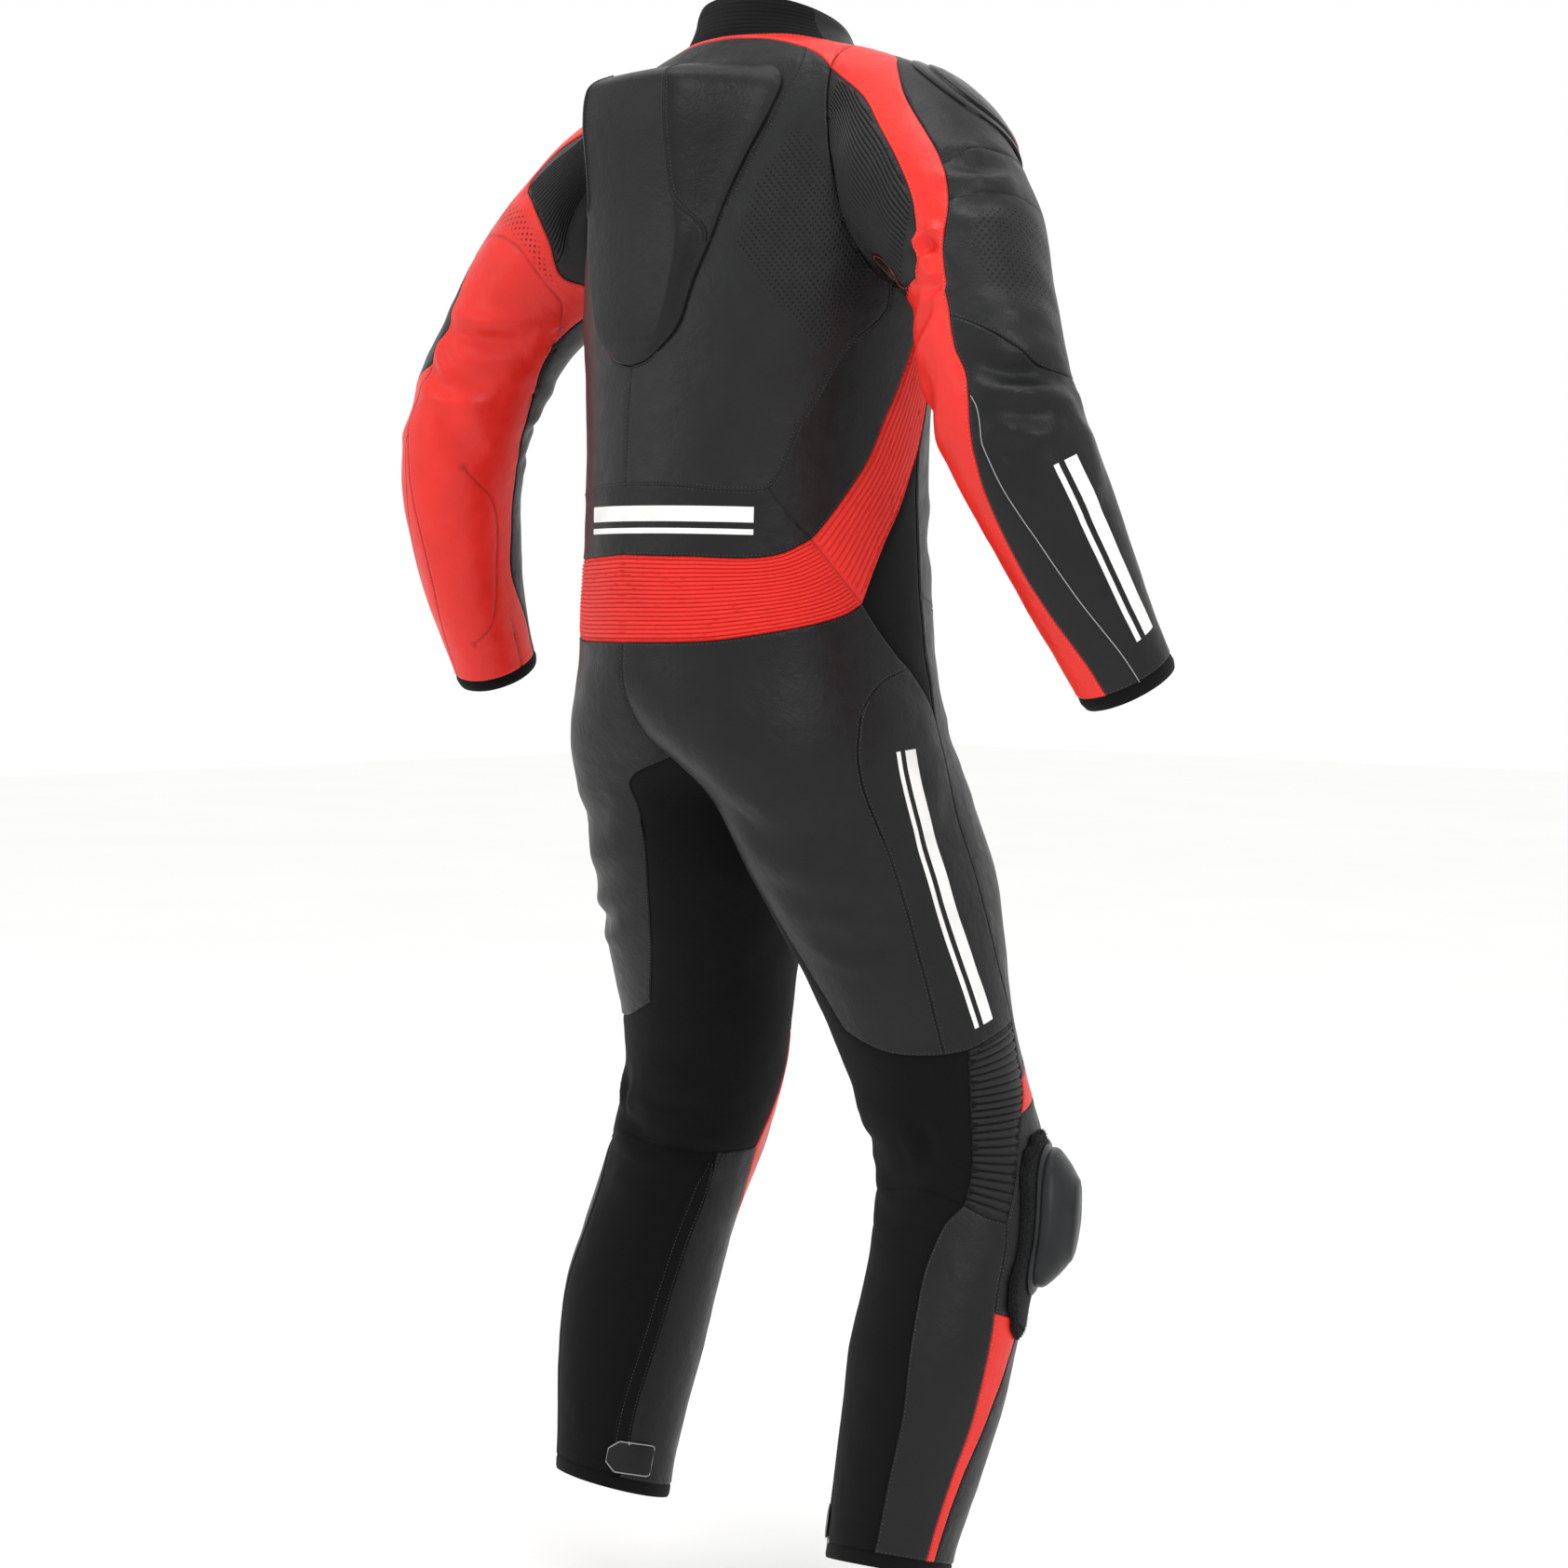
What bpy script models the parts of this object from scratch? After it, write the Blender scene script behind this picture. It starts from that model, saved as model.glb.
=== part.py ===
"""A one-piece leather racing suit for a motorcyclist, in the shape that it has when it is worn.

The cut panels lie on three charts, each a smooth tube through sections: the trunk, a leg and a sleeve.
Heights are above the wearer's floor until the end, x is to the wearer's left and y to the back.
The wearer's left half is cut and mirrored, and panels on the centre line join both halves.
"""
import math

import bmesh
import bpy
import numpy as np
from mathutils import Vector
from mathutils.geometry import delaunay_2d_cdt

# Driving dimensions
ORIGIN_HEIGHT = 1.500       # the middle of the neck opening, above the wearer's floor
LEATHER = 0.0018
STRETCH = 0.0020
COLLAR_WALL = 0.0028
BINDING_RAISE = 0.0008
SEAM_GAP = 0.0004
SEAT_GAP = 0.0008
WAIST = 0.930
CROTCH = 0.795
HEM = 0.118
HEM_BAND = 0.012
NECKLINE = 1.560
COLLAR_TOP = 1.610
SLEEVE_END = 0.548
CUFF_BAND = 0.012
CAP_LENGTH = 0.150
ZIP_HALF = 0.011
ZIP_END = 0.850
NECK_TILT = 0.18
COLLAR_FRONT_DROP = 0.55
HEM_TILT_BACK = 0.30
HEM_TILT_OUT = 0.07
SHIN = 0.40
ARMHOLE_TOP = 1.445
ARMHOLE_X = 0.150
ARMHOLE_LEAN = 0.20

# Sections of the trunk: place on the chart, height, half width, middle, depth behind and in front of it
TRUNK = np.array([
    (0.780, 0.780, 0.176, 0.010, 0.168, 0.130),
    (0.860, 0.860, 0.180, 0.016, 0.176, 0.150),
    (0.940, 0.940, 0.169, 0.022, 0.169, 0.160),
    (1.020, 1.020, 0.160, 0.023, 0.167, 0.162),
    (1.100, 1.100, 0.159, 0.023, 0.164, 0.160),
    (1.180, 1.180, 0.168, 0.022, 0.160, 0.158),
    (1.260, 1.260, 0.186, 0.018, 0.156, 0.154),
    (1.340, 1.340, 0.198, 0.012, 0.144, 0.142),
    (1.400, 1.400, 0.202, 0.006, 0.130, 0.122),
    (1.445, 1.440, 0.200, 0.004, 0.114, 0.100),
    (1.480, 1.462, 0.190, 0.004, 0.100, 0.083),
    (1.510, 1.475, 0.166, 0.003, 0.088, 0.072),
    (1.540, 1.485, 0.130, 0.001, 0.080, 0.066),
    (1.560, 1.492, 0.103, 0.000, 0.075, 0.064),
    (1.585, 1.511, 0.087, 0.000, 0.070, 0.062),
    (1.610, 1.532, 0.081, 0.000, 0.067, 0.060),
])
# Sections of the left leg: height, middle to the side, middle to the back, half width, depth behind and in front
LEG = np.array([
    (0.118, 0.190, 0.043, 0.054, 0.056, 0.056),
    (0.150, 0.193, 0.036, 0.057, 0.058, 0.058),
    (0.200, 0.197, 0.023, 0.063, 0.066, 0.064),
    (0.253, 0.200, 0.008, 0.070, 0.073, 0.070),
    (0.307, 0.200, -0.006, 0.074, 0.077, 0.075),
    (0.360, 0.198, -0.024, 0.074, 0.076, 0.075),
    (0.412, 0.194, -0.045, 0.076, 0.076, 0.078),
    (0.467, 0.182, -0.057, 0.078, 0.076, 0.081),
    (0.519, 0.166, -0.058, 0.080, 0.080, 0.082),
    (0.572, 0.152, -0.047, 0.084, 0.083, 0.086),
    (0.624, 0.142, -0.034, 0.088, 0.091, 0.098),
    (0.676, 0.128, -0.022, 0.092, 0.104, 0.120),
    (0.728, 0.113, -0.010, 0.096, 0.117, 0.138),
    (0.795, 0.096, 0.006, 0.096, 0.132, 0.142),
    (0.850, 0.076, 0.016, 0.110, 0.155, 0.146),
    (0.900, 0.060, 0.020, 0.119, 0.163, 0.148),
    (0.960, 0.040, 0.022, 0.125, 0.160, 0.150),
])
# Sections of the left sleeve: way along the arm, middle x, y and height, radius across and from front to back
ARM = np.array([
    (0.000, 0.200, 0.020, 1.372, 0.094, 0.100),
    (0.060, 0.246, 0.032, 1.346, 0.084, 0.090),
    (0.125, 0.294, 0.050, 1.296, 0.070, 0.074),
    (0.200, 0.334, 0.070, 1.232, 0.062, 0.064),
    (0.280, 0.367, 0.084, 1.155, 0.062, 0.063),
    (0.335, 0.387, 0.077, 1.102, 0.060, 0.062),
    (0.395, 0.404, 0.058, 1.046, 0.055, 0.057),
    (0.450, 0.417, 0.038, 0.994, 0.050, 0.051),
    (0.510, 0.427, 0.013, 0.942, 0.045, 0.045),
    (0.548, 0.433, -0.005, 0.908, 0.042, 0.043),
])


def smooth(table, column, at):
    """A smooth curve through one column of a table, read at places in its first column."""
    x, y = table[:, 0], table[:, column]
    step = np.diff(x)
    slope = np.diff(y) / step
    rate = np.concatenate([slope[:1], (slope[:-1] + slope[1:]) / 2, slope[-1:]])
    at = np.clip(np.asarray(at, float), x[0], x[-1])
    i = np.clip(np.searchsorted(x, at) - 1, 0, len(step) - 1)
    t = (at - x[i]) / step[i]
    return ((1 + 2 * t) * (1 - t) ** 2 * y[i] + t * (1 - t) ** 2 * step[i] * rate[i]
            + t * t * (3 - 2 * t) * y[i + 1] + t * t * (t - 1) * step[i] * rate[i + 1])


def ease(t):
    t = np.clip(t, 0, 1)
    return t * t * (3 - 2 * t)


def trunk_at(angle, v):
    """The trunk's surface. The angle runs from 0 at the centre back to pi at the centre front."""
    angle, v = np.broadcast_arrays(np.asarray(angle, float), np.asarray(v, float))
    height, half, middle, back, front = (smooth(TRUNK, k, v) for k in range(1, 6))
    c = np.cos(angle)
    y = middle + np.where(c > 0, back, front) * c
    drop = COLLAR_FRONT_DROP * (1 - c) / 2
    base = smooth(TRUNK, 1, NECKLINE)
    height = np.where(v > NECKLINE, base + (height - base) * (1 - drop), height)
    return np.stack([half * np.sin(angle), y, height + NECK_TILT * y * ease((v - 1.44) / 0.12)], -1)


def inseam_share(z):
    """The share of a leg's turn, at each side of its inseam, that the centre plane cuts off."""
    ratio = np.where(z > CROTCH, np.clip(smooth(LEG, 1, z) / smooth(LEG, 3, z), -1, 1), 1)
    return np.arccos(ratio) / (2 * math.pi)


def leg_at(u, z):
    """The left leg's surface. The turn u is 0 at the inseam, 0.25 behind, 0.5 outside and 0.75 in front."""
    u, z = np.broadcast_arrays(np.asarray(u, float), np.asarray(z, float))
    x, y, half, back, front = (smooth(LEG, k, z) for k in range(1, 6))
    sine = np.sin(2 * math.pi * u)
    tube = np.stack([x - half * np.cos(2 * math.pi * u), y + np.where(sine > 0, back, front) * sine, z], -1)
    cut = inseam_share(z)
    hip = trunk_at(math.pi * np.clip((u - cut) / (1 - 2 * cut), 0, 1), z)
    share = ease((WAIST - z) / (WAIST - CROTCH))[..., None]
    made = (1 - share) * hip + share * tube
    tilt = ease((SHIN - z) / (SHIN - HEM))
    made[..., 2] = z + tilt * (HEM_TILT_BACK * (made[..., 1] - y) + HEM_TILT_OUT * (made[..., 0] - x))
    return made


def armhole_plane(height):
    return ARMHOLE_X + ARMHOLE_LEAN * (ARMHOLE_TOP - height)


def armhole_rows():
    """The armhole seam, where a leaning plane cuts the trunk: its turn, and its place on the trunk's chart."""
    v = np.linspace(1.10, 1.555, 1200)
    inside = smooth(TRUNK, 2, v) > armhole_plane(smooth(TRUNK, 1, v))
    low, high = v[inside].min(), v[inside].max()
    v = low + (high - low) * (1 - np.cos(np.linspace(0, math.pi, 240))) / 2
    sine = np.clip(armhole_plane(smooth(TRUNK, 1, v)) / smooth(TRUNK, 2, v), 0, 1)
    sine[[0, -1]] = 1
    behind = np.arcsin(sine)
    angle = np.concatenate([behind[::-1], math.pi - behind[1:-1]])
    v = np.concatenate([v[::-1], v[1:-1]])
    p = trunk_at(angle, v)
    middle = (p.max(0) + p.min(0)) / 2
    turn = np.arctan2(p[:, 1] - middle[1], p[:, 2] - middle[2])
    order = np.argsort(turn)
    return turn[order], angle[order], v[order]


ARMHOLE_ROWS = armhole_rows()


def armhole_chart(u):
    """The armhole on the trunk's chart. The turn u is 0 on top, 0.25 behind and 0.5 below."""
    turn, angle, v = ARMHOLE_ROWS
    at = (2 * math.pi * np.asarray(u, float) + math.pi) % (2 * math.pi) - math.pi
    return np.stack([np.interp(at, turn, angle, period=2 * math.pi), np.interp(at, turn, v, period=2 * math.pi)], -1)


def arm_ring(u, s):
    """The sleeve's own round section: a ring across the arm's bent axis."""
    middle = np.stack([smooth(ARM, k, s) for k in (1, 2, 3)], -1)
    reach = 0.004
    along = np.stack([smooth(ARM, k, s + reach) - smooth(ARM, k, s - reach) for k in (1, 2, 3)], -1)
    along /= np.linalg.norm(along, axis=-1, keepdims=True)
    out = np.array([1.0, 0, 0]) - along[..., :1] * along
    out /= np.linalg.norm(out, axis=-1, keepdims=True)
    back = np.cross(out, along)
    turn = 2 * math.pi * u
    across, deep = smooth(ARM, 4, s) * np.cos(turn), smooth(ARM, 5, s) * np.sin(turn)
    return middle + across[..., None] * out + deep[..., None] * back


def sleeve_at(u, s):
    """The left sleeve's surface: the armhole seam drawn out into the arm's round sections."""
    u, s = np.broadcast_arrays(np.asarray(u, float), np.asarray(s, float))
    share = (1 - np.clip(s / CAP_LENGTH, 0, 1))[..., None] ** 2
    chart = armhole_chart(u)
    return share * trunk_at(chart[..., 0], chart[..., 1]) + (1 - share) * arm_ring(u, s)


# Each chart: its surface, metres for one unit across, and the spacing of its points
CHARTS = {
    "trunk": (trunk_at, 0.175, 0.034),
    "leg": (leg_at, 0.540, 0.033),
    "arm": (sleeve_at, 0.400, 0.029),
}
DEGREE = math.pi / 180

# Places on the shared edges of the charts where seams meet them
YOKE_BACK = 0.10            # turn around the armhole
YOKE_FRONT = 0.00
BAND_END = 0.464
BLADE_END = 0.487
WING_BACK = -0.46
WING_FRONT = -0.42
SLEEVE_FRONT = -0.25
HIP_STATION = 0.528         # share of the way round the waist from the centre back
SIDE_STATION = 0.630
ZIP_STATION = 1 - math.asin(ZIP_HALF / float(smooth(TRUNK, 2, WAIST))) / math.pi
KNEE_STATION = 0.440        # height on the inseam
HEM_STATION = HEM + HEM_BAND
CUFF_STATION = SLEEVE_END - CUFF_BAND
CROTCH_SEAM = 0.838


def hole(u):
    angle, v = armhole_chart(u)
    return (angle / DEGREE, v)


def zip_row(v):
    return (180 - math.asin(ZIP_HALF / float(smooth(TRUNK, 2, v))) / DEGREE, v)


def waist(t):
    cut = float(inseam_share(WAIST))
    return (cut + t * (1 - 2 * cut), WAIST)


def crotch_cut(z):
    return float(inseam_share(z))


# Seams: name, chart, and points on the chart. The trunk's are in degrees from the centre back
SEAMS = [
    ("neckline", "trunk", [(0, NECKLINE), (90, NECKLINE), (180, NECKLINE)]),
    ("zip_edge", "trunk", [zip_row(v) for v in (COLLAR_TOP, NECKLINE, 1.50, 1.44, 1.34, 1.20, 1.06, WAIST)]),
    ("yoke_back", "trunk", [(0, 1.549), (13, 1.549), (30, 1.537), (43, 1.507), hole(YOKE_BACK)]),
    ("yoke_front", "trunk", [hole(YOKE_FRONT), (100, 1.544), (118, NECKLINE)]),
    ("band_top", "trunk", [hole(BAND_END), (84.5, 1.242), (72.5, 1.207), (65.5, 1.167), (60, 1.137),
                           (56, 1.104), (51.5, 1.083), (42.5, 1.080), (20, 1.085), (0, 1.087)]),
    ("diagonal", "trunk", [(41.5, 1.510), (39, 1.482), (34.5, 1.425), (30, 1.375), (24, 1.322), (16.5, 1.270),
                           (13, 1.225), (8.5, 1.200), (0, 1.192)]),
    ("lumbar_bottom", "trunk", [(0, 0.943), (32, 0.945), (50, 0.952), (68, 0.962), (77, 0.970), (82, 0.978)]),
    ("wing_front", "trunk", [(82, 0.978), (91.5, 1.025), (103, 1.070), (114.5, 1.122), (119, 1.157),
                             (120, 1.190), (116, 1.240), hole(WING_FRONT)]),
    ("lumbar_top", "trunk", [(0, 1.023), (24, 1.021), (54, 1.022), (65.5, 1.036)]),
    ("wing_back", "trunk", [(65.5, 1.036), (70, 1.050), (78, 1.078), (86.5, 1.112), (92, 1.147), (97.5, 1.180),
                            (101, 1.215), (101.5, 1.245), hole(WING_BACK)]),
    ("mitre", "trunk", [(65.5, 1.036), (82, 0.978)]),
    ("hip_edge", "trunk", [(82, 0.978), (88, 0.953), (180 * HIP_STATION, WAIST)]),
    ("side_front", "trunk", [(114.5, 1.122), (114, 1.05), (113.5, 0.975), (180 * SIDE_STATION, WAIST)]),
    ("belly", "trunk", [(113.6, 0.985), (140, 0.972), (176.2, 0.968)]),
    ("hem_band", "leg", [(0, HEM_STATION), (0.5, HEM_STATION), (1, HEM_STATION)]),
    ("hip_edge", "leg", [waist(HIP_STATION), (0.545, 0.912), (0.572, 0.885), (0.577, 0.850), (0.566, 0.800),
                         (0.560, 0.700), (0.572, 0.640), (0.589, 0.598)]),
    ("side_front", "leg", [waist(SIDE_STATION), (0.586, 0.905), (0.579, 0.868)]),
    ("zip_edge", "leg", [waist(ZIP_STATION), (1 - crotch_cut(0.90) - 0.017, 0.90), (1 - crotch_cut(0.87) - 0.015, 0.87),
                         (1 - crotch_cut(ZIP_END), ZIP_END)]),
    ("above_knee", "leg", [(0.225, 0.592), (0.298, 0.576), (0.361, 0.573), (0.451, 0.578), (0.520, 0.589),
                           (0.589, 0.598)]),
    ("strip_back", "leg", [(0.533, 0.920), (0.486, 0.908), (0.456, 0.886), (0.445, 0.861), (0.436, 0.818),
                           (0.436, 0.751), (0.420, 0.660), (0.409, 0.611), (0.404, 0.575)]),
    ("inner_back", "leg", [(crotch_cut(CROTCH_SEAM), CROTCH_SEAM), (0.185, 0.812), (0.180, 0.783), (0.188, 0.713),
                           (0.203, 0.640), (0.225, 0.592)]),
    ("ribs_back", "leg", [(0.451, 0.578), (0.421, 0.526), (0.393, 0.466), (0.378, 0.443)]),
    ("ribs_front", "leg", [(0.589, 0.598), (0.580, 0.568), (0.567, 0.541), (0.516, 0.505), (0.490, 0.465),
                           (0.464, 0.426)]),
    ("ribs_end", "leg", [(0.378, 0.443), (0.420, 0.433), (0.464, 0.426)]),
    ("knee_back", "leg", [(0.378, 0.443), (0.300, 0.455), (0.201, 0.448), (0.088, 0.441), (0, KNEE_STATION)]),
    ("knee_inner", "leg", [(1, KNEE_STATION), (0.940, 0.440)]),
    ("inner_front", "leg", [(1 - crotch_cut(CROTCH_SEAM), CROTCH_SEAM), (0.840, 0.800), (0.850, 0.720),
                            (0.850, 0.640), (0.868, 0.560), (0.900, 0.500), (0.940, 0.440)]),
    ("knee_top", "leg", [(0.572, 0.545), (0.650, 0.557), (0.750, 0.562), (0.830, 0.558), (0.870, 0.552)]),
    ("calf_front", "leg", [(0.464, 0.426), (0.474, 0.376), (0.484, 0.330), (0.482, 0.250), (0.476, 0.170),
                           (0.476, HEM_STATION)]),
    ("cup_end", "leg", [(0.940, 0.440), (0.925, 0.408), (0.885, 0.370), (0.820, 0.337), (0.700, 0.325),
                        (0.600, 0.335), (0.482, 0.349)]),
    ("cup_top", "leg", [(0.533, 0.515), (0.640, 0.527), (0.750, 0.532), (0.820, 0.512), (0.862, 0.460),
                        (0.875, 0.410), (0.872, 0.364)]),
    ("calf_back", "leg", [(0.378, 0.443), (0.343, 0.426), (0.320, 0.393), (0.323, 0.353), (0.336, 0.263),
                          (0.338, 0.180), (0.338, HEM_STATION)]),
    ("shin_edge", "leg", [(0.578, 0.339), (0.555, 0.305), (0.528, 0.261), (0.506, 0.196), (0.502, HEM_STATION)]),
    ("ankle_zip", "leg", [(0.048, 0.4405), (0.053, 0.368), (0.063, 0.278), (0.088, 0.171), (0.092, HEM_STATION)]),
    ("cuff_band", "arm", [(-0.5, CUFF_STATION), (0, CUFF_STATION), (0.5, CUFF_STATION)]),
    ("strip_inner", "arm", [(YOKE_BACK, 0), (0.149, 0.035), (0.193, 0.065), (0.221, 0.100), (0.239, 0.128),
                            (0.262, 0.150), (0.298, 0.185)]),
    ("blade_end", "arm", [(0.298, 0.185), (0.345, 0.180), (0.400, 0.150), (0.450, 0.080), (BLADE_END, 0)]),
    ("strip_outer", "arm", [(YOKE_FRONT, 0), (0.021, 0.022), (0.077, 0.045), (0.119, 0.065), (0.139, 0.090),
                            (0.150, 0.115), (0.175, 0.143), (0.205, 0.175), (0.221, 0.215), (0.219, 0.255),
                            (0.200, 0.280), (0.223, 0.310), (0.245, 0.350), (0.256, 0.427), (0.213, 0.503),
                            (0.200, CUFF_STATION)]),
    ("sleeve_join", "arm", [(SLEEVE_FRONT, 0), (-0.240, 0.100), (-0.220, 0.270), (-0.200, 0.400),
                            (-0.200, CUFF_STATION)]),
    ("inner_join", "arm", [(WING_BACK, 0), (-0.475, 0.100), (-0.475, 0.190), (-0.450, 0.225), (-0.440, 0.280),
                           (-0.458, 0.378), (-0.468, 0.427), (-0.410, 0.495), (-0.406, CUFF_STATION)]),
    ("cap_end", "arm", [(0.149, 0.113), (0.060, 0.108), (-0.035, 0.104), (-0.150, 0.092), (-0.240, 0.085)]),
    ("elbow", "arm", [(0.220, 0.232), (0.159, 0.247), (0.091, 0.265), (0.043, 0.278), (-0.080, 0.288),
                      (-0.218, 0.285)]),
]

# Ribbed stretch panels: chart, first border, second border, ribs along them or across, count, start, end,
# height of a rib, spacing of its points. A border is a seam with the share of it where it starts and ends
RIBS = [
    ("trunk", ("lumbar_bottom", 0, 1), ("lumbar_top", 0, 1), "along", 20, 0.0, 0.97, 0.0011, 0.034),
    ("trunk", ("wing_front", 0, 1), ("wing_back", 0, 1), "along", 12, 0.03, 0.95, 0.0011, 0.032),
    ("leg", ("ribs_back", 0, 1), ("ribs_front", 0, 1), "across", 22, 0.07, 0.93, 0.0014, 0.024),
    ("arm", ("blade_edge", 0, 1), ("blade_outer", 0, 1), "along", 9, 0.05, 0.94, 0.0014, 0.026),
]
RIBBED = ("lumbar", "wing", "knee_ribs", "blade")
# Borders of the arm's ribs that are no seams
RIB_BORDERS = {
    "blade_edge": [(0.170, 0.009), (0.300, 0.010), (0.425, 0.013)],
    "blade_outer": [(YOKE_BACK, 0), (0.149, 0.035), (0.193, 0.065), (0.221, 0.100), (0.239, 0.128),
                    (0.262, 0.150), (0.298, 0.185)],
}
# The left sleeve is worn turned forward, so its ribbed stretch ends nearer the armhole
LEFT_ARM = {
    "strip_inner": [(YOKE_BACK, 0), (0.125, 0.035), (0.155, 0.075), (0.200, 0.078)],
    "blade_end": [(0.200, 0.078), (0.247, 0.074), (0.346, 0.074), (0.418, 0.087), (0.466, 0.060), (BLADE_END, 0)],
    "blade_outer": [(0.112, 0.012), (0.145, 0.055), (0.200, 0.068), (0.300, 0.066), (0.410, 0.076)],
}

# Largest folds: chart, points of the crest, height, half width
FOLDS = [
    ("arm", [(0.190, 0.268), (0.100, 0.279), (0.000, 0.290), (-0.120, 0.290)], -0.006, 0.014),
    ("arm", [(0.170, 0.225), (0.060, 0.238), (-0.060, 0.240)], 0.004, 0.016),
    ("arm", [(0.330, 0.205), (0.420, 0.188), (0.480, 0.170)], -0.005, 0.014),
    ("arm", [(0.300, 0.262), (0.380, 0.280), (0.470, 0.285)], -0.005, 0.014),
    ("leg", [(0.330, 0.478), (0.230, 0.462), (0.110, 0.470)], -0.006, 0.015),
    ("leg", [(0.310, 0.505), (0.200, 0.520), (0.090, 0.505)], 0.004, 0.016),
    ("leg", [(0.300, 0.420), (0.200, 0.405), (0.110, 0.415)], 0.004, 0.016),
    ("leg", [(0.210, 0.800), (0.290, 0.770), (0.370, 0.775)], -0.005, 0.016),
    ("trunk", [(125, 1.03), (150, 1.045), (170, 1.04)], -0.005, 0.016),
]

# Panels: name, chart, a point on it, whether it crosses the centre line, wall, raise, finish left and right
PANELS = [
    ("upper_back", "trunk", (5, 1.40), True, LEATHER, 0, "black_leather", "black_leather"),
    ("back", "trunk", (45, 1.30), False, LEATHER, 0, "black_leather", "black_leather"),
    ("back_band", "trunk", (30, 1.05), True, LEATHER, 0, "black_leather", "black_leather"),
    ("lumbar", "trunk", (70, 0.985), True, STRETCH, 0, "red_stretch", "red_stretch"),
    ("wing", "trunk", (75, 1.02), False, STRETCH, 0, "red_stretch", "red_stretch"),
    ("side", "trunk", (104, 1.02), False, STRETCH, 0, "black_stretch", "black_stretch"),
    ("front", "trunk", (140, 1.20), False, LEATHER, 0, "black_leather", "black_leather"),
    ("yoke", "trunk", (50, 1.530), True, LEATHER, 0, "red_leather", "red_leather"),
    ("front_zip", "trunk", (179.3, 1.20), True, LEATHER, 0, "black_stretch", "black_stretch"),
    ("collar", "trunk", (60, 1.585), True, COLLAR_WALL, 0, "black_stretch", "black_stretch"),
    ("seat", "leg", (0.30, 0.80), False, LEATHER, 0, "black_leather", "black_leather"),
    ("hip_strip", "leg", (0.50, 0.75), False, LEATHER, 0, "black_leather", "black_leather"),
    ("front_thigh", "leg", (0.70, 0.75), False, LEATHER, 0, "black_leather", "black_leather"),
    ("inner_leg", "leg", (0.05, 0.60), False, STRETCH, 0, "black_stretch", "black_stretch"),
    ("knee_ribs", "leg", (0.46, 0.575), False, STRETCH, 0, "black_stretch", "black_stretch"),
    ("knee_band", "leg", (0.75, 0.547), False, LEATHER, 0, "red_leather", "red_leather"),
    ("knee_cup", "leg", (0.70, 0.45), False, LEATHER, 0, "black_leather", "black_leather"),
    ("calf_side", "leg", (0.41, 0.30), False, LEATHER, 0, "black_leather", "black_leather"),
    ("shin_strip", "leg", (0.51, 0.30), False, LEATHER, 0, "red_leather", "red_leather"),
    ("shin", "leg", (0.75, 0.22), False, LEATHER, 0, "black_leather", "black_leather"),
    ("calf", "leg", (0.20, 0.30), False, STRETCH, 0, "black_stretch", "black_stretch"),
    ("hem", "leg", (0.20, 0.122), False, STRETCH, BINDING_RAISE, "black_stretch", "black_stretch"),
    ("blade", "arm", (0.35, 0.04), False, STRETCH, 0, "black_stretch", "black_stretch"),
    ("sleeve_under", "arm", (0.35, 0.35), False, LEATHER, 0, "red_leather", "red_leather"),
    ("sleeve_cap", "arm", (0.0, 0.06), False, LEATHER, 0, "black_leather", "black_leather"),
    ("upper_sleeve", "arm", (0.05, 0.18), False, LEATHER, 0, "black_leather", "black_leather"),
    ("forearm", "arm", (0.0, 0.42), False, LEATHER, 0, "red_leather", "black_leather"),
    ("sleeve_front", "arm", (-0.33, 0.30), False, LEATHER, 0, "black_leather", "black_leather"),
    ("cuff", "arm", (0.0, 0.542), False, STRETCH, BINDING_RAISE, "black_stretch", "black_stretch"),
]

# Pads that lie on the panels: name, chart, middle, half sizes in metres, power of the outline, lift off the
# leather, rise in the middle, rise at the edge, finish
PADS = [
    ("shoulder_plate", "arm", (-0.055, 0.060), (0.046, 0.029), 2.6, 0.0021, 0.0085, 0.0030, "black_plastic"),
    ("slider_base", "leg", (0.608, 0.412), (0.062, 0.086), 3.0, 0.0018, 0.0030, 0.0020, "hook_tape"),
    ("knee_slider", "leg", (0.612, 0.430), (0.046, 0.063), 3.0, 0.0060, 0.0290, 0.0200, "black_plastic"),
]
PAD_RINGS = 4
PAD_SIDES = 18

# The hump: place on the trunk's chart, half width of its crown, half width of its foot, rise
HUMP = np.array([
    (1.195, 0.026, 0.036, 0.005),
    (1.225, 0.042, 0.054, 0.011),
    (1.270, 0.055, 0.067, 0.017),
    (1.305, 0.061, 0.078, 0.023),
    (1.340, 0.058, 0.086, 0.032),
    (1.380, 0.056, 0.097, 0.048),
    (1.420, 0.056, 0.108, 0.066),
    (1.455, 0.055, 0.112, 0.077),
    (1.482, 0.053, 0.113, 0.079),
])
HUMP_ROWS = 12
HUMP_COLUMNS = 12
HUMP_EDGE = 0.0025

FINISHES = {
    "black_leather": ((0.014, 0.014, 0.015), 0.42, 0.0),
    "red_leather": ((0.80, 0.042, 0.026), 0.40, 0.0),
    "red_stretch": ((0.72, 0.040, 0.026), 0.60, 0.0),
    "black_stretch": ((0.008, 0.008, 0.009), 0.80, 0.0),
    "black_plastic": ((0.006, 0.006, 0.007), 0.22, 0.0),
    "hook_tape": ((0.010, 0.010, 0.010), 0.90, 0.0),
}
SNAP = 0.013                # a seam's end this near to another seam or an edge is drawn onto it
JOIN = 0.006                # stops nearer than this on one seam are the same stop
SPAN_POINTS = 30
SLIVER = 1e-8               # twice the area of a triangle that lies on a straight edge, in square metres
SHARPEST = 0.25             # a corner's point moves in no further than this allows
COLLECTION = "racing_suit"


def lengths(line):
    return np.concatenate([[0], np.cumsum(np.linalg.norm(np.diff(line, axis=0), axis=1))])


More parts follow.
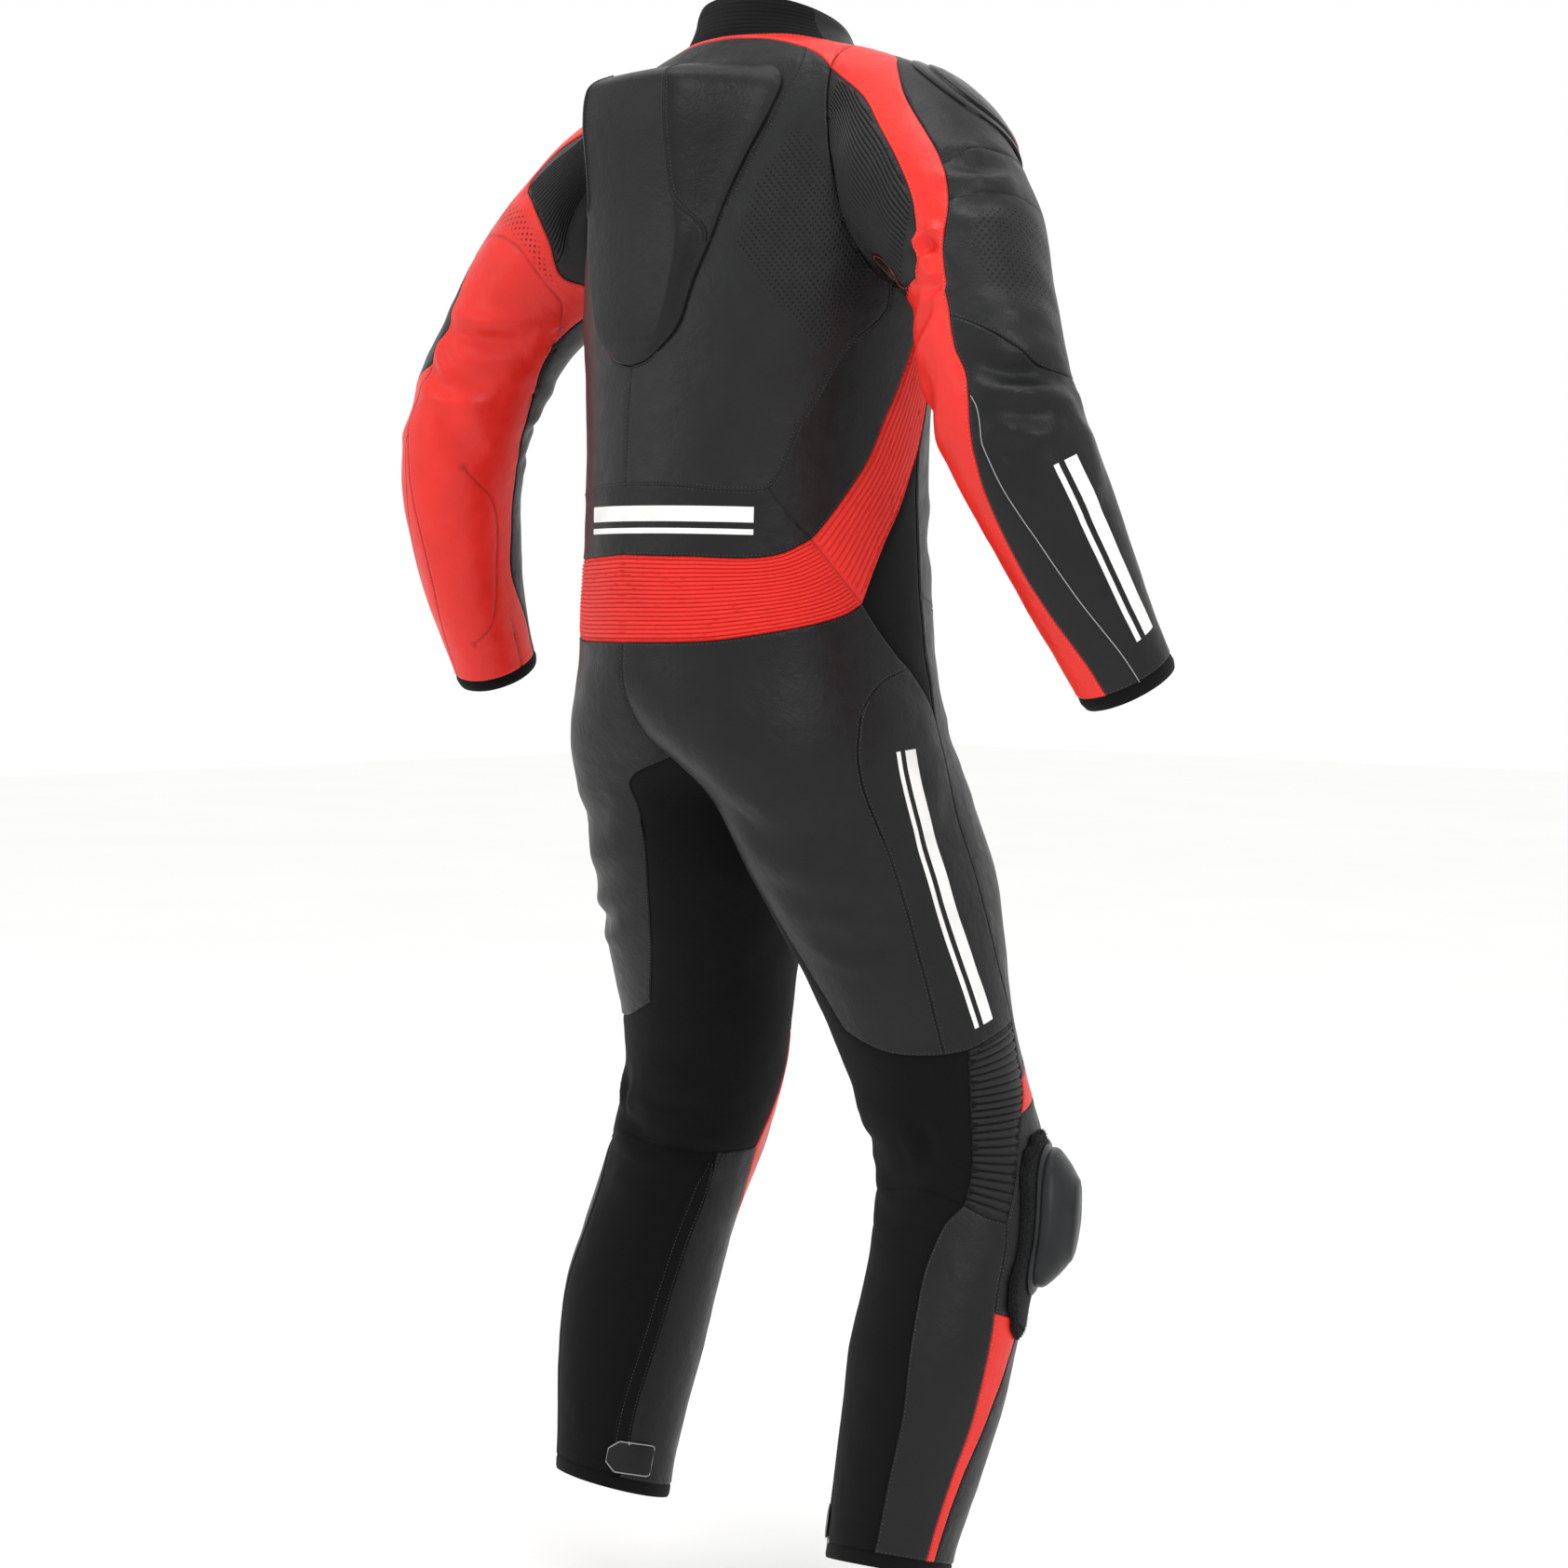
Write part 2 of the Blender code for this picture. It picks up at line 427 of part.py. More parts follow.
def along(line, place):
    """Points at given lengths along a line."""
    way = lengths(line)
    return np.stack([np.interp(place, way, line[:, 0]), np.interp(place, way, line[:, 1])], -1)


def drawn(points):
    """A smooth line through a few points."""
    p = np.array(points, float)
    way = lengths(p)
    if len(p) == 2:
        return p
    at = np.concatenate([np.linspace(a, b, SPAN_POINTS, endpoint=False) for a, b in zip(way, way[1:])] + [way[-1:]])
    return np.stack([smooth(np.stack([way, p[:, k]], -1), 1, at) for k in (0, 1)], -1)


def nearest(line, point):
    """The distance from a point to a line, and the length along the line where it is nearest."""
    way = lengths(line)
    start, step = line[:-1], np.diff(line, axis=0)
    share = np.clip(((point - start) * step).sum(1) / np.maximum((step ** 2).sum(1), 1e-18), 0, 1)
    gap = np.linalg.norm(start + share[:, None] * step - point, axis=1)
    k = int(gap.argmin())
    return gap[k], way[k] + share[k] * (way[k + 1] - way[k])


def filled(stops, spacing):
    """Places from the first stop to the last, through every stop, about one spacing apart."""
    stops = sorted(stops)
    made = [stops[0]]
    for a, b in zip(stops, stops[1:]):
        made.extend(np.linspace(a, b, max(1, round((b - a) / spacing)) + 1)[1:])
    return np.array(made)


class Line:
    """A seam or an edge on a chart, with the stops that other seams made on it."""

    def __init__(self, path, stops=None):
        self.path = path
        self.fixed = stops is not None
        self.stops = list(stops) if self.fixed else [0.0, float(lengths(path)[-1])]

    def stop_near(self, point):
        """The stop at which a seam ends that comes to this line, or None if it is too far off."""
        gap, place = nearest(self.path, point)
        if gap > SNAP:
            return None
        close = min(self.stops, key=lambda stop: abs(stop - place))
        if self.fixed or abs(close - place) < JOIN:
            return along(self.path, close)
        self.stops.append(place)
        return along(self.path, place)

    def points(self, spacing):
        return self.path if self.fixed else along(self.path, filled(self.stops, spacing))


def edges_of(chart, scale, spacing):
    """The edges of a chart, in order round it, and the armhole as a hole in the trunk's."""
    armhole = filled([-0.5, WING_BACK, WING_FRONT, SLEEVE_FRONT, YOKE_FRONT, YOKE_BACK, BAND_END, BLADE_END, 0.5],
                     0.048)
    belt = filled([0, HIP_STATION, SIDE_STATION, ZIP_STATION, 1], 0.058)
    inseam = filled([HEM, HEM_STATION, KNEE_STATION, CROTCH], 0.031)
    under = filled([0, CUFF_STATION, SLEEVE_END], 0.027)
    size = np.array([scale, 1])

    def fixed(rows, stations):
        path = np.array(rows, float) * size
        way = lengths(path)
        return Line(path, [way[k] for k in stations])

    def free(rows):
        return Line(np.array(rows, float) * size)

    def marks(values, chosen):
        return [int(np.abs(values - c).argmin()) for c in chosen]

    if chart == "trunk":
        turn = marks(armhole, [WING_BACK, WING_FRONT, SLEEVE_FRONT, YOKE_FRONT, YOKE_BACK, BAND_END])
        ring = fixed([armhole_chart(u) for u in armhole], turn)
        belt_line = [(math.pi * t, WAIST) for t in belt[::-1]]
        marked = marks(belt[::-1], [HIP_STATION, SIDE_STATION, ZIP_STATION])
        return [free([(0, WAIST), (0, COLLAR_TOP)]), free([(0, COLLAR_TOP), (math.pi, COLLAR_TOP)]),
                free([(math.pi, COLLAR_TOP), (math.pi, WAIST)]), fixed(belt_line, marked)], ring
    if chart == "leg":
        heights = CROTCH + (WAIST - CROTCH) * np.linspace(0, 1, 60) ** 2
        back = [(float(inseam_share(z)), z) for z in heights]
        front = [(1 - float(inseam_share(z)), z) for z in heights[::-1]]
        top = [waist(t) for t in belt]
        return [free(back), fixed(top, marks(belt, [HIP_STATION, SIDE_STATION, ZIP_STATION])), free(front),
                fixed([(1, z) for z in inseam[::-1]], marks(inseam[::-1], [HEM_STATION, KNEE_STATION])),
                free([(1, HEM), (0, HEM)]),
                fixed([(0, z) for z in inseam], marks(inseam, [HEM_STATION, KNEE_STATION]))], None
    turn = marks(armhole, [WING_BACK, SLEEVE_FRONT, YOKE_FRONT, YOKE_BACK, BLADE_END])
    return [fixed([(u, 0) for u in armhole], turn),
            fixed([(0.5, s) for s in under], marks(under, [CUFF_STATION])), free([(0.5, SLEEVE_END), (-0.5, SLEEVE_END)]),
            fixed([(-0.5, s) for s in under[::-1]], marks(under[::-1], [CUFF_STATION]))], None


def inside(points, ring):
    """Which points lie inside a closed ring."""
    x, y = points[:, 0][:, None], points[:, 1][:, None]
    a, b = ring, np.roll(ring, -1, axis=0)
    crosses = (a[:, 1] > y) != (b[:, 1] > y)
    with np.errstate(divide="ignore", invalid="ignore"):
        at = a[:, 0] + (y - a[:, 1]) * (b[:, 0] - a[:, 0]) / (b[:, 1] - a[:, 1])
    return (crosses & (x < at)).sum(1) % 2 == 1


def hex_grid(low, high, spacing):
    rows = np.arange(low[1], high[1], spacing * math.sqrt(3) / 2)
    made = [np.stack([np.arange(low[0] + (k % 2) * spacing / 2, high[0], spacing), np.full(
        len(np.arange(low[0] + (k % 2) * spacing / 2, high[0], spacing)), y)], -1) for k, y in enumerate(rows)]
    return np.concatenate(made)


def mesh_lines(lines, ring, hole_ring, spacing):
    """Triangles between lines. Each line is its points and whether it parts panels."""
    index, points, edges, barrier = {}, [], [], []

    def number(p):
        key = (round(float(p[0]), 7), round(float(p[1]), 7))
        if key not in index:
            index[key] = len(points)
            points.append(p)
        return index[key]

    for line, parts in lines:
        numbers = [number(p) for p in line]
        for a, b in zip(numbers, numbers[1:]):
            if a != b:
                edges.append((a, b))
                barrier.append(parts)
    fixed = np.array(points)
    grid = hex_grid(ring.min(0), ring.max(0), spacing)
    grid = grid[inside(grid, ring)]
    if hole_ring is not None:
        grid = grid[~inside(grid, hole_ring)]
    far = np.array([np.linalg.norm(fixed - g, axis=1).min() > 0.66 * spacing for g in grid], bool)
    every = np.concatenate([fixed, grid[far]])
    verts, made_edges, faces, origin, edge_origin, _ = delaunay_2d_cdt(
        [Vector(p) for p in every], edges, [], 0, 1e-7, True)
    made = np.array([every[o[0]] if o else tuple(v) for v, o in zip(verts, origin)])
    faces = np.array(faces)
    corner = made[faces]
    side, other = corner[:, 1] - corner[:, 0], corner[:, 2] - corner[:, 0]
    middle = corner.mean(1)
    keep = inside(middle, ring) & (np.abs(side[:, 0] * other[:, 1] - side[:, 1] * other[:, 0]) > SLIVER)
    if hole_ring is not None:
        keep &= ~inside(middle, hole_ring)
    walls = {tuple(sorted(e)) for e, o in zip(made_edges, edge_origin) if any(barrier[k] for k in o)}
    return made, faces[keep], walls


def rib_lines(row, laid, left):
    """The crests and valleys of one ribbed panel, as points on the chart with the height of each line."""
    chart, first, second, way, count, start, end, rise, spacing = row

    def border(name, low, high):
        path = laid[name].path if name in laid else drawn(
            np.array(side_rows(name, RIB_BORDERS.get(name), left)) * (CHARTS[chart][1], 1))
        total = lengths(path)[-1]
        return lambda t: along(path, (low + np.asarray(t) * (high - low)) * total)

    one, two = border(*first), border(*second)
    inner = np.arange(1, 2 * count) / (2 * count)
    for k, share in enumerate(inner):
        if way == "along":
            run = lengths(one(np.linspace(start, end, 40)))[-1]
            t = np.linspace(start, end, max(2, round(run / spacing)) + 1)
            line = (1 - share) * one(t) + share * two(t)
        else:
            a, b = one(share), two(share)
            t = np.linspace(start, end, max(1, round(float(np.linalg.norm(b - a)) / spacing)) + 1)[:, None]
            line = (1 - t) * a + t * b
        yield line, rise * (1 - k % 2)


def side_rows(name, rows, left):
    """A seam's points on one side of the suit."""
    return LEFT_ARM.get(name, rows) if left else rows


def chart_mesh(chart, left):
    """One chart of one half, cut along its seams: points on it, faces, seam edges, raised points."""
    _, scale, spacing = CHARTS[chart]
    size = np.array([scale, 1])
    edges, ring_line = edges_of(chart, scale, spacing)
    laid = {}
    for name, where, rows in SEAMS:
        if where != chart:
            continue
        rows = side_rows(name, rows, left)
        control = np.array(rows, float) * ((DEGREE * scale, 1) if chart == "trunk" else (scale, 1))
        for end in (0, -1):
            stops = [line.stop_near(control[end]) for line in [*edges, *([ring_line] if ring_line else []),
                                                              *laid.values()]]
            stops = [p for p in stops if p is not None]
            if stops:
                control[end] = min(stops, key=lambda p: np.linalg.norm(p - control[end]))
        laid[name] = Line(drawn(control))
    ring = np.concatenate([line.points(spacing)[:-1] for line in edges])
    hole_ring = ring_line.path if ring_line else None
    lines = [(np.concatenate([ring, ring[:1]]), True)]
    if ring_line:
        lines.append((np.concatenate([hole_ring, hole_ring[:1]]), True))
    lines += [(line.points(spacing), True) for line in laid.values()]
    for where, crest, _, _ in FOLDS:
        if where == chart:
            points = np.array(crest, float) * ((DEGREE * scale, 1) if chart == "trunk" else (scale, 1))
            path = drawn(points)
            lines.append((along(path, filled([0, lengths(path)[-1]], spacing)), False))
    raised = []
    for row in RIBS:
        if row[0] == chart:
            for line, height in rib_lines(row, laid, left):
                lines.append((line, False))
                raised += [(p, height) for p in line]
    points, faces, walls = mesh_lines(lines, ring, hole_ring, spacing)
    lift = np.zeros(len(points))
    if raised:
        heights = {(round(float(p[0]), 6), round(float(p[1]), 6)): h for p, h in raised}
        lift = np.array([heights.get((round(float(p[0]), 6), round(float(p[1]), 6)), 0.0) for p in points])
    return points / size, faces, walls, lift


class HalfSuit:
    """One half's surface as a left half, welded from its charts: places, faces pointing out and seam edges."""

    def __init__(self, left):
        self.index, self.places, self.lift = {}, [], []
        self.faces, self.walls, self.charted = [], set(), {}
        for chart, (surface, scale, _) in CHARTS.items():
            points, faces, walls, lift = chart_mesh(chart, left)
            places = surface(points[:, 0], points[:, 1])
            places[np.abs(places[:, 0]) < 2e-5, 0] = 0
            numbers = [self.number(p, h) for p, h in zip(places, lift)]
            first = len(self.faces)
            self.faces += [tuple(numbers[k] for k in reversed(f)) for f in faces]
            self.walls |= {tuple(sorted((numbers[a], numbers[b]))) for a, b in walls
                           if not open_join(chart, points[a], points[b])}
            self.charted[chart] = (points * (scale, 1), faces, first, dict(zip(numbers, points)))
        self.places = np.array(self.places)
        self.lift = np.array(self.lift)
        self.fold()
        self.normals = self.point_normals()

    def number(self, place, lift):
        key = tuple(np.round(place, 6) + 0.0)
        if key not in self.index:
            self.index[key] = len(self.places)
            self.places.append(place)
            self.lift.append(lift)
        return self.index[key]

    def add_point(self, chart, point):
        """One more point of the plain surface, for a net on the inside."""
        place, normal = surface_with_normals(chart, point[0], point[1])
        if abs(place[0]) < 2e-5:
            place[0] = 0
            normal = normal * (0, 1, 1) / np.linalg.norm(normal[1:])
        self.places = np.concatenate([self.places, place[None]])
        self.normals = np.concatenate([self.normals, normal[None]])
        self.lift = np.concatenate([self.lift, [0.0]])
        return len(self.places) - 1

    def point_normals(self):
        p, f = self.places, np.array(self.faces)
        face = np.cross(p[f[:, 1]] - p[f[:, 0]], p[f[:, 2]] - p[f[:, 0]])
        normals = np.zeros_like(p)
        for k in range(3):
            np.add.at(normals, f[:, k], face)
        normals[self.places[:, 0] == 0, 0] = 0
        return normals / np.linalg.norm(normals, axis=1, keepdims=True)

    def fold(self):
        """Press the largest folds into the surface."""
        normals = self.point_normals()
        move = np.zeros(len(self.places))
        for chart, crest, height, width in FOLDS:
            surface, scale, _ = CHARTS[chart]
            unit = (DEGREE, 1) if chart == "trunk" else (1, 1)
            points = drawn(np.array(crest, float) * unit * (scale, 1)) / (scale, 1)
            line = surface(points[:, 0], points[:, 1])
            gap = np.linalg.norm(self.places[:, None] - line[None], axis=2)
            near = gap.argmin(1)
            taper = np.sin(math.pi * np.clip(near / (len(line) - 1), 0.04, 0.96))
            move += height * taper * np.exp(-(gap.min(1) / width) ** 2)
        self.places = self.places + normals * move[:, None]

    def flood(self, start):
        """The faces that can be reached from one without crossing a seam."""
        sides = {}
        for k, face in enumerate(self.faces):
            for a, b in zip(face, face[1:] + face[:1]):
                sides.setdefault(tuple(sorted((a, b))), []).append(k)
        reached, waiting = {start}, [start]
        while waiting:
            face = self.faces[waiting.pop()]
            for a, b in zip(face, face[1:] + face[:1]):
                edge = tuple(sorted((a, b)))
                if edge in self.walls:
                    continue
                for other in sides[edge]:
                    if other not in reached:
                        reached.add(other)
                        waiting.append(other)
        return reached

    def face_at(self, chart, point):
        points, faces, first, _ = self.charted[chart]
        spot = np.array(point, float) * (CHARTS[chart][1], 1)
        a, b, c = (points[faces[:, k]] for k in range(3))

        def turn(p, q):
            return (q[:, 0] - p[:, 0]) * (spot[1] - p[:, 1]) - (q[:, 1] - p[:, 1]) * (spot[0] - p[:, 0])

        signs = np.stack([turn(a, b), turn(b, c), turn(c, a)])
        return first + int(((signs >= 0).all(0) | (signs <= 0).all(0)).argmax())


def open_join(chart, a, b):
    """Whether a chart's edge between two points is joined to another chart without a seam."""
    on_waist = abs(a[1] - WAIST) < 1e-6 and abs(b[1] - WAIST) < 1e-6 and chart in ("trunk", "leg")
    on_inseam = chart == "leg" and a[0] == b[0] and a[0] in (0, 1) and max(a[1], b[1]) < CROTCH + 1e-6
    on_under = chart == "arm" and a[0] == b[0] and abs(a[0]) == 0.5
    return on_waist or on_inseam or on_under


def panel_faces(half):
    """The faces of each panel of the left half."""
    found, taken = {}, set()
    for name, chart, spot, *_ in PANELS:
        unit = (DEGREE, 1) if chart == "trunk" else (1, 1)
        faces = half.flood(half.face_at(chart, np.array(spot) * unit))
        assert not faces & taken, name
        found[name] = faces
        taken |= faces
    return found


def boundary(faces):
    """Directed edges that only one face has, as loops."""
    edges = {}
    for face in faces:
        for a, b in zip(face, face[1:] + face[:1]):
            edges[(a, b)] = True
    step = {}
    for a, b in edges:
        if (b, a) not in edges:
            assert a not in step, "a panel touches itself"
            step[a] = b
    loops = []
    while step:
        start, loop = next(iter(step)), []
        at = start
        while at in step:
            loop.append(at)
            at = step.pop(at)
        loops.append(loop)
    return loops


def plain_inside(half, chart, faces):
    """Faces for the plain inside of a ribbed panel, with the panel's own outline and none of its ribs."""
    surface, scale, spacing = CHARTS[chart]
    charted = half.charted[chart][-1]
    made = []
    for loop in boundary(faces):
        centre = [half.places[k][0] == 0 for k in loop]
        count = len(loop)
        loop = [k for i, k in enumerate(loop)
                if not (centre[i] and centre[i - 1] and centre[(i + 1) % count])]
        ring = np.array([charted[k] for k in loop]) * (scale, 1)
        closed = np.concatenate([ring, ring[:1]])
        points, net, _ = mesh_lines([(closed, True)], ring, None, spacing)
        place_of = {(round(float(p[0]), 6), round(float(p[1]), 6)): k for p, k in zip(ring, loop)}
        numbers = []
        for point in points:
            key = (round(float(point[0]), 6), round(float(point[1]), 6))
            numbers.append(place_of[key] if key in place_of else half.add_point(chart, point / (scale, 1)))
        made += [tuple(numbers[k] for k in reversed(face)) for face in net]
    return made


def doubled(places, faces):
    """The mirrored twins of a net's faces, and for each point the number of its twin."""
    centre = places[:, 0] == 0
    twin = np.where(centre, np.arange(len(places)), len(places) + np.cumsum(~centre) - 1)
    return centre, faces + [tuple(int(twin[k]) for k in reversed(f)) for f in faces]


def inset(places, normals, loops):
    """How far each point of a panel's edge moves in from the seam line, to leave a gap to its neighbour."""
    shift = np.zeros_like(places)
    for loop in loops:
        ring = np.array(loop)
        here = places[ring]
        sides = []
        for edge in (here - places[np.roll(ring, 1)], places[np.roll(ring, -1)] - here):
            side = np.cross(normals[ring], edge)
            sides.append(side / np.linalg.norm(side, axis=1, keepdims=True))
        inward = sides[0] + sides[1]
        size = np.linalg.norm(inward, axis=1, keepdims=True)
        shift[ring] = inward / size / np.maximum(size / 2, SHARPEST) * SEAM_GAP / 2
    return shift


def panel_solid(half, outside, inner, both, wall, raised):
    """The points and faces of one cut panel of the wearer's left, or of both sides joined."""
    used = sorted({k for f in outside + inner for k in f})
    local = {k: i for i, k in enumerate(used)}
    places = np.array([half.places[k] for k in used])
    normals = np.array([half.normals[k] for k in used])
    lift = np.array([half.lift[k] for k in used]) + raised
    outside, inner = ([tuple(local[k] for k in f) for f in net] for net in (outside, inner))
    if both:
        centre, outside = doubled(places, outside)
        centre, inner = doubled(places, inner)
        flip = (-1, 1, 1)
        places = np.concatenate([places, places[~centre] * flip])
        normals = np.concatenate([normals, normals[~centre] * flip])
        lift = np.concatenate([lift, lift[~centre]])
    loops = boundary(outside)
    places = places + inset(places, normals, loops)
    count = len(places)
    solid = outside + [tuple(count + k for k in reversed(f)) for f in inner]
    for loop in loops:
        solid += [(b, a, count + a, count + b) for a, b in zip(loop, loop[1:] + loop[:1])]
    return np.concatenate([places + normals * lift[:, None], places - normals * wall]), solid


def material(name):
    made = bpy.data.materials.get(name)
    if made is None:
        colour, roughness, metallic = FINISHES[name]
        made = bpy.data.materials.new(name)
        made.use_nodes = True
        shader = made.node_tree.nodes["Principled BSDF"]
        shader.inputs["Base Color"].default_value = (*colour, 1)
        shader.inputs["Roughness"].default_value = roughness
        shader.inputs["Metallic"].default_value = metallic
    return made


def add_object(name, places, faces, finish, mirrored=False):
    places = np.array(places) - (0, 0, ORIGIN_HEIGHT)
    if mirrored:
        places = places * (-1, 1, 1)
        faces = [tuple(reversed(f)) for f in faces]
    mesh = bpy.data.meshes.new(name)
    mesh.from_pydata([tuple(p) for p in places], [], faces)
    shaped = bmesh.new()
    shaped.from_mesh(mesh)
    bmesh.ops.delete(shaped, geom=[v for v in shaped.verts if not v.link_faces], context="VERTS")
    bmesh.ops.triangulate(shaped, faces=shaped.faces[:])
    shaped.to_mesh(mesh)
    shaped.free()
    mesh.shade_smooth()
    mesh.set_sharp_from_angle(angle=math.radians(40))
    mesh.materials.append(material(finish))
    made = bpy.data.objects.new(name, mesh)
    bpy.data.collections[COLLECTION].objects.link(made)
    return made


def surface_with_normals(chart, a, b):
    """Points on a chart's surface and the directions out of it."""
    surface, scale, _ = CHARTS[chart]
    reach = 0.001
    across = surface(a + reach / scale, b) - surface(a - reach / scale, b)
    up = surface(a, b + reach) - surface(a, b - reach)
    out = np.cross(up, across)
    return surface(a, b), out / np.linalg.norm(out, axis=-1, keepdims=True)


def closed_pad(lower, upper):
    """Points and faces of a pad between two nets with a middle point and rings."""
    rings, sides = lower.shape[:2]
    places = np.concatenate([lower[:1, 0], lower[1:].reshape(-1, 3), upper[:1, 0], upper[1:].reshape(-1, 3)])
    count = 1 + (rings - 1) * sides
    faces = []
    for base, turned in ((0, True), (count, False)):
        def at(ring, side):
            return base if ring == 0 else base + 1 + (ring - 1) * sides + side % sides
        for ring in range(rings - 1):
            for side in range(sides):
                corner = [at(ring, side), at(ring, side + 1), at(ring + 1, side + 1), at(ring + 1, side)]
                corner = list(dict.fromkeys(corner))
                faces.append(tuple(reversed(corner)) if turned else tuple(corner))
    first = 1 + (rings - 2) * sides
    for side in range(sides):
        a, b = first + side, first + (side + 1) % sides
        faces.append((count + a, count + b, b, a))
    return places, faces


def pad(row):
    _, chart, middle, half, power, lift, rise, edge, _ = row
    scale = CHARTS[chart][1]
    angle = np.arange(PAD_SIDES) * 2 * math.pi / PAD_SIDES
    reach = np.linspace(0, 1, PAD_RINGS + 1)[:, None]
    c, s = np.cos(angle), np.sin(angle)
    x = np.sign(c) * np.abs(c) ** (2 / power) * half[0] / scale
    y = np.sign(s) * np.abs(s) ** (2 / power) * half[1]
    places, normals = surface_with_normals(chart, middle[0] + reach * x, middle[1] + reach * y)
    height = edge + (rise - edge) * (1 - reach ** 3)[..., None]
    return closed_pad(places + normals * lift, places + normals * (lift + height))


def hump():
    """The hump, a shield that stands off the upper back: a net over its whole width and a plain foot."""
    v = np.linspace(HUMP[0, 0], HUMP[-1, 0], HUMP_ROWS)
    crown, foot, rise = (smooth(HUMP, k, v)[:, None] for k in (1, 2, 3))
    share = np.linspace(-1, 1, HUMP_COLUMNS + 1)[None]
    width = foot * share
    angle = np.arcsin(width / smooth(TRUNK, 2, v)[:, None])
    places, normals = surface_with_normals("trunk", angle, v[:, None])
    slope = ease((foot - np.abs(width)) / (foot - crown))
    out = np.array([0.0, 1.0, 0.0])
    lower = places + normals * SEAT_GAP
    upper = lower + out * (HUMP_EDGE + (rise - HUMP_EDGE) * slope)[..., None]
    rows, columns = upper.shape[:2]
    count = rows * columns
    faces = []
    for j in range(rows - 1):
        for i in range(columns - 1):
            k = j * columns + i
            faces.append((k, k + 1, k + columns + 1, k + columns))
            faces.append((count + k, count + k + columns, count + k + columns + 1, count + k + 1))
    rim = [(0, i) for i in range(columns)] + [(j, columns - 1) for j in range(1, rows)]
    rim += [(rows - 1, i) for i in range(columns - 2, -1, -1)] + [(j, 0) for j in range(rows - 2, 0, -1)]
    rim = [j * columns + i for j, i in rim]
    for a, b in zip(rim, rim[1:] + rim[:1]):
        faces.append((b, a, count + a, count + b))
    return np.concatenate([lower.reshape(-1, 3), upper.reshape(-1, 3)]), faces


def main():
    for old in list(bpy.data.objects):
        bpy.data.objects.remove(old, do_unlink=True)
    bpy.context.scene.collection.children.link(bpy.data.collections.new(COLLECTION))
    for left in (True, False):
        half = HalfSuit(left)
        found = panel_faces(half)
        for name, chart, _, both, wall, raised, *finishes in PANELS:
            if both and not left:
                continue
            faces = [half.faces[k] for k in sorted(found[name])]
            inner = plain_inside(half, chart, faces) if name in RIBBED else faces
            places, solid = panel_solid(half, faces, inner, both, wall, raised)
            full = name if both else name + ("_l" if left else "_r")
            add_object(full, places, solid, finishes[0] if left else finishes[1], mirrored=not left)
    for row in PADS:
        places, faces = pad(row)
        add_object(row[0] + "_l", places, faces, row[-1])
        add_object(row[0] + "_r", places, faces, row[-1], mirrored=True)
    places, faces = hump()
    add_object("hump", places, faces, "black_leather")


main()
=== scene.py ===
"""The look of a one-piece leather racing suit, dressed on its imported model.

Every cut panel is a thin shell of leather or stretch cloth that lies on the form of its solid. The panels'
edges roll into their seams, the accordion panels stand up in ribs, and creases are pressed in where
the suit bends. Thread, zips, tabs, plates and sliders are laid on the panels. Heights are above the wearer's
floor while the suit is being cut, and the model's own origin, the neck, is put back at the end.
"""
import logging
import math
from collections.abc import Callable, Sequence
from dataclasses import dataclass, field
from enum import Enum
from functools import cached_property
from typing import Any

import bpy
import numpy as np
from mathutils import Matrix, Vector, kdtree, noise
from mathutils.bvhtree import BVHTree
from mathutils.geometry import delaunay_2d_cdt

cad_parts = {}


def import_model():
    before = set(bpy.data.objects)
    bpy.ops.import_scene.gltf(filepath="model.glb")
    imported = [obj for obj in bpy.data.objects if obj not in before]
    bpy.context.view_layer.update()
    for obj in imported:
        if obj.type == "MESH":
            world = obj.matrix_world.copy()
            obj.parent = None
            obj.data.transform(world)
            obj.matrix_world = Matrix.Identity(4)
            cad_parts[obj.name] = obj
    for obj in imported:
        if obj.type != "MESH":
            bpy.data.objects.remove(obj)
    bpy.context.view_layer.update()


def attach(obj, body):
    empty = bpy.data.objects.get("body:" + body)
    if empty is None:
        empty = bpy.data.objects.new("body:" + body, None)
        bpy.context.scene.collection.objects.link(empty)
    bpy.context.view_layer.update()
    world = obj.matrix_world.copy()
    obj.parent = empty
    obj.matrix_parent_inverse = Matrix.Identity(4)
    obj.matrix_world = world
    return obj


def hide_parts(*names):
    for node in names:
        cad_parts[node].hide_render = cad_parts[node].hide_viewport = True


LOG = logging.getLogger("racing_suit")
Array = np.ndarray
Points = Sequence[tuple[float, float]]
Key = tuple[float, ...]
Faces = list[tuple[int, ...]]
Mesh = tuple[Array, Faces]
Rows = Sequence[tuple[Array, Array, Array]]     # stitches: their middles, their ways and the directions out
Tree, Socket = bpy.types.NodeTree, bpy.types.NodeSocket
MM = 0.001

# Sections of the form, in millimetres
# The trunk: place on the chart, height, half width, middle, depth behind and in front of it
TRUNK = np.array([
    (780, 780, 176, 10, 168, 130), (860, 860, 180, 16, 176, 150), (940, 940, 169, 22, 169, 160),
    (1020, 1020, 160, 23, 167, 162), (1100, 1100, 159, 23, 164, 160), (1180, 1180, 168, 22, 160, 158),
    (1260, 1260, 186, 18, 156, 154), (1340, 1340, 198, 12, 144, 142), (1400, 1400, 202, 6, 130, 122),
    (1445, 1440, 200, 4, 114, 100), (1480, 1462, 190, 4, 100, 83), (1510, 1475, 166, 3, 88, 72),
    (1540, 1485, 130, 1, 80, 66), (1560, 1492, 103, 0, 75, 64), (1585, 1511, 87, 0, 70, 62),
    (1610, 1532, 81, 0, 67, 60),
]) / 1000
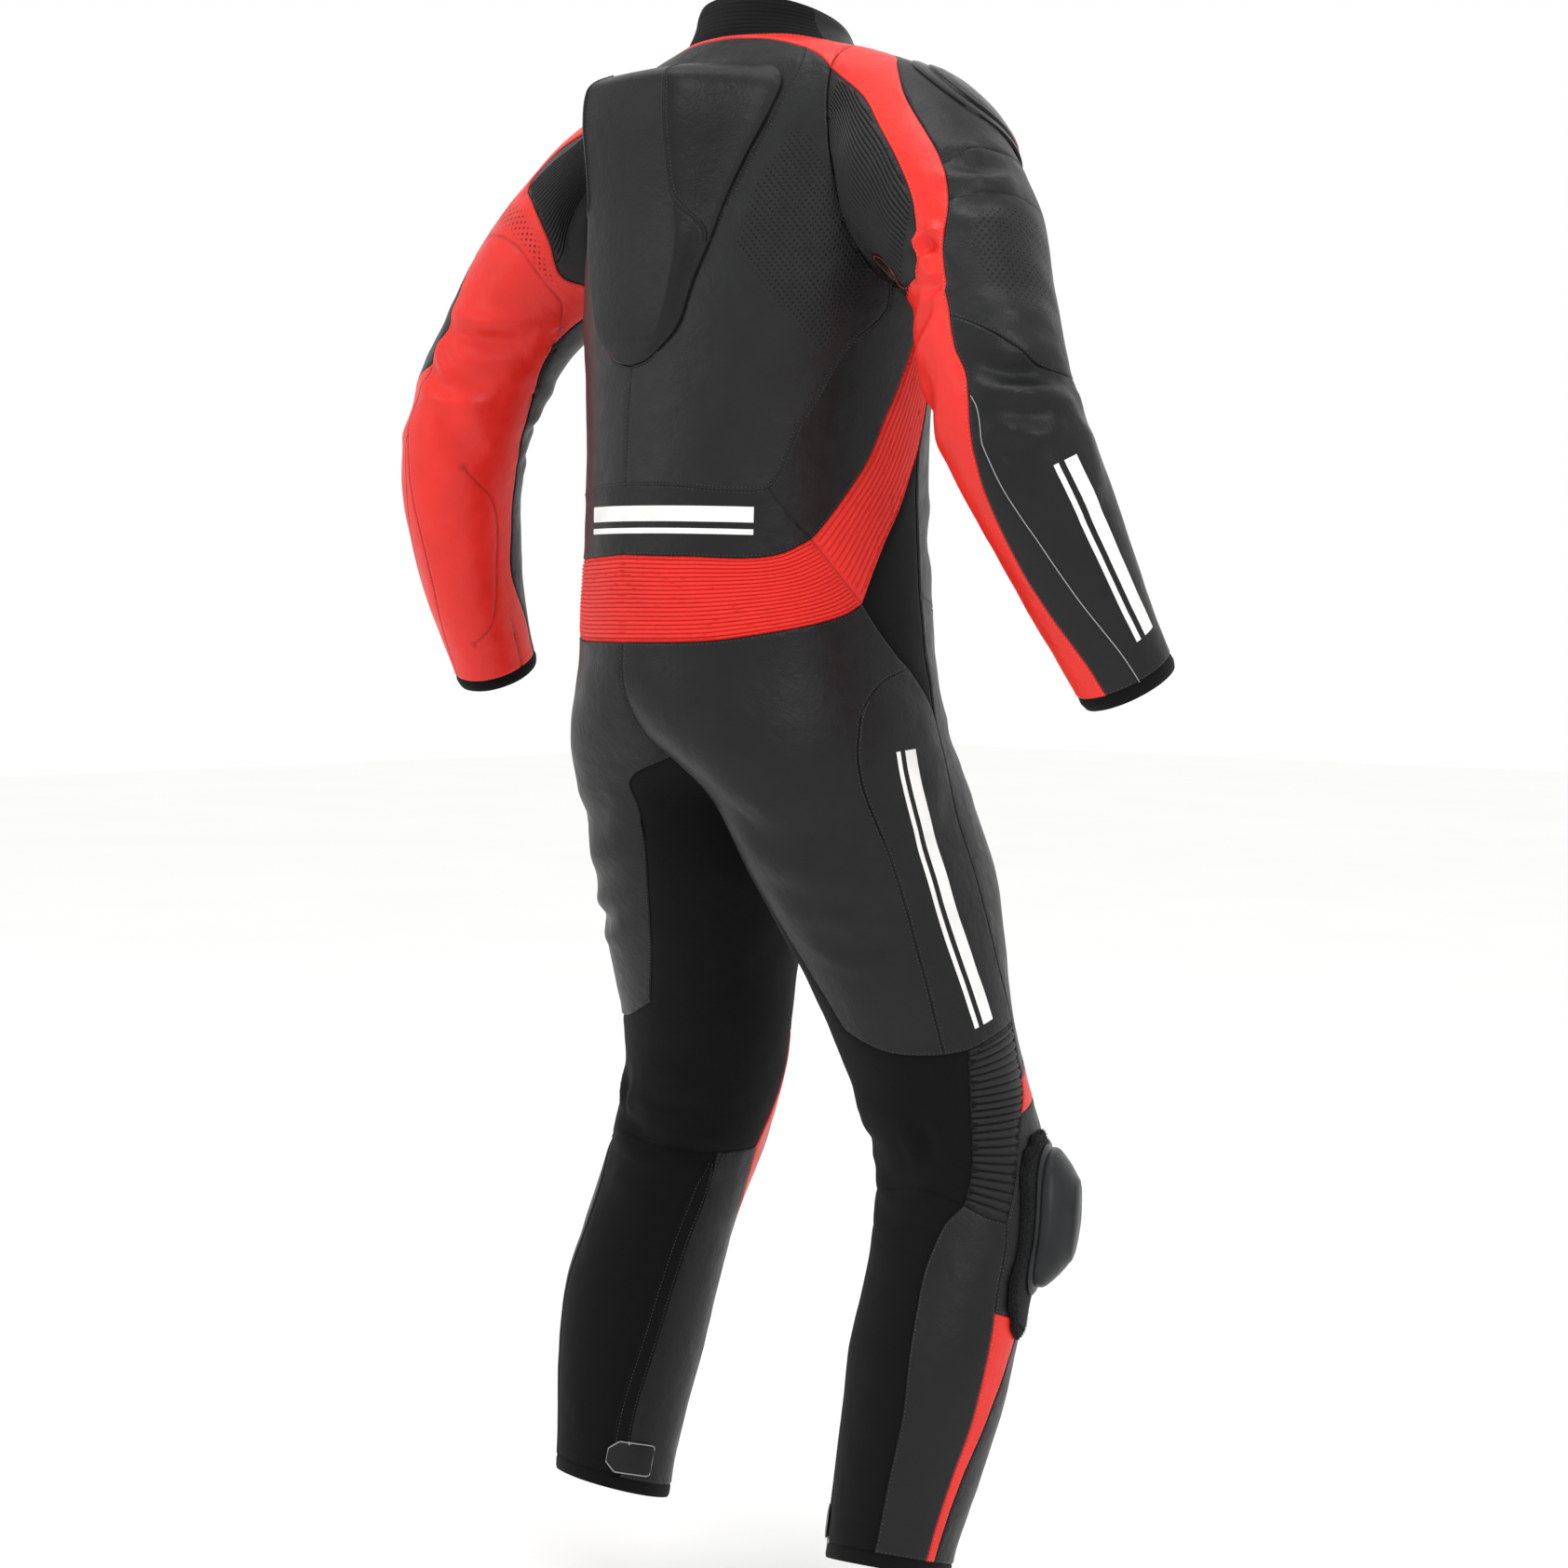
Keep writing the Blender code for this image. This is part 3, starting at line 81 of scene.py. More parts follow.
# The left leg: height, middle to the side, middle to the back, half width, depth behind and in front
LEG = np.array([
    (118, 190, 43, 54, 56, 56), (150, 193, 36, 57, 58, 58), (200, 197, 23, 63, 66, 64),
    (253, 200, 8, 70, 73, 70), (307, 200, -6, 74, 77, 75), (360, 198, -24, 74, 76, 75),
    (412, 194, -45, 76, 76, 78), (467, 182, -57, 78, 76, 81), (519, 166, -58, 80, 80, 82),
    (572, 152, -47, 84, 83, 86), (624, 142, -34, 88, 91, 98), (676, 128, -22, 92, 104, 120),
    (728, 113, -10, 96, 117, 138), (795, 96, 6, 96, 132, 142), (850, 76, 16, 110, 155, 146),
    (900, 60, 20, 119, 163, 148), (960, 40, 22, 125, 160, 150),
]) / 1000
# The left sleeve: way along the arm, middle x, y and height, radius across and from front to back
ARM = np.array([
    (0, 200, 20, 1372, 94, 100), (60, 246, 32, 1346, 84, 90), (125, 294, 50, 1296, 70, 74),
    (200, 334, 70, 1232, 62, 64), (280, 367, 84, 1155, 62, 63), (335, 387, 77, 1102, 60, 62),
    (395, 404, 58, 1046, 55, 57), (450, 417, 38, 994, 50, 51), (510, 427, 13, 942, 45, 45),
    (548, 433, -5, 908, 42, 43),
]) / 1000
# The hump: place on the trunk's chart, half width of its crown, half width of its foot, rise
HUMP = np.array([
    (1195, 26, 36, 5), (1225, 42, 54, 11), (1270, 55, 67, 17), (1305, 61, 78, 23), (1340, 58, 86, 32),
    (1380, 56, 97, 48), (1420, 56, 108, 66), (1455, 55, 112, 77), (1482, 53, 113, 79),
]) / 1000


class Chart(Enum):
    """The three tubes that the suit's form is drawn on."""

    TRUNK = "trunk"
    LEG = "leg"
    ARM = "arm"


class Side(Enum):
    """The wearer's side, as the sign of x."""

    LEFT = 1
    RIGHT = -1


class Cut(Enum):
    """Whether a panel is cut once across the centre line or once for each side."""

    ACROSS = "across"
    PAIR = "pair"


def smooth(table: Array, column: int, at: Array | float) -> Array:
    """Read a smooth curve through one column of a table.

    Args:
        table: Rows whose first column is the place along the curve.
        column: The column to read.
        at: Places to read it at.

    Returns:
        The curve's values.
    """
    x, y = table[:, 0], table[:, column]
    step = np.diff(x)
    slope = np.diff(y) / step
    rate = np.concatenate([slope[:1], (slope[:-1] + slope[1:]) / 2, slope[-1:]])
    at = np.clip(np.asarray(at, float), x[0], x[-1])
    i = np.clip(np.searchsorted(x, at) - 1, 0, len(step) - 1)
    t = (at - x[i]) / step[i]
    return ((1 + 2 * t) * (1 - t) ** 2 * y[i] + t * (1 - t) ** 2 * step[i] * rate[i]
            + t * t * (3 - 2 * t) * y[i + 1] + t * t * (t - 1) * step[i] * rate[i + 1])


def ease(t: Array | float) -> Array:
    """Rise smoothly from 0 at t = 0 to 1 at t = 1."""
    t = np.clip(t, 0, 1)
    return t * t * (3 - 2 * t)


def lengths(line: Array) -> Array:
    """The length along a line at each of its points."""
    return np.concatenate([[0], np.cumsum(np.linalg.norm(np.diff(line, axis=0), axis=1))])


def along(line: Array, place: Array | float) -> Array:
    """Points at given lengths along a line."""
    way = lengths(line)
    return np.stack([np.interp(place, way, line[:, k]) for k in range(line.shape[1])], -1)


def drawn(points: Points | Array, span_points: int = 30) -> Array:
    """Draw a smooth line through a few points of a chart.

    Args:
        points: The points that it passes through.
        span_points: How many points to lay between each two of them.

    Returns:
        The line's points.
    """
    p = np.array(points, float)
    if len(p) == 2:
        return p
    way = lengths(p)
    at = np.concatenate([np.linspace(a, b, span_points, endpoint=False) for a, b in zip(way, way[1:])] + [way[-1:]])
    return np.stack([smooth(np.stack([way, p[:, k]], -1), 1, at) for k in (0, 1)], -1)


def filled(stops: Sequence[float], spacing: float) -> Array:
    """Places from the first stop to the last, through every stop, about one spacing apart."""
    stops = sorted(stops)
    made = [stops[0]]
    for a, b in zip(stops, stops[1:]):
        made.extend(np.linspace(a, b, max(1, round((b - a) / spacing)) + 1)[1:])
    return np.array(made)


@dataclass(frozen=True)
class SuitForm:
    """The suit's smooth form: a trunk, a leg and a sleeve, each a tube through sections. Lengths in metres."""

    origin_height: float = 1.500
    waist: float = 0.930
    crotch: float = 0.795
    hem: float = 0.118
    hem_band: float = 0.012
    neckline: float = 1.560
    collar_top: float = 1.610
    sleeve_end: float = 0.548
    cuff_band: float = 0.012
    cap_length: float = 0.150
    zip_half: float = 0.011
    zip_end: float = 0.850
    neck_tilt: float = 0.18
    collar_front_drop: float = 0.55
    hem_tilt_back: float = 0.30
    hem_tilt_out: float = 0.07
    shin: float = 0.40
    armhole_top: float = 1.445
    armhole_x: float = 0.150
    armhole_lean: float = 0.20

    def trunk_at(self, angle: Array | float, v: Array | float) -> Array:
        """The trunk's surface.

        Args:
            angle: 0 at the centre back to pi at the centre front.
            v: Place up the chart.

        Returns:
            Points on the surface.
        """
        angle, v = np.broadcast_arrays(np.asarray(angle, float), np.asarray(v, float))
        height, half, middle, back, front = (smooth(TRUNK, k, v) for k in range(1, 6))
        c = np.cos(angle)
        y = middle + np.where(c > 0, back, front) * c
        drop = self.collar_front_drop * (1 - c) / 2
        base = smooth(TRUNK, 1, self.neckline)
        height = np.where(v > self.neckline, base + (height - base) * (1 - drop), height)
        return np.stack([half * np.sin(angle), y, height + self.neck_tilt * y * ease((v - 1.44) / 0.12)], -1)

    def inseam_share(self, z: Array | float) -> Array:
        """The share of a leg's turn, at each side of its inseam, that the centre plane cuts off."""
        ratio = np.where(z > self.crotch, np.clip(smooth(LEG, 1, z) / smooth(LEG, 3, z), -1, 1), 1)
        return np.arccos(ratio) / (2 * math.pi)

    def leg_at(self, u: Array | float, z: Array | float) -> Array:
        """The left leg's surface.

        Args:
            u: 0 at the inseam, 0.25 behind, 0.5 outside and 0.75 in front.
            z: Height.

        Returns:
            Points on the surface.
        """
        u, z = np.broadcast_arrays(np.asarray(u, float), np.asarray(z, float))
        x, y, half, back, front = (smooth(LEG, k, z) for k in range(1, 6))
        sine = np.sin(2 * math.pi * u)
        tube = np.stack([x - half * np.cos(2 * math.pi * u), y + np.where(sine > 0, back, front) * sine, z], -1)
        cut = self.inseam_share(z)
        hip = self.trunk_at(math.pi * np.clip((u - cut) / (1 - 2 * cut), 0, 1), z)
        share = ease((self.waist - z) / (self.waist - self.crotch))[..., None]
        made = (1 - share) * hip + share * tube
        tilt = ease((self.shin - z) / (self.shin - self.hem))
        made[..., 2] = z + tilt * (self.hem_tilt_back * (made[..., 1] - y) + self.hem_tilt_out * (made[..., 0] - x))
        return made

    @cached_property
    def armhole_rows(self) -> tuple[Array, Array, Array]:
        """The armhole seam, where a leaning plane cuts the trunk: its turn, and its place on the chart."""
        v = np.linspace(1.10, 1.555, 1200)
        plane = self.armhole_x + self.armhole_lean * (self.armhole_top - smooth(TRUNK, 1, v))
        within = smooth(TRUNK, 2, v) > plane
        low, high = v[within].min(), v[within].max()
        v = low + (high - low) * (1 - np.cos(np.linspace(0, math.pi, 240))) / 2
        plane = self.armhole_x + self.armhole_lean * (self.armhole_top - smooth(TRUNK, 1, v))
        sine = np.clip(plane / smooth(TRUNK, 2, v), 0, 1)
        sine[[0, -1]] = 1
        behind = np.arcsin(sine)
        angle = np.concatenate([behind[::-1], math.pi - behind[1:-1]])
        v = np.concatenate([v[::-1], v[1:-1]])
        p = self.trunk_at(angle, v)
        middle = (p.max(0) + p.min(0)) / 2
        turn = np.arctan2(p[:, 1] - middle[1], p[:, 2] - middle[2])
        order = np.argsort(turn)
        return turn[order], angle[order], v[order]

    def armhole_chart(self, u: Array | float) -> Array:
        """The armhole on the trunk's chart. The turn u is 0 on top, 0.25 behind and 0.5 below."""
        turn, angle, v = self.armhole_rows
        at = (2 * math.pi * np.asarray(u, float) + math.pi) % (2 * math.pi) - math.pi
        whole = 2 * math.pi
        return np.stack([np.interp(at, turn, angle, period=whole), np.interp(at, turn, v, period=whole)], -1)

    def arm_ring(self, u: Array, s: Array) -> Array:
        """The sleeve's own round section: a ring across the arm's bent axis."""
        middle = np.stack([smooth(ARM, k, s) for k in (1, 2, 3)], -1)
        reach = 0.004
        way = np.stack([smooth(ARM, k, s + reach) - smooth(ARM, k, s - reach) for k in (1, 2, 3)], -1)
        way /= np.linalg.norm(way, axis=-1, keepdims=True)
        out = np.array([1.0, 0, 0]) - way[..., :1] * way
        out /= np.linalg.norm(out, axis=-1, keepdims=True)
        back = np.cross(out, way)
        turn = 2 * math.pi * u
        across, deep = smooth(ARM, 4, s) * np.cos(turn), smooth(ARM, 5, s) * np.sin(turn)
        return middle + across[..., None] * out + deep[..., None] * back

    def sleeve_at(self, u: Array | float, s: Array | float) -> Array:
        """The left sleeve's surface: the armhole seam drawn out into the arm's round sections.

        Args:
            u: Turn round the arm, 0 on top, 0.25 behind.
            s: Way along the arm.

        Returns:
            Points on the surface.
        """
        u, s = np.broadcast_arrays(np.asarray(u, float), np.asarray(s, float))
        share = (1 - np.clip(s / self.cap_length, 0, 1))[..., None] ** 2
        chart = self.armhole_chart(u)
        return share * self.trunk_at(chart[..., 0], chart[..., 1]) + (1 - share) * self.arm_ring(u, s)

    def surface(self, chart: Chart) -> Callable[[Array, Array], Array]:
        """The function of one chart's surface."""
        return {Chart.TRUNK: self.trunk_at, Chart.LEG: self.leg_at, Chart.ARM: self.sleeve_at}[chart]

    def metres(self, chart: Chart, points: Points | Array) -> Array:
        """Bring points of a chart's table, the trunk's in degrees, to metres across and up."""
        across = {Chart.TRUNK: math.radians(1) * TRUNK_RADIUS, Chart.LEG: LEG_ROUND, Chart.ARM: ARM_ROUND}[chart]
        return np.array(points, float) * (across, 1)

    def at(self, chart: Chart, metres: Array) -> Array:
        """Points of the surface, from metres across and up the chart."""
        across = {Chart.TRUNK: TRUNK_RADIUS, Chart.LEG: LEG_ROUND, Chart.ARM: ARM_ROUND}[chart]
        return self.surface(chart)(metres[..., 0] / across, metres[..., 1])

    def with_normals(self, chart: Chart, metres: Array) -> tuple[Array, Array]:
        """Points on a chart's surface and the directions out of it."""
        reach = 0.001
        across = self.at(chart, metres + (reach, 0)) - self.at(chart, metres - (reach, 0))
        up = self.at(chart, metres + (0, reach)) - self.at(chart, metres - (0, reach))
        out = np.cross(up, across)
        return self.at(chart, metres), out / np.maximum(np.linalg.norm(out, axis=-1, keepdims=True), 1e-12)


# Metres that one radian or one turn takes on each chart
TRUNK_RADIUS = 0.175
LEG_ROUND = 0.540
ARM_ROUND = 0.400

FORM = SuitForm()

# Places on the shared edges of the charts where seams meet them: turn round the armhole, share of the way
# round the waist, height on the inseam, way along the sleeve
YOKE_BACK = 0.10
YOKE_FRONT = 0.00
BAND_END = 0.464
BLADE_END = 0.487
WING_BACK = -0.46
WING_FRONT = -0.42
SLEEVE_FRONT = -0.25
HIP_STATION = 0.528
SIDE_STATION = 0.630
ZIP_STATION = 1 - math.asin(FORM.zip_half / float(smooth(TRUNK, 2, FORM.waist))) / math.pi
KNEE_STATION = 0.440
HEM_STATION = FORM.hem + FORM.hem_band
CUFF_STATION = FORM.sleeve_end - FORM.cuff_band
CROTCH_SEAM = 0.838


def hole(u: float) -> tuple[float, float]:
    """A place on the armhole, on the trunk's chart in degrees."""
    angle, v = FORM.armhole_chart(u)
    return math.degrees(angle), float(v)


def zip_row(v: float) -> tuple[float, float]:
    """A place on the edge of the front zip's tape."""
    return 180 - math.degrees(math.asin(FORM.zip_half / float(smooth(TRUNK, 2, v)))), v


def waist(t: float) -> tuple[float, float]:
    """A place on the waist line, on the leg's chart."""
    cut = float(FORM.inseam_share(FORM.waist))
    return cut + t * (1 - 2 * cut), FORM.waist


def crotch_cut(z: float) -> float:
    """Where the centre plane cuts the leg's chart at a height."""
    return float(FORM.inseam_share(z))


@dataclass(frozen=True)
class Seam:
    """One seam of the cut, as a few points on a chart; it parts panels, or only marks the one that it names."""

    name: str
    chart: Chart
    points: Points
    marks: str = ""
    side: Side | None = None


T, L, A = Chart.TRUNK, Chart.LEG, Chart.ARM
SEAMS = [
    Seam("neckline", T, [(0, FORM.neckline), (90, FORM.neckline), (180, FORM.neckline)]),
    Seam("zip_edge", T, [zip_row(v) for v in (FORM.collar_top, FORM.neckline, 1.50, 1.44, 1.34, 1.20, 1.06,
                                              FORM.waist)]),
    Seam("yoke_back", T, [(0, 1.549), (13, 1.549), (30, 1.537), (43, 1.507), hole(YOKE_BACK)]),
    Seam("yoke_front", T, [hole(YOKE_FRONT), (100, 1.544), (118, FORM.neckline)]),
    Seam("band_top", T, [hole(BAND_END), (84.5, 1.242), (72.5, 1.207), (65.5, 1.167), (60, 1.137),
                         (56, 1.104), (51.5, 1.083), (42.5, 1.080), (20, 1.085), (0, 1.087)]),
    Seam("diagonal", T, [(41.5, 1.510), (39, 1.482), (34.5, 1.425), (30, 1.375), (24, 1.322), (16.5, 1.270),
                         (13, 1.225), (8.5, 1.200), (0, 1.192)]),
    Seam("lumbar_bottom", T, [(0, 0.943), (32, 0.945), (50, 0.952), (68, 0.962), (77, 0.970), (82, 0.978)]),
    Seam("wing_front", T, [(82, 0.978), (91.5, 1.025), (103, 1.070), (114.5, 1.122), (119, 1.157),
                           (120, 1.190), (116, 1.240), hole(WING_FRONT)]),
    Seam("lumbar_top", T, [(0, 1.023), (24, 1.021), (54, 1.022), (65.5, 1.036)]),
    Seam("wing_back", T, [(65.5, 1.036), (70, 1.050), (78, 1.078), (86.5, 1.112), (92, 1.147), (97.5, 1.180),
                          (101, 1.215), (101.5, 1.245), hole(WING_BACK)]),
    Seam("mitre", T, [(65.5, 1.036), (82, 0.978)]),
    Seam("hip_edge", T, [(82, 0.978), (88, 0.953), (180 * HIP_STATION, FORM.waist)]),
    Seam("side_front", T, [(114.5, 1.122), (114, 1.05), (113.5, 0.975), (180 * SIDE_STATION, FORM.waist)]),
    Seam("belly", T, [(113.6, 0.985), (140, 0.972), (176.2, 0.968)]),
    Seam("hem_band", L, [(0, HEM_STATION), (0.5, HEM_STATION), (1, HEM_STATION)]),
    Seam("hip_edge", L, [waist(HIP_STATION), (0.545, 0.912), (0.572, 0.885), (0.577, 0.850), (0.566, 0.800),
                         (0.560, 0.700), (0.572, 0.640), (0.589, 0.598)]),
    Seam("side_front", L, [waist(SIDE_STATION), (0.586, 0.905), (0.579, 0.868)]),
    Seam("zip_edge", L, [waist(ZIP_STATION), (1 - crotch_cut(0.90) - 0.017, 0.90),
                         (1 - crotch_cut(0.87) - 0.015, 0.87), (1 - crotch_cut(FORM.zip_end), FORM.zip_end)]),
    Seam("above_knee", L, [(0.225, 0.592), (0.298, 0.576), (0.361, 0.573), (0.451, 0.578), (0.520, 0.589),
                           (0.589, 0.598)]),
    Seam("strip_back", L, [(0.533, 0.920), (0.486, 0.908), (0.456, 0.886), (0.445, 0.861), (0.436, 0.818),
                           (0.436, 0.751), (0.420, 0.660), (0.409, 0.611), (0.404, 0.575)]),
    Seam("inner_back", L, [(crotch_cut(CROTCH_SEAM), CROTCH_SEAM), (0.185, 0.812), (0.180, 0.783),
                           (0.188, 0.713), (0.203, 0.640), (0.225, 0.592)]),
    Seam("ribs_back", L, [(0.451, 0.578), (0.421, 0.526), (0.393, 0.466), (0.378, 0.443)]),
    Seam("ribs_front", L, [(0.589, 0.598), (0.580, 0.568), (0.567, 0.541), (0.516, 0.505), (0.490, 0.465),
                           (0.464, 0.426)]),
    Seam("ribs_end", L, [(0.378, 0.443), (0.420, 0.433), (0.464, 0.426)]),
    Seam("knee_back", L, [(0.378, 0.443), (0.300, 0.455), (0.201, 0.448), (0.088, 0.441), (0, KNEE_STATION)]),
    Seam("knee_inner", L, [(1, KNEE_STATION), (0.940, 0.440)]),
    Seam("inner_front", L, [(1 - crotch_cut(CROTCH_SEAM), CROTCH_SEAM), (0.840, 0.800), (0.850, 0.720),
                            (0.850, 0.640), (0.868, 0.560), (0.900, 0.500), (0.940, 0.440)]),
    Seam("knee_top", L, [(0.572, 0.545), (0.650, 0.557), (0.750, 0.562), (0.830, 0.558), (0.870, 0.552)]),
    Seam("calf_front", L, [(0.464, 0.426), (0.474, 0.376), (0.484, 0.330), (0.482, 0.250), (0.476, 0.170),
                           (0.476, HEM_STATION)]),
    Seam("cup_end", L, [(0.940, 0.440), (0.925, 0.408), (0.885, 0.370), (0.820, 0.337), (0.700, 0.325),
                        (0.600, 0.335), (0.482, 0.349)]),
    Seam("cup_top", L, [(0.533, 0.515), (0.640, 0.527), (0.750, 0.532), (0.820, 0.512), (0.862, 0.460),
                        (0.875, 0.410), (0.872, 0.364)]),
    Seam("calf_back", L, [(0.378, 0.443), (0.343, 0.426), (0.320, 0.393), (0.323, 0.353), (0.336, 0.263),
                          (0.338, 0.180), (0.338, HEM_STATION)]),
    Seam("shin_edge", L, [(0.578, 0.339), (0.555, 0.305), (0.528, 0.261), (0.506, 0.196), (0.502, HEM_STATION)]),
    Seam("ankle_zip", L, [(0.048, 0.4405), (0.053, 0.368), (0.063, 0.278), (0.088, 0.171), (0.092, HEM_STATION)]),
    Seam("cuff_band", A, [(-0.5, CUFF_STATION), (0, CUFF_STATION), (0.5, CUFF_STATION)]),
    Seam("strip_inner", A, [(YOKE_BACK, 0), (0.149, 0.035), (0.193, 0.065), (0.221, 0.100), (0.239, 0.128),
                            (0.262, 0.150), (0.298, 0.185)], side=Side.RIGHT),
    Seam("blade_end", A, [(0.298, 0.185), (0.345, 0.180), (0.400, 0.150), (0.450, 0.080), (BLADE_END, 0)],
         side=Side.RIGHT),
    # The left sleeve is worn turned forward, so its ribbed stretch ends nearer the armhole
    Seam("strip_inner", A, [(YOKE_BACK, 0), (0.125, 0.035), (0.155, 0.075), (0.200, 0.078)], side=Side.LEFT),
    Seam("blade_end", A, [(0.200, 0.078), (0.247, 0.074), (0.346, 0.074), (0.418, 0.087), (0.466, 0.060),
                          (BLADE_END, 0)], side=Side.LEFT),
    Seam("strip_outer", A, [(YOKE_FRONT, 0), (0.021, 0.022), (0.077, 0.045), (0.119, 0.065), (0.139, 0.090),
                            (0.150, 0.115), (0.175, 0.143), (0.205, 0.175), (0.221, 0.215), (0.219, 0.255),
                            (0.200, 0.280), (0.223, 0.310), (0.245, 0.350), (0.256, 0.427), (0.213, 0.503),
                            (0.200, CUFF_STATION)]),
    Seam("sleeve_join", A, [(SLEEVE_FRONT, 0), (-0.240, 0.100), (-0.220, 0.270), (-0.200, 0.400),
                            (-0.200, CUFF_STATION)]),
    Seam("inner_join", A, [(WING_BACK, 0), (-0.475, 0.100), (-0.475, 0.190), (-0.450, 0.225), (-0.440, 0.280),
                           (-0.458, 0.378), (-0.468, 0.427), (-0.410, 0.495), (-0.406, CUFF_STATION)]),
    Seam("cap_end", A, [(0.149, 0.113), (0.060, 0.108), (-0.035, 0.104), (-0.150, 0.092), (-0.240, 0.085)]),
    Seam("elbow", A, [(0.220, 0.232), (0.159, 0.247), (0.091, 0.265), (0.043, 0.278), (-0.080, 0.288),
                      (-0.218, 0.285)]),
    # Lines sewn on a panel that part nothing
    Seam("sleeve_tuck", A, [(0.172, 0.140), (0.090, 0.139), (0.003, 0.138), (-0.110, 0.134)], "upper_sleeve"),
    Seam("forearm_edge", A, [(0.197, 0.290), (0.191, 0.297), (0.203, 0.325), (0.187, 0.375), (0.157, 0.435),
                             (0.093, 0.520), (0.085, CUFF_STATION)], "forearm"),
    Seam("under_dart", A, [(0.190, 0.118), (0.250, 0.107), (0.320, 0.100), (0.400, 0.104), (0.462, 0.112),
                           (0.497, 0.122)], "sleeve_under", Side.LEFT),
    Seam("elbow_edge", A, [(0.395, 0.300), (0.424, 0.310), (0.472, 0.333), (0.478, 0.400), (0.424, 0.475),
                           (0.346, 0.492)], "sleeve_under", Side.LEFT),
    Seam("band_dart", T, [(51.5, 1.078), (58.0, 1.058), (65.0, 1.038)], "back_band"),
]


@dataclass(frozen=True)
class Ribs:
    """The accordion ribs of one stretch panel, between two borders."""

    panel: str
    chart: Chart
    first: str
    second: str
    lengthwise: bool
    count: int
    start: float
    end: float
    rise: float
    spacing: float


RIBS = [
    Ribs("lumbar", T, "lumbar_bottom", "lumbar_top", True, 20, 0.0, 0.985, 1.2 * MM, 0.0075),
    Ribs("wing", T, "wing_front", "wing_back", True, 12, 0.015, 0.975, 1.2 * MM, 0.0075),
    Ribs("knee_ribs", L, "ribs_back", "ribs_front", False, 22, 0.03, 0.97, 1.7 * MM, 0.006),
    Ribs("blade", A, "blade_low", "blade_high", True, 22, 0.0, 1.0, 1.4 * MM, 0.0060),
]
# Lines that the sleeve's ribs run between; they reach past the panel, whose seams cut the ribs off
RIB_BORDERS = {
    "blade_low": [(0.217, -0.005), (0.381, 0.063), (0.410, 0.112), (0.430, 0.147), (0.384, 0.181)],
    "blade_high": [(0.100, 0.015), (0.155, 0.040), (0.180, 0.065), (0.200, 0.090), (0.215, 0.115)],
}
RIB_STEPS = 4               # lines laid for one rib


@dataclass(frozen=True)
class Crease:
    """A soft trough or ridge pressed in; each is a line on a chart."""

    chart: Chart
    points: Points
    height: float           # metres; negative for a trough
    width: float            # half width
    lip: float = 0.0        # share of the height that the cloth piles up beside it
    side: Side | None = None


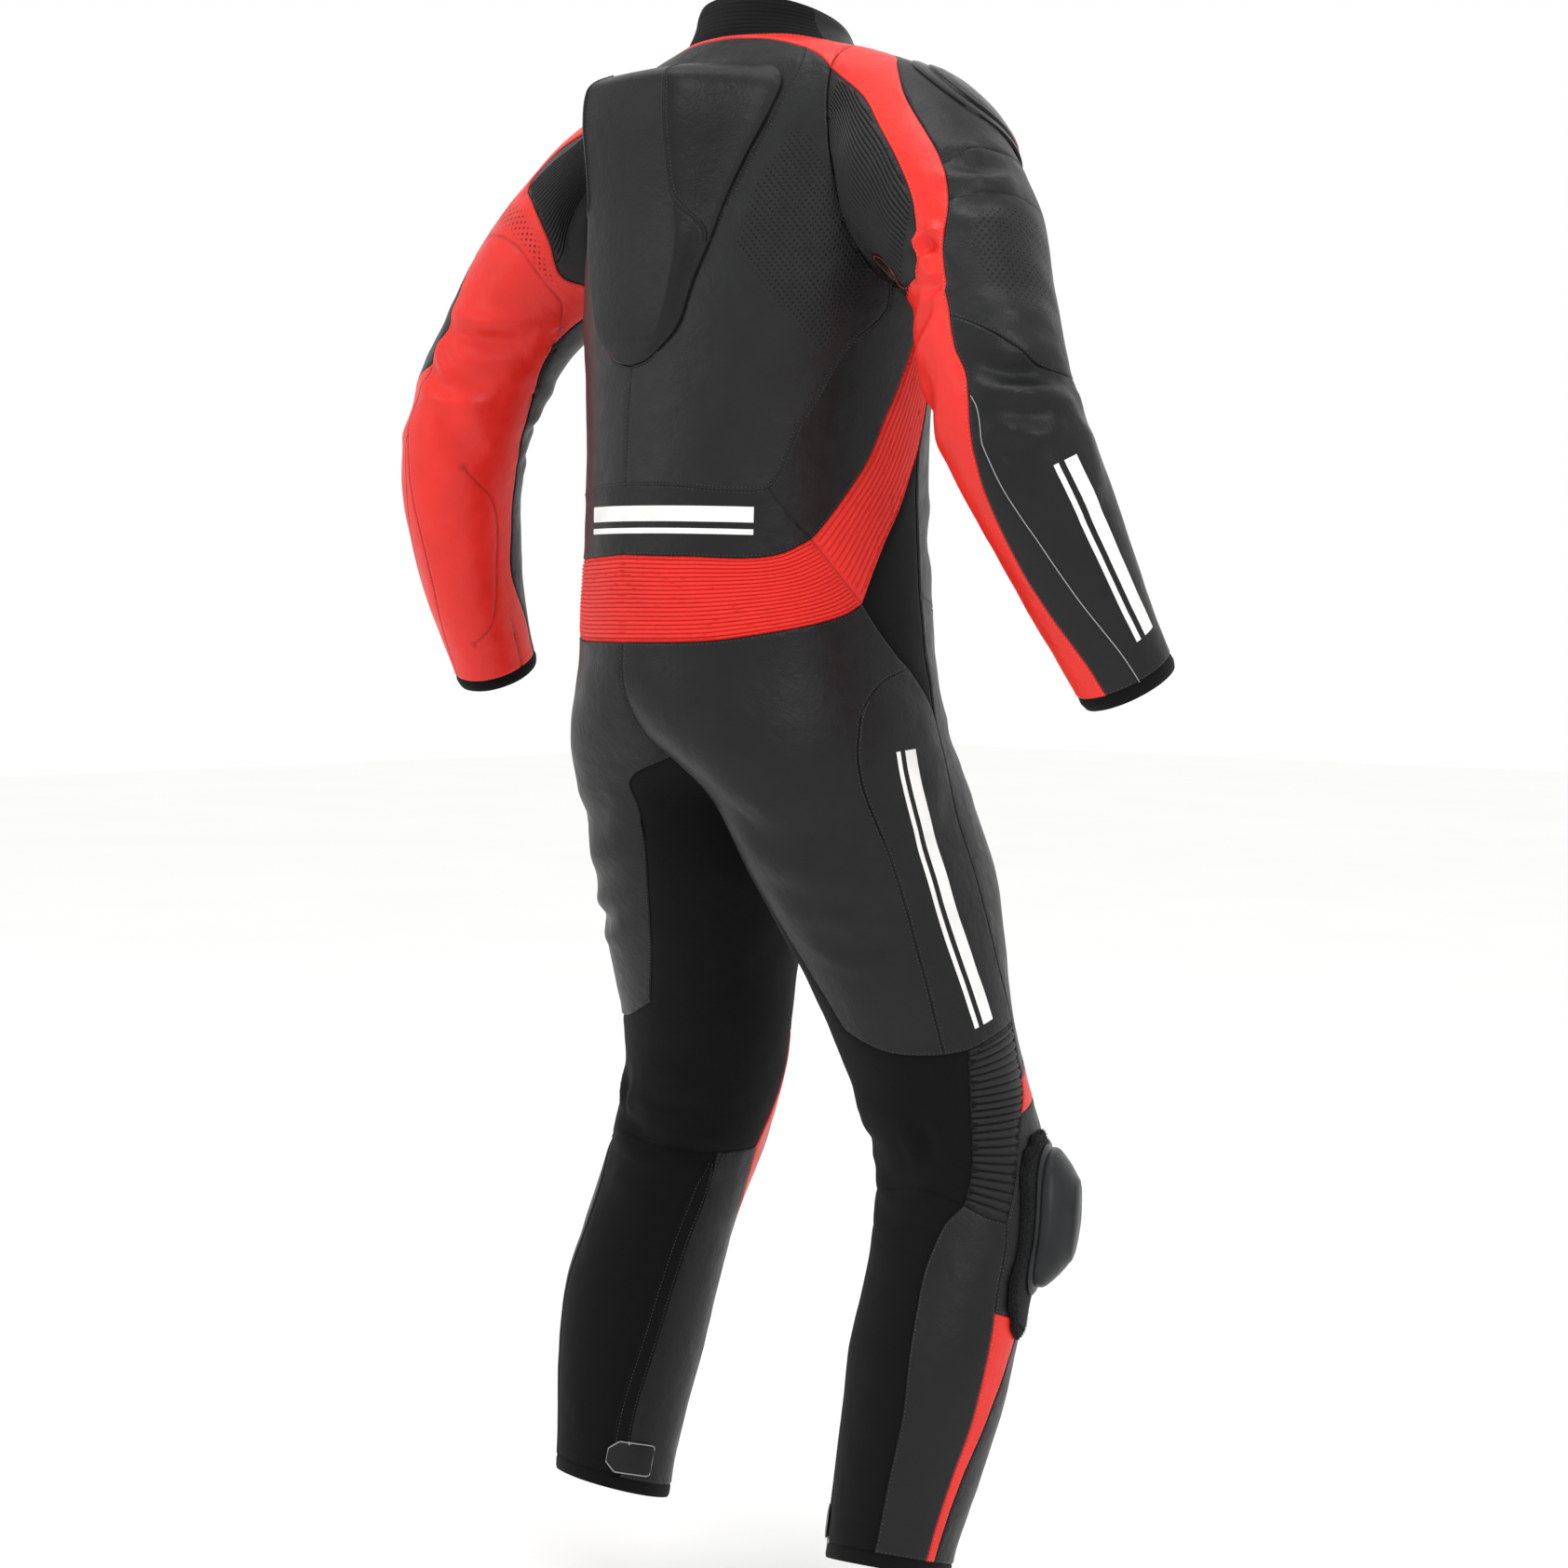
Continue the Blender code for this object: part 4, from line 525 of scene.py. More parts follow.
CREASES = [
    # The largest, which the solids have too
    Crease(A, [(0.190, 0.268), (0.100, 0.279), (0.000, 0.290), (-0.120, 0.290)], -0.006, 0.014, 0.5),
    Crease(A, [(0.170, 0.225), (0.060, 0.238), (-0.060, 0.240)], 0.004, 0.016),
    Crease(A, [(0.330, 0.205), (0.420, 0.188), (0.480, 0.170)], -0.005, 0.014, 0.5),
    Crease(A, [(0.300, 0.262), (0.380, 0.280), (0.470, 0.285)], -0.005, 0.014, 0.5),
    Crease(L, [(0.330, 0.478), (0.230, 0.462), (0.110, 0.470)], -0.006, 0.015, 0.4),
    Crease(L, [(0.310, 0.505), (0.200, 0.520), (0.090, 0.505)], 0.004, 0.016),
    Crease(L, [(0.300, 0.420), (0.200, 0.405), (0.110, 0.415)], 0.004, 0.016),
    Crease(L, [(0.210, 0.800), (0.290, 0.770), (0.370, 0.775)], -0.005, 0.016, 0.3),
    Crease(T, [(125, 1.03), (150, 1.045), (170, 1.04)], -0.005, 0.016, 0.4),
    # Folds that the photograph shows on the right arm, on the red strip and behind the knees
    Crease(A, [(0.193, 0.270), (0.105, 0.285), (-0.007, 0.285)], -0.006, 0.009, 0.7, Side.RIGHT),
    Crease(A, [(0.175, 0.340), (0.157, 0.335), (0.130, 0.342)], -0.005, 0.012, 0.4, Side.RIGHT),
    Crease(A, [(0.298, 0.173), (0.250, 0.168), (0.205, 0.175)], -0.005, 0.006, 0.8, Side.RIGHT),
    Crease(A, [(0.290, 0.196), (0.240, 0.203), (0.205, 0.200)], -0.004, 0.006, 0.8, Side.RIGHT),
    Crease(A, [(0.258, 0.143), (0.240, 0.170), (0.225, 0.195)], -0.004, 0.006, 0.8, Side.RIGHT),
    Crease(A, [(0.160, 0.108), (0.080, 0.120), (0.020, 0.112)], -0.005, 0.010, 0.8, Side.RIGHT),
    Crease(A, [(0.165, 0.138), (0.110, 0.146), (0.060, 0.142)], -0.004, 0.011, 0.6, Side.RIGHT),
    Crease(A, [(0.150, 0.300), (0.080, 0.316), (0.020, 0.312)], -0.004, 0.009, 0.7, Side.RIGHT),
    Crease(L, [(0.313, 0.516), (0.322, 0.495), (0.318, 0.473)], -0.005, 0.008, 0.6),
    Crease(A, [(0.167, 0.200), (0.348, 0.190), (0.490, 0.155)], -0.006, 0.010, 0.7, Side.LEFT),
    Crease(A, [(0.180, 0.238), (0.320, 0.240), (0.440, 0.225)], -0.005, 0.009, 0.7, Side.LEFT),
    Crease(L, [(0.338, 0.476), (0.201, 0.448), (0.088, 0.441), (0.020, 0.438)], -0.005, 0.009, 0.6, Side.LEFT),
    Crease(L, [(0.260, 0.690), (0.330, 0.672), (0.400, 0.680)], -0.004, 0.010, 0.6),
    # Finer ones round the joints
    Crease(A, [(0.230, 0.196), (0.300, 0.222), (0.400, 0.232)], -0.003, 0.007, 0.6),
    Crease(A, [(0.240, 0.240), (0.330, 0.240), (0.430, 0.250)], 0.0025, 0.008),
    Crease(A, [(0.050, 0.330), (-0.060, 0.322), (-0.160, 0.330)], -0.002, 0.010, 0.5),
    Crease(A, [(-0.300, 0.240), (-0.370, 0.262), (-0.440, 0.268)], -0.004, 0.010, 0.6),
    Crease(A, [(-0.260, 0.290), (-0.340, 0.285), (-0.430, 0.300)], -0.003, 0.009, 0.6),
    Crease(A, [(-0.260, 0.205), (-0.350, 0.215), (-0.450, 0.205)], 0.003, 0.010),
    Crease(L, [(0.120, 0.440), (0.200, 0.430), (0.290, 0.436)], -0.0025, 0.007, 0.5),
    Crease(L, [(0.080, 0.490), (0.160, 0.486), (0.240, 0.492)], -0.0025, 0.008, 0.5),
    Crease(L, [(0.230, 0.730), (0.300, 0.712), (0.380, 0.716)], -0.0025, 0.012, 0.4),
    Crease(L, [(0.640, 0.900), (0.760, 0.868), (0.880, 0.842)], -0.004, 0.012, 0.5),
    Crease(L, [(0.620, 0.860), (0.740, 0.832), (0.840, 0.810)], -0.003, 0.010, 0.5),
    Crease(L, [(0.650, 0.640), (0.740, 0.628), (0.820, 0.640)], -0.0025, 0.010, 0.4),
    Crease(L, [(0.690, 0.300), (0.780, 0.290), (0.870, 0.300)], -0.002, 0.010, 0.4),
]


@dataclass(frozen=True)
class Padding:
    """Armour or soft foam behind a panel, which lifts it in a low oval."""

    chart: Chart
    middle: tuple[float, float]
    half: tuple[float, float]
    height: float
    side: Side | None = None


PADDING = [
    Padding(A, (0.020, 0.345), (0.048, 0.060), 0.0035),
    Padding(A, (0.000, 0.060), (0.075, 0.045), 0.003),
    Padding(L, (0.750, 0.455), (0.070, 0.062), 0.004),
    Padding(L, (0.500, 0.830), (0.045, 0.080), 0.0025),
    Padding(L, (0.750, 0.240), (0.045, 0.080), 0.002),
]


@dataclass(frozen=True)
class Panel:
    """One cut panel: a point on it, how it is cut, its wall, how its edge lies and its finish on each side."""

    name: str
    chart: Chart
    spot: tuple[float, float]
    left: str
    right: str
    wall: float = 1.8 * MM
    raised: float = 0.0
    cut: Cut = Cut.PAIR

    @property
    def stitched(self) -> bool:
        """Whether stitches run along its edges, as they do on leather."""
        return self.left in (BLACK, RED)

    @property
    def nodes(self) -> list[tuple[str, str]]:
        """The model's nodes that it stands for and the slot of each."""
        if self.cut is Cut.ACROSS:
            return [(self.name, self.left)]
        return [(self.name + "_l", self.left), (self.name + "_r", self.right)]


BLACK, RED, RED_RIBS, STRETCH = "black_leather", "red_leather", "red_stretch", "black_stretch"
PANELS = [
    Panel("upper_back", T, (5, 1.40), BLACK, BLACK, cut=Cut.ACROSS),
    Panel("back", T, (45, 1.30), BLACK, BLACK),
    Panel("back_band", T, (30, 1.05), BLACK, BLACK, cut=Cut.ACROSS),
    Panel("lumbar", T, (70, 0.985), RED_RIBS, RED_RIBS, 2 * MM, cut=Cut.ACROSS),
    Panel("wing", T, (75, 1.02), RED_RIBS, RED_RIBS, 2 * MM),
    Panel("side", T, (104, 1.02), STRETCH, STRETCH, 2 * MM),
    Panel("front", T, (140, 1.20), BLACK, BLACK),
    Panel("yoke", T, (50, 1.530), RED, RED, cut=Cut.ACROSS),
    Panel("front_zip", T, (179.3, 1.20), STRETCH, STRETCH, cut=Cut.ACROSS),
    Panel("collar", T, (60, 1.585), STRETCH, STRETCH, 2.8 * MM, cut=Cut.ACROSS),
    Panel("seat", L, (0.30, 0.80), BLACK, BLACK),
    Panel("hip_strip", L, (0.50, 0.75), BLACK, BLACK),
    Panel("front_thigh", L, (0.70, 0.75), BLACK, BLACK),
    Panel("inner_leg", L, (0.05, 0.60), STRETCH, STRETCH, 2 * MM),
    Panel("knee_ribs", L, (0.46, 0.575), STRETCH, STRETCH, 2 * MM),
    Panel("knee_band", L, (0.75, 0.547), RED, RED),
    Panel("knee_cup", L, (0.70, 0.45), BLACK, BLACK),
    Panel("calf_side", L, (0.41, 0.30), BLACK, BLACK),
    Panel("shin_strip", L, (0.51, 0.30), RED, RED),
    Panel("shin", L, (0.75, 0.22), BLACK, BLACK),
    Panel("calf", L, (0.20, 0.30), STRETCH, STRETCH, 2 * MM),
    Panel("hem", L, (0.20, 0.122), STRETCH, STRETCH, 2 * MM, 0.8 * MM),
    Panel("blade", A, (0.35, 0.04), STRETCH, STRETCH, 2 * MM),
    Panel("sleeve_under", A, (0.35, 0.35), RED, RED),
    Panel("sleeve_cap", A, (0.0, 0.06), BLACK, BLACK),
    Panel("upper_sleeve", A, (0.05, 0.18), BLACK, BLACK),
    Panel("forearm", A, (0.0, 0.42), RED, BLACK),
    Panel("sleeve_front", A, (-0.33, 0.30), BLACK, BLACK),
    Panel("cuff", A, (0.0, 0.542), STRETCH, STRETCH, 2 * MM, 0.8 * MM),
]

FLAT_SHARES = (0.34, 0.99)
SNAP = 0.013                # a seam's end this near to another seam or an edge is drawn onto it
JOIN = 0.006                # stops nearer than this on one seam are the same stop
SLIVER = 1e-9               # twice the area of a triangle that lies on a straight edge, in square metres
SPACING = 4.8 * MM          # of the points of a panel
RAILS = (1.2 * MM, 2.9 * MM)  # rows of points laid along each side of a seam
CLEAR = 4.4 * MM            # the even points stay this far from a seam


class Line:
    """A seam or an edge on a chart, in metres, with the stops that other seams made on it."""

    def __init__(self, path: Array, stops: Sequence[float] | None = None) -> None:
        """Keep the path; a path given with stops has its points fixed and takes no more stops."""
        self.path = path
        self.fixed = stops is not None
        self.stops = list(stops) if stops is not None else [0.0, float(lengths(path)[-1])]

    def stop_near(self, point: Array) -> Array | None:
        """The stop at which a seam ends that comes to this line, or None if it is too far off."""
        way = lengths(self.path)
        start, step = self.path[:-1], np.diff(self.path, axis=0)
        share = np.clip(((point - start) * step).sum(1) / np.maximum((step ** 2).sum(1), 1e-18), 0, 1)
        gap = np.linalg.norm(start + share[:, None] * step - point, axis=1)
        k = int(gap.argmin())
        if gap[k] > SNAP:
            return None
        place = way[k] + share[k] * (way[k + 1] - way[k])
        close = min(self.stops, key=lambda stop: abs(stop - place))
        if self.fixed or abs(close - place) < JOIN:
            return along(self.path, close)
        self.stops.append(place)
        return along(self.path, place)

    def points(self) -> Array:
        """The line's points, one spacing apart and through every stop."""
        return self.path if self.fixed else along(self.path, filled(self.stops, SPACING))


def near(samples: Array, points: Array) -> Array:
    """The distance from each point to the nearest of some samples, in two or three dimensions."""
    tree = kdtree.KDTree(len(samples))
    flat = samples.shape[1] == 2
    for k, p in enumerate(samples.tolist()):
        tree.insert((*p, 0.0) if flat else p, k)
    tree.balance()
    return np.array([tree.find((*p, 0.0) if flat else p)[2] for p in points.tolist()])


def inside(points: Array, ring: Array) -> Array:
    """Which points lie inside a closed ring."""
    a, b = ring, np.roll(ring, -1, axis=0)
    found = np.zeros(len(points), bool)
    for first in range(0, len(points), 4000):
        x, y = (points[first:first + 4000, k][:, None] for k in (0, 1))
        crosses = (a[:, 1] > y) != (b[:, 1] > y)
        with np.errstate(divide="ignore", invalid="ignore"):
            at = a[:, 0] + (y - a[:, 1]) * (b[:, 0] - a[:, 0]) / (b[:, 1] - a[:, 1])
        found[first:first + 4000] = (crosses & (x < at)).sum(1) % 2 == 1
    return found


def hex_grid(low: Array, high: Array) -> Array:
    """Even points over a rectangle of a chart."""
    rows = np.arange(low[1], high[1], SPACING * math.sqrt(3) / 2)
    across = np.arange(low[0], high[0], SPACING)
    return np.concatenate([np.stack([across + (k % 2) * SPACING / 2, np.full(len(across), y)], -1)
                           for k, y in enumerate(rows)])


def rounded(p: Array) -> Key:
    """A point as a key that two lines through the same place share."""
    return tuple(round(float(x), 7) + 0.0 for x in p)


class ChartNet:
    """A fine net over one chart, cut along its seams and laid densely beside them."""

    def __init__(self, chart: Chart, side: Side) -> None:
        """Lay the seams, the ribs and the points between them, and join them to triangles."""
        self.chart = chart
        self.laid: dict[str, Line] = {}
        edges, hole_line = self.edges()
        chosen = [seam for seam in SEAMS if seam.chart is chart and seam.side in (None, side)]
        for seam in chosen:
            control = FORM.metres(chart, seam.points)
            for end in (0, -1):
                lines = [*edges, *([hole_line] if hole_line else []), *self.laid.values()]
                stops = [p for p in (line.stop_near(control[end]) for line in lines) if p is not None]
                if stops:
                    control[end] = min(stops, key=lambda p: np.linalg.norm(p - control[end]))
            self.laid[seam.name] = Line(drawn(control))
        parting = {seam.name for seam in chosen if not seam.marks}
        self.ring = np.concatenate([line.points()[:-1] for line in edges])
        self.hole = hole_line.path if hole_line else None
        lines = [(np.concatenate([self.ring, self.ring[:1]]), True)]
        seams = [line.points() for line in self.laid.values()]
        if hole_line:
            lines.append((np.concatenate([self.hole, self.hole[:1]]), True))
            seams.append(lines[-1][0])
        lines += [(line.points(), name in parting) for name, line in self.laid.items()]
        seams += [edge.points() for edge in edges if self.is_opening(edge)]
        lifts: dict[Key, float] = {}
        for ribs in (r for r in RIBS if r.chart is chart):
            for line, height in self.rib_lines(ribs):
                lines.append((line, False))
                lifts.update({rounded(p): height for p in line})
        self.mesh(lines, seams)
        self.lift = np.array([lifts.get(rounded(p), 0.0) for p in self.points])

    def is_opening(self, edge: Line) -> bool:
        """Whether an edge of the chart is an edge of the suit: at the collar, a cuff or a hem."""
        height = edge.path[:, 1]
        level = {Chart.TRUNK: FORM.collar_top, Chart.LEG: FORM.hem, Chart.ARM: FORM.sleeve_end}[self.chart]
        return bool(np.allclose(height, level)) or (self.chart is Chart.ARM and bool(np.allclose(height, 0)))

    def edges(self) -> tuple[list[Line], Line | None]:
        """The edges of the chart, in order round it, and the armhole as a hole in the trunk's."""
        chart = self.chart
        armhole = filled([-0.5, WING_BACK, WING_FRONT, SLEEVE_FRONT, YOKE_FRONT, YOKE_BACK, BAND_END, BLADE_END,
                          0.5], SPACING / 0.52)
        belt = filled([0, HIP_STATION, SIDE_STATION, ZIP_STATION, 1], SPACING / 0.53)
        inseam = filled([FORM.hem, HEM_STATION, KNEE_STATION, FORM.crotch], SPACING)
        under = filled([0, CUFF_STATION, FORM.sleeve_end], SPACING)

        def fixed(path: Array, values: Array, chosen: Sequence[float]) -> Line:
            way = lengths(path)
            return Line(path, [way[int(np.abs(values - c).argmin())] for c in chosen])

        def turns(rows: Points | Array, across: float) -> Array:
            return np.array(rows, float) * (across, 1)

        if chart is Chart.TRUNK:
            ring = fixed(turns(FORM.armhole_chart(armhole), TRUNK_RADIUS), armhole,
                         [WING_BACK, WING_FRONT, SLEEVE_FRONT, YOKE_FRONT, YOKE_BACK, BAND_END])
            corner = [(0, FORM.waist), (0, FORM.collar_top), (math.pi, FORM.collar_top), (math.pi, FORM.waist)]
            free = [Line(turns(corner[k:k + 2], TRUNK_RADIUS)) for k in range(3)]
            low = fixed(turns([(math.pi * t, FORM.waist) for t in belt[::-1]], TRUNK_RADIUS), belt[::-1],
                        [HIP_STATION, SIDE_STATION, ZIP_STATION])
            return [*free, low], ring
        if chart is Chart.LEG:
            heights = FORM.crotch + (FORM.waist - FORM.crotch) * np.linspace(0, 1, 80) ** 2
            back = [(crotch_cut(z), z) for z in heights]
            front = [(1 - crotch_cut(z), z) for z in heights[::-1]]
            down = inseam[::-1]
            return [Line(turns(back, LEG_ROUND)),
                    fixed(turns([waist(t) for t in belt], LEG_ROUND), belt, [HIP_STATION, SIDE_STATION,
                                                                             ZIP_STATION]),
                    Line(turns(front, LEG_ROUND)),
                    fixed(turns([(1, z) for z in down], LEG_ROUND), down, [HEM_STATION, KNEE_STATION]),
                    Line(turns([(1, FORM.hem), (0, FORM.hem)], LEG_ROUND)),
                    fixed(turns([(0, z) for z in inseam], LEG_ROUND), inseam, [HEM_STATION, KNEE_STATION])], None
        down = under[::-1]
        return [fixed(turns([(u, 0) for u in armhole], ARM_ROUND), armhole,
                      [WING_BACK, SLEEVE_FRONT, YOKE_FRONT, YOKE_BACK, BLADE_END]),
                fixed(turns([(0.5, s) for s in under], ARM_ROUND), under, [CUFF_STATION]),
                Line(turns([(0.5, FORM.sleeve_end), (-0.5, FORM.sleeve_end)], ARM_ROUND)),
                fixed(turns([(-0.5, s) for s in down], ARM_ROUND), down, [CUFF_STATION])], None

    def rib_lines(self, ribs: Ribs) -> list[tuple[Array, float]]:
        """The lines of one panel's ribs, with the height of each: round crests between narrow valleys."""

        def border(name: str) -> Callable[[Array], Array]:
            path = self.laid[name].path if name in self.laid else drawn(FORM.metres(self.chart, RIB_BORDERS[name]))
            return lambda t: along(path, np.asarray(t) * lengths(path)[-1])

        one, two = border(ribs.first), border(ribs.second)
        made = []
        steps = RIB_STEPS * ribs.count
        for k in range(1, steps):
            share = k / steps
            if ribs.lengthwise:
                run = lengths(one(np.linspace(ribs.start, ribs.end, 40)))[-1]
                t = np.linspace(ribs.start, ribs.end, max(2, round(run / ribs.spacing)) + 1)
                line = (1 - share) * one(t) + share * two(t)
            else:
                a, b = one(share), two(share)
                count = max(1, round(float(np.linalg.norm(b - a)) / ribs.spacing))
                t = np.linspace(ribs.start, ribs.end, count + 1)[:, None]
                line = (1 - t) * a + t * b
            swell = abs(math.sin(math.pi * k / RIB_STEPS)) ** 0.7
            runs = self.clipped(line) if ribs.first in RIB_BORDERS else [line]
            made += [(run, ribs.rise * (1.35 * swell - 0.35)) for run in runs]
        return made

    def clipped(self, line: Array) -> list[Array]:
        """The runs of a line that lie well inside the sleeve's ribbed panel."""
        hem = np.array([(u * ARM_ROUND, 0) for u in np.linspace(YOKE_BACK, BLADE_END, 60)])
        ring = np.concatenate([hem, self.laid["blade_end"].path[::-1], self.laid["strip_inner"].path[::-1]])
        kept = np.flatnonzero(inside(line, ring) & (near(along(ring, filled([0, lengths(ring)[-1]], MM)), line)
                                                    > CLEAR / 2))
        return [line[run] for run in np.split(kept, np.flatnonzero(np.diff(kept) > 1) + 1) if len(run) > 2]

    def rails(self, line: Array) -> list[tuple[Array, float]]:
        """Rows of points along both sides of a seam, at real distances from it on the surface."""
        reach = 0.001
        point = line[1:-1]
        if not len(point):
            return []
        east = (FORM.at(self.chart, point + (reach, 0)) - FORM.at(self.chart, point - (reach, 0))) / (2 * reach)
        north = (FORM.at(self.chart, point + (0, reach)) - FORM.at(self.chart, point - (0, reach))) / (2 * reach)
        ee, en, nn = ((a * b).sum(1) for a, b in ((east, east), (east, north), (north, north)))
        way = line[2:] - line[:-2]
        side = np.stack([-(en * way[:, 0] + nn * way[:, 1]), ee * way[:, 0] + en * way[:, 1]], -1)
        size = np.sqrt(ee * side[:, 0] ** 2 + 2 * en * side[:, 0] * side[:, 1] + nn * side[:, 1] ** 2)
        side /= np.maximum(size, 1e-9)[:, None]
        return [(point + sign * rail * side, rail) for rail in RAILS for sign in (-1, 1)]

    def mesh(self, lines: list[tuple[Array, bool]], seams: list[Array]) -> None:
        """Join the lines, the rails beside them and even points between to triangles."""
        index: dict[Key, int] = {}
        points: list[Array] = []
        edges, parts = [], []
        for line, parting in lines:
            numbers = []
            for p in line:
                key = rounded(p)
                if key not in index:
                    index[key] = len(points)
                    points.append(p)
                numbers.append(index[key])
            for a, b in zip(numbers, numbers[1:]):
                if a != b:
                    edges.append((a, b))
                    parts.append(parting)
        fixed = np.array(points)
        dense = np.concatenate([along(line, filled([0, lengths(line)[-1]], 1.2 * MM)) for line in seams])
        seam_places = FORM.at(self.chart, dense)
        for rail in RAILS:
            rows = [row for line in seams for row, at in self.rails(line) if at == rail]
            row = np.concatenate(rows)
            row = row[self.within(row)]
            apart = near(seam_places, FORM.at(self.chart, row))
            row = row[apart > 0.86 * rail]
            row = row[near(fixed, row) > 0.7 * MM]
            key = np.unique(np.round(row / (0.9 * MM)).astype(int), axis=0, return_index=True)[1]
            fixed = np.concatenate([fixed, row[np.sort(key)]])
        grid = hex_grid(self.ring.min(0), self.ring.max(0))
        grid = grid[self.within(grid)]
        grid = grid[near(fixed, grid) > 0.62 * SPACING]
        grid = grid[near(seam_places, FORM.at(self.chart, grid)) > CLEAR]
        every = np.concatenate([fixed, grid])
        verts, made_edges, faces, origin, edge_origin, _ = delaunay_2d_cdt(
            [Vector(p) for p in every.tolist()], edges, [], 0, 1e-7, True)
        made = np.array([every[o[0]] if o else tuple(v) for v, o in zip(verts, origin)])
        faces = np.array(faces)
        corner = made[faces]
        one, two = corner[:, 1] - corner[:, 0], corner[:, 2] - corner[:, 0]
        keep = self.within(corner.mean(1)) & (np.abs(one[:, 0] * two[:, 1] - one[:, 1] * two[:, 0]) > SLIVER)
        self.points, self.faces = made, faces[keep]
        self.walls = {tuple(sorted(e)) for e, o in zip(made_edges, edge_origin) if any(parts[k] for k in o)}

    def within(self, points: Array) -> Array:
        """Which points lie on the chart, inside its edges and outside its armhole."""
        found = inside(points, self.ring)
        return found if self.hole is None else found & ~inside(points, self.hole)


@dataclass
class PanelNet:
    """The faces of one panel on the whole suit's points, and where each corner lies on its chart."""

    faces: Array
    corners: Array          # metres on the chart, for each face's three corners


def place_key(place: Array) -> Key:
    """A place as a key that points of different charts share."""
    return tuple(round(float(x), 6) + 0.0 for x in place)


class Half:
    """One half of the suit as a left half, welded from its charts and parted into its panels."""

    def __init__(self, nets: dict[Chart, ChartNet]) -> None:
        """Weld the charts and part the panels."""
        self.index: dict[Key, int] = {}
        self.places: list[Array] = []
        self.lift: list[float] = []
        faces, corners, first = [], [], {}
        self.walls: set[tuple[int, ...]] = set()
        for chart, net in nets.items():
            places = FORM.at(chart, net.points)
            places[np.abs(places[:, 0]) < 2e-5, 0] = 0
            numbers = [self.number(p, h) for p, h in zip(places, net.lift)]
            first[chart] = len(faces)
            faces += [tuple(numbers[k] for k in reversed(f)) for f in net.faces.tolist()]
            corners.append(net.points[net.faces[:, ::-1]])
            self.walls |= {tuple(sorted((numbers[a], numbers[b]))) for a, b in net.walls
                           if not self.joins(chart, net.points[a], net.points[b])}
        self.rows = self.part(nets, faces, first)
        self.faces, self.corners = np.array(faces), np.concatenate(corners)

    def number(self, place: Array, lift: float) -> int:
        """The number of the point at a place, a new one if there was none."""
        key = place_key(place)
        if key not in self.index:
            self.index[key] = len(self.places)
            self.places.append(place)
            self.lift.append(lift)
        return self.index[key]

    @staticmethod
    def joins(chart: Chart, a: Array, b: Array) -> bool:
        """Whether a chart's edge between two points is joined to another chart without a seam."""
        on_waist = max(abs(a[1] - FORM.waist), abs(b[1] - FORM.waist)) < 1e-6 and chart is not Chart.ARM
        low = max(a[1], b[1]) < FORM.crotch + 1e-6
        on_inseam = chart is Chart.LEG and low and a[0] == b[0] and min(a[0], abs(a[0] - LEG_ROUND)) < 1e-9
        on_under = chart is Chart.ARM and a[0] == b[0] and abs(abs(a[0]) - ARM_ROUND / 2) < 1e-9
        return on_waist or on_inseam or on_under

    def part(self, nets: dict[Chart, ChartNet], faces: Faces,
             first: dict[Chart, int]) -> dict[str, list[int]]:
        """The rows of each panel's faces, found from one point on it."""
        sides: dict[tuple[int, ...], list[int]] = {}
        for k, face in enumerate(faces):
            for a, b in zip(face, face[1:] + face[:1]):
                sides.setdefault((a, b) if a < b else (b, a), []).append(k)
        found: dict[str, list[int]] = {}
        taken: set[int] = set()
        for panel in PANELS:
            net = nets[panel.chart]
            spot = FORM.metres(panel.chart, panel.spot)
            a, b, c = (net.points[net.faces[:, k]] for k in range(3))
            signs = np.stack([(q[:, 0] - p[:, 0]) * (spot[1] - p[:, 1]) - (q[:, 1] - p[:, 1]) * (spot[0] - p[:, 0])
                              for p, q in ((a, b), (b, c), (c, a))])
            start = first[panel.chart] + int(((signs >= 0).all(0) | (signs <= 0).all(0)).argmax())
            reached, waiting = {start}, [start]
            while waiting:
                face = faces[waiting.pop()]
                for p, q in zip(face, face[1:] + face[:1]):
                    edge = (p, q) if p < q else (q, p)
                    if edge not in self.walls:
                        for other in sides[edge]:
                            if other not in reached:
                                reached.add(other)
                                waiting.append(other)
            if reached & taken:
                raise ValueError(f"{panel.name} runs into another panel")
            taken |= reached
            found[panel.name] = sorted(reached)
        return found


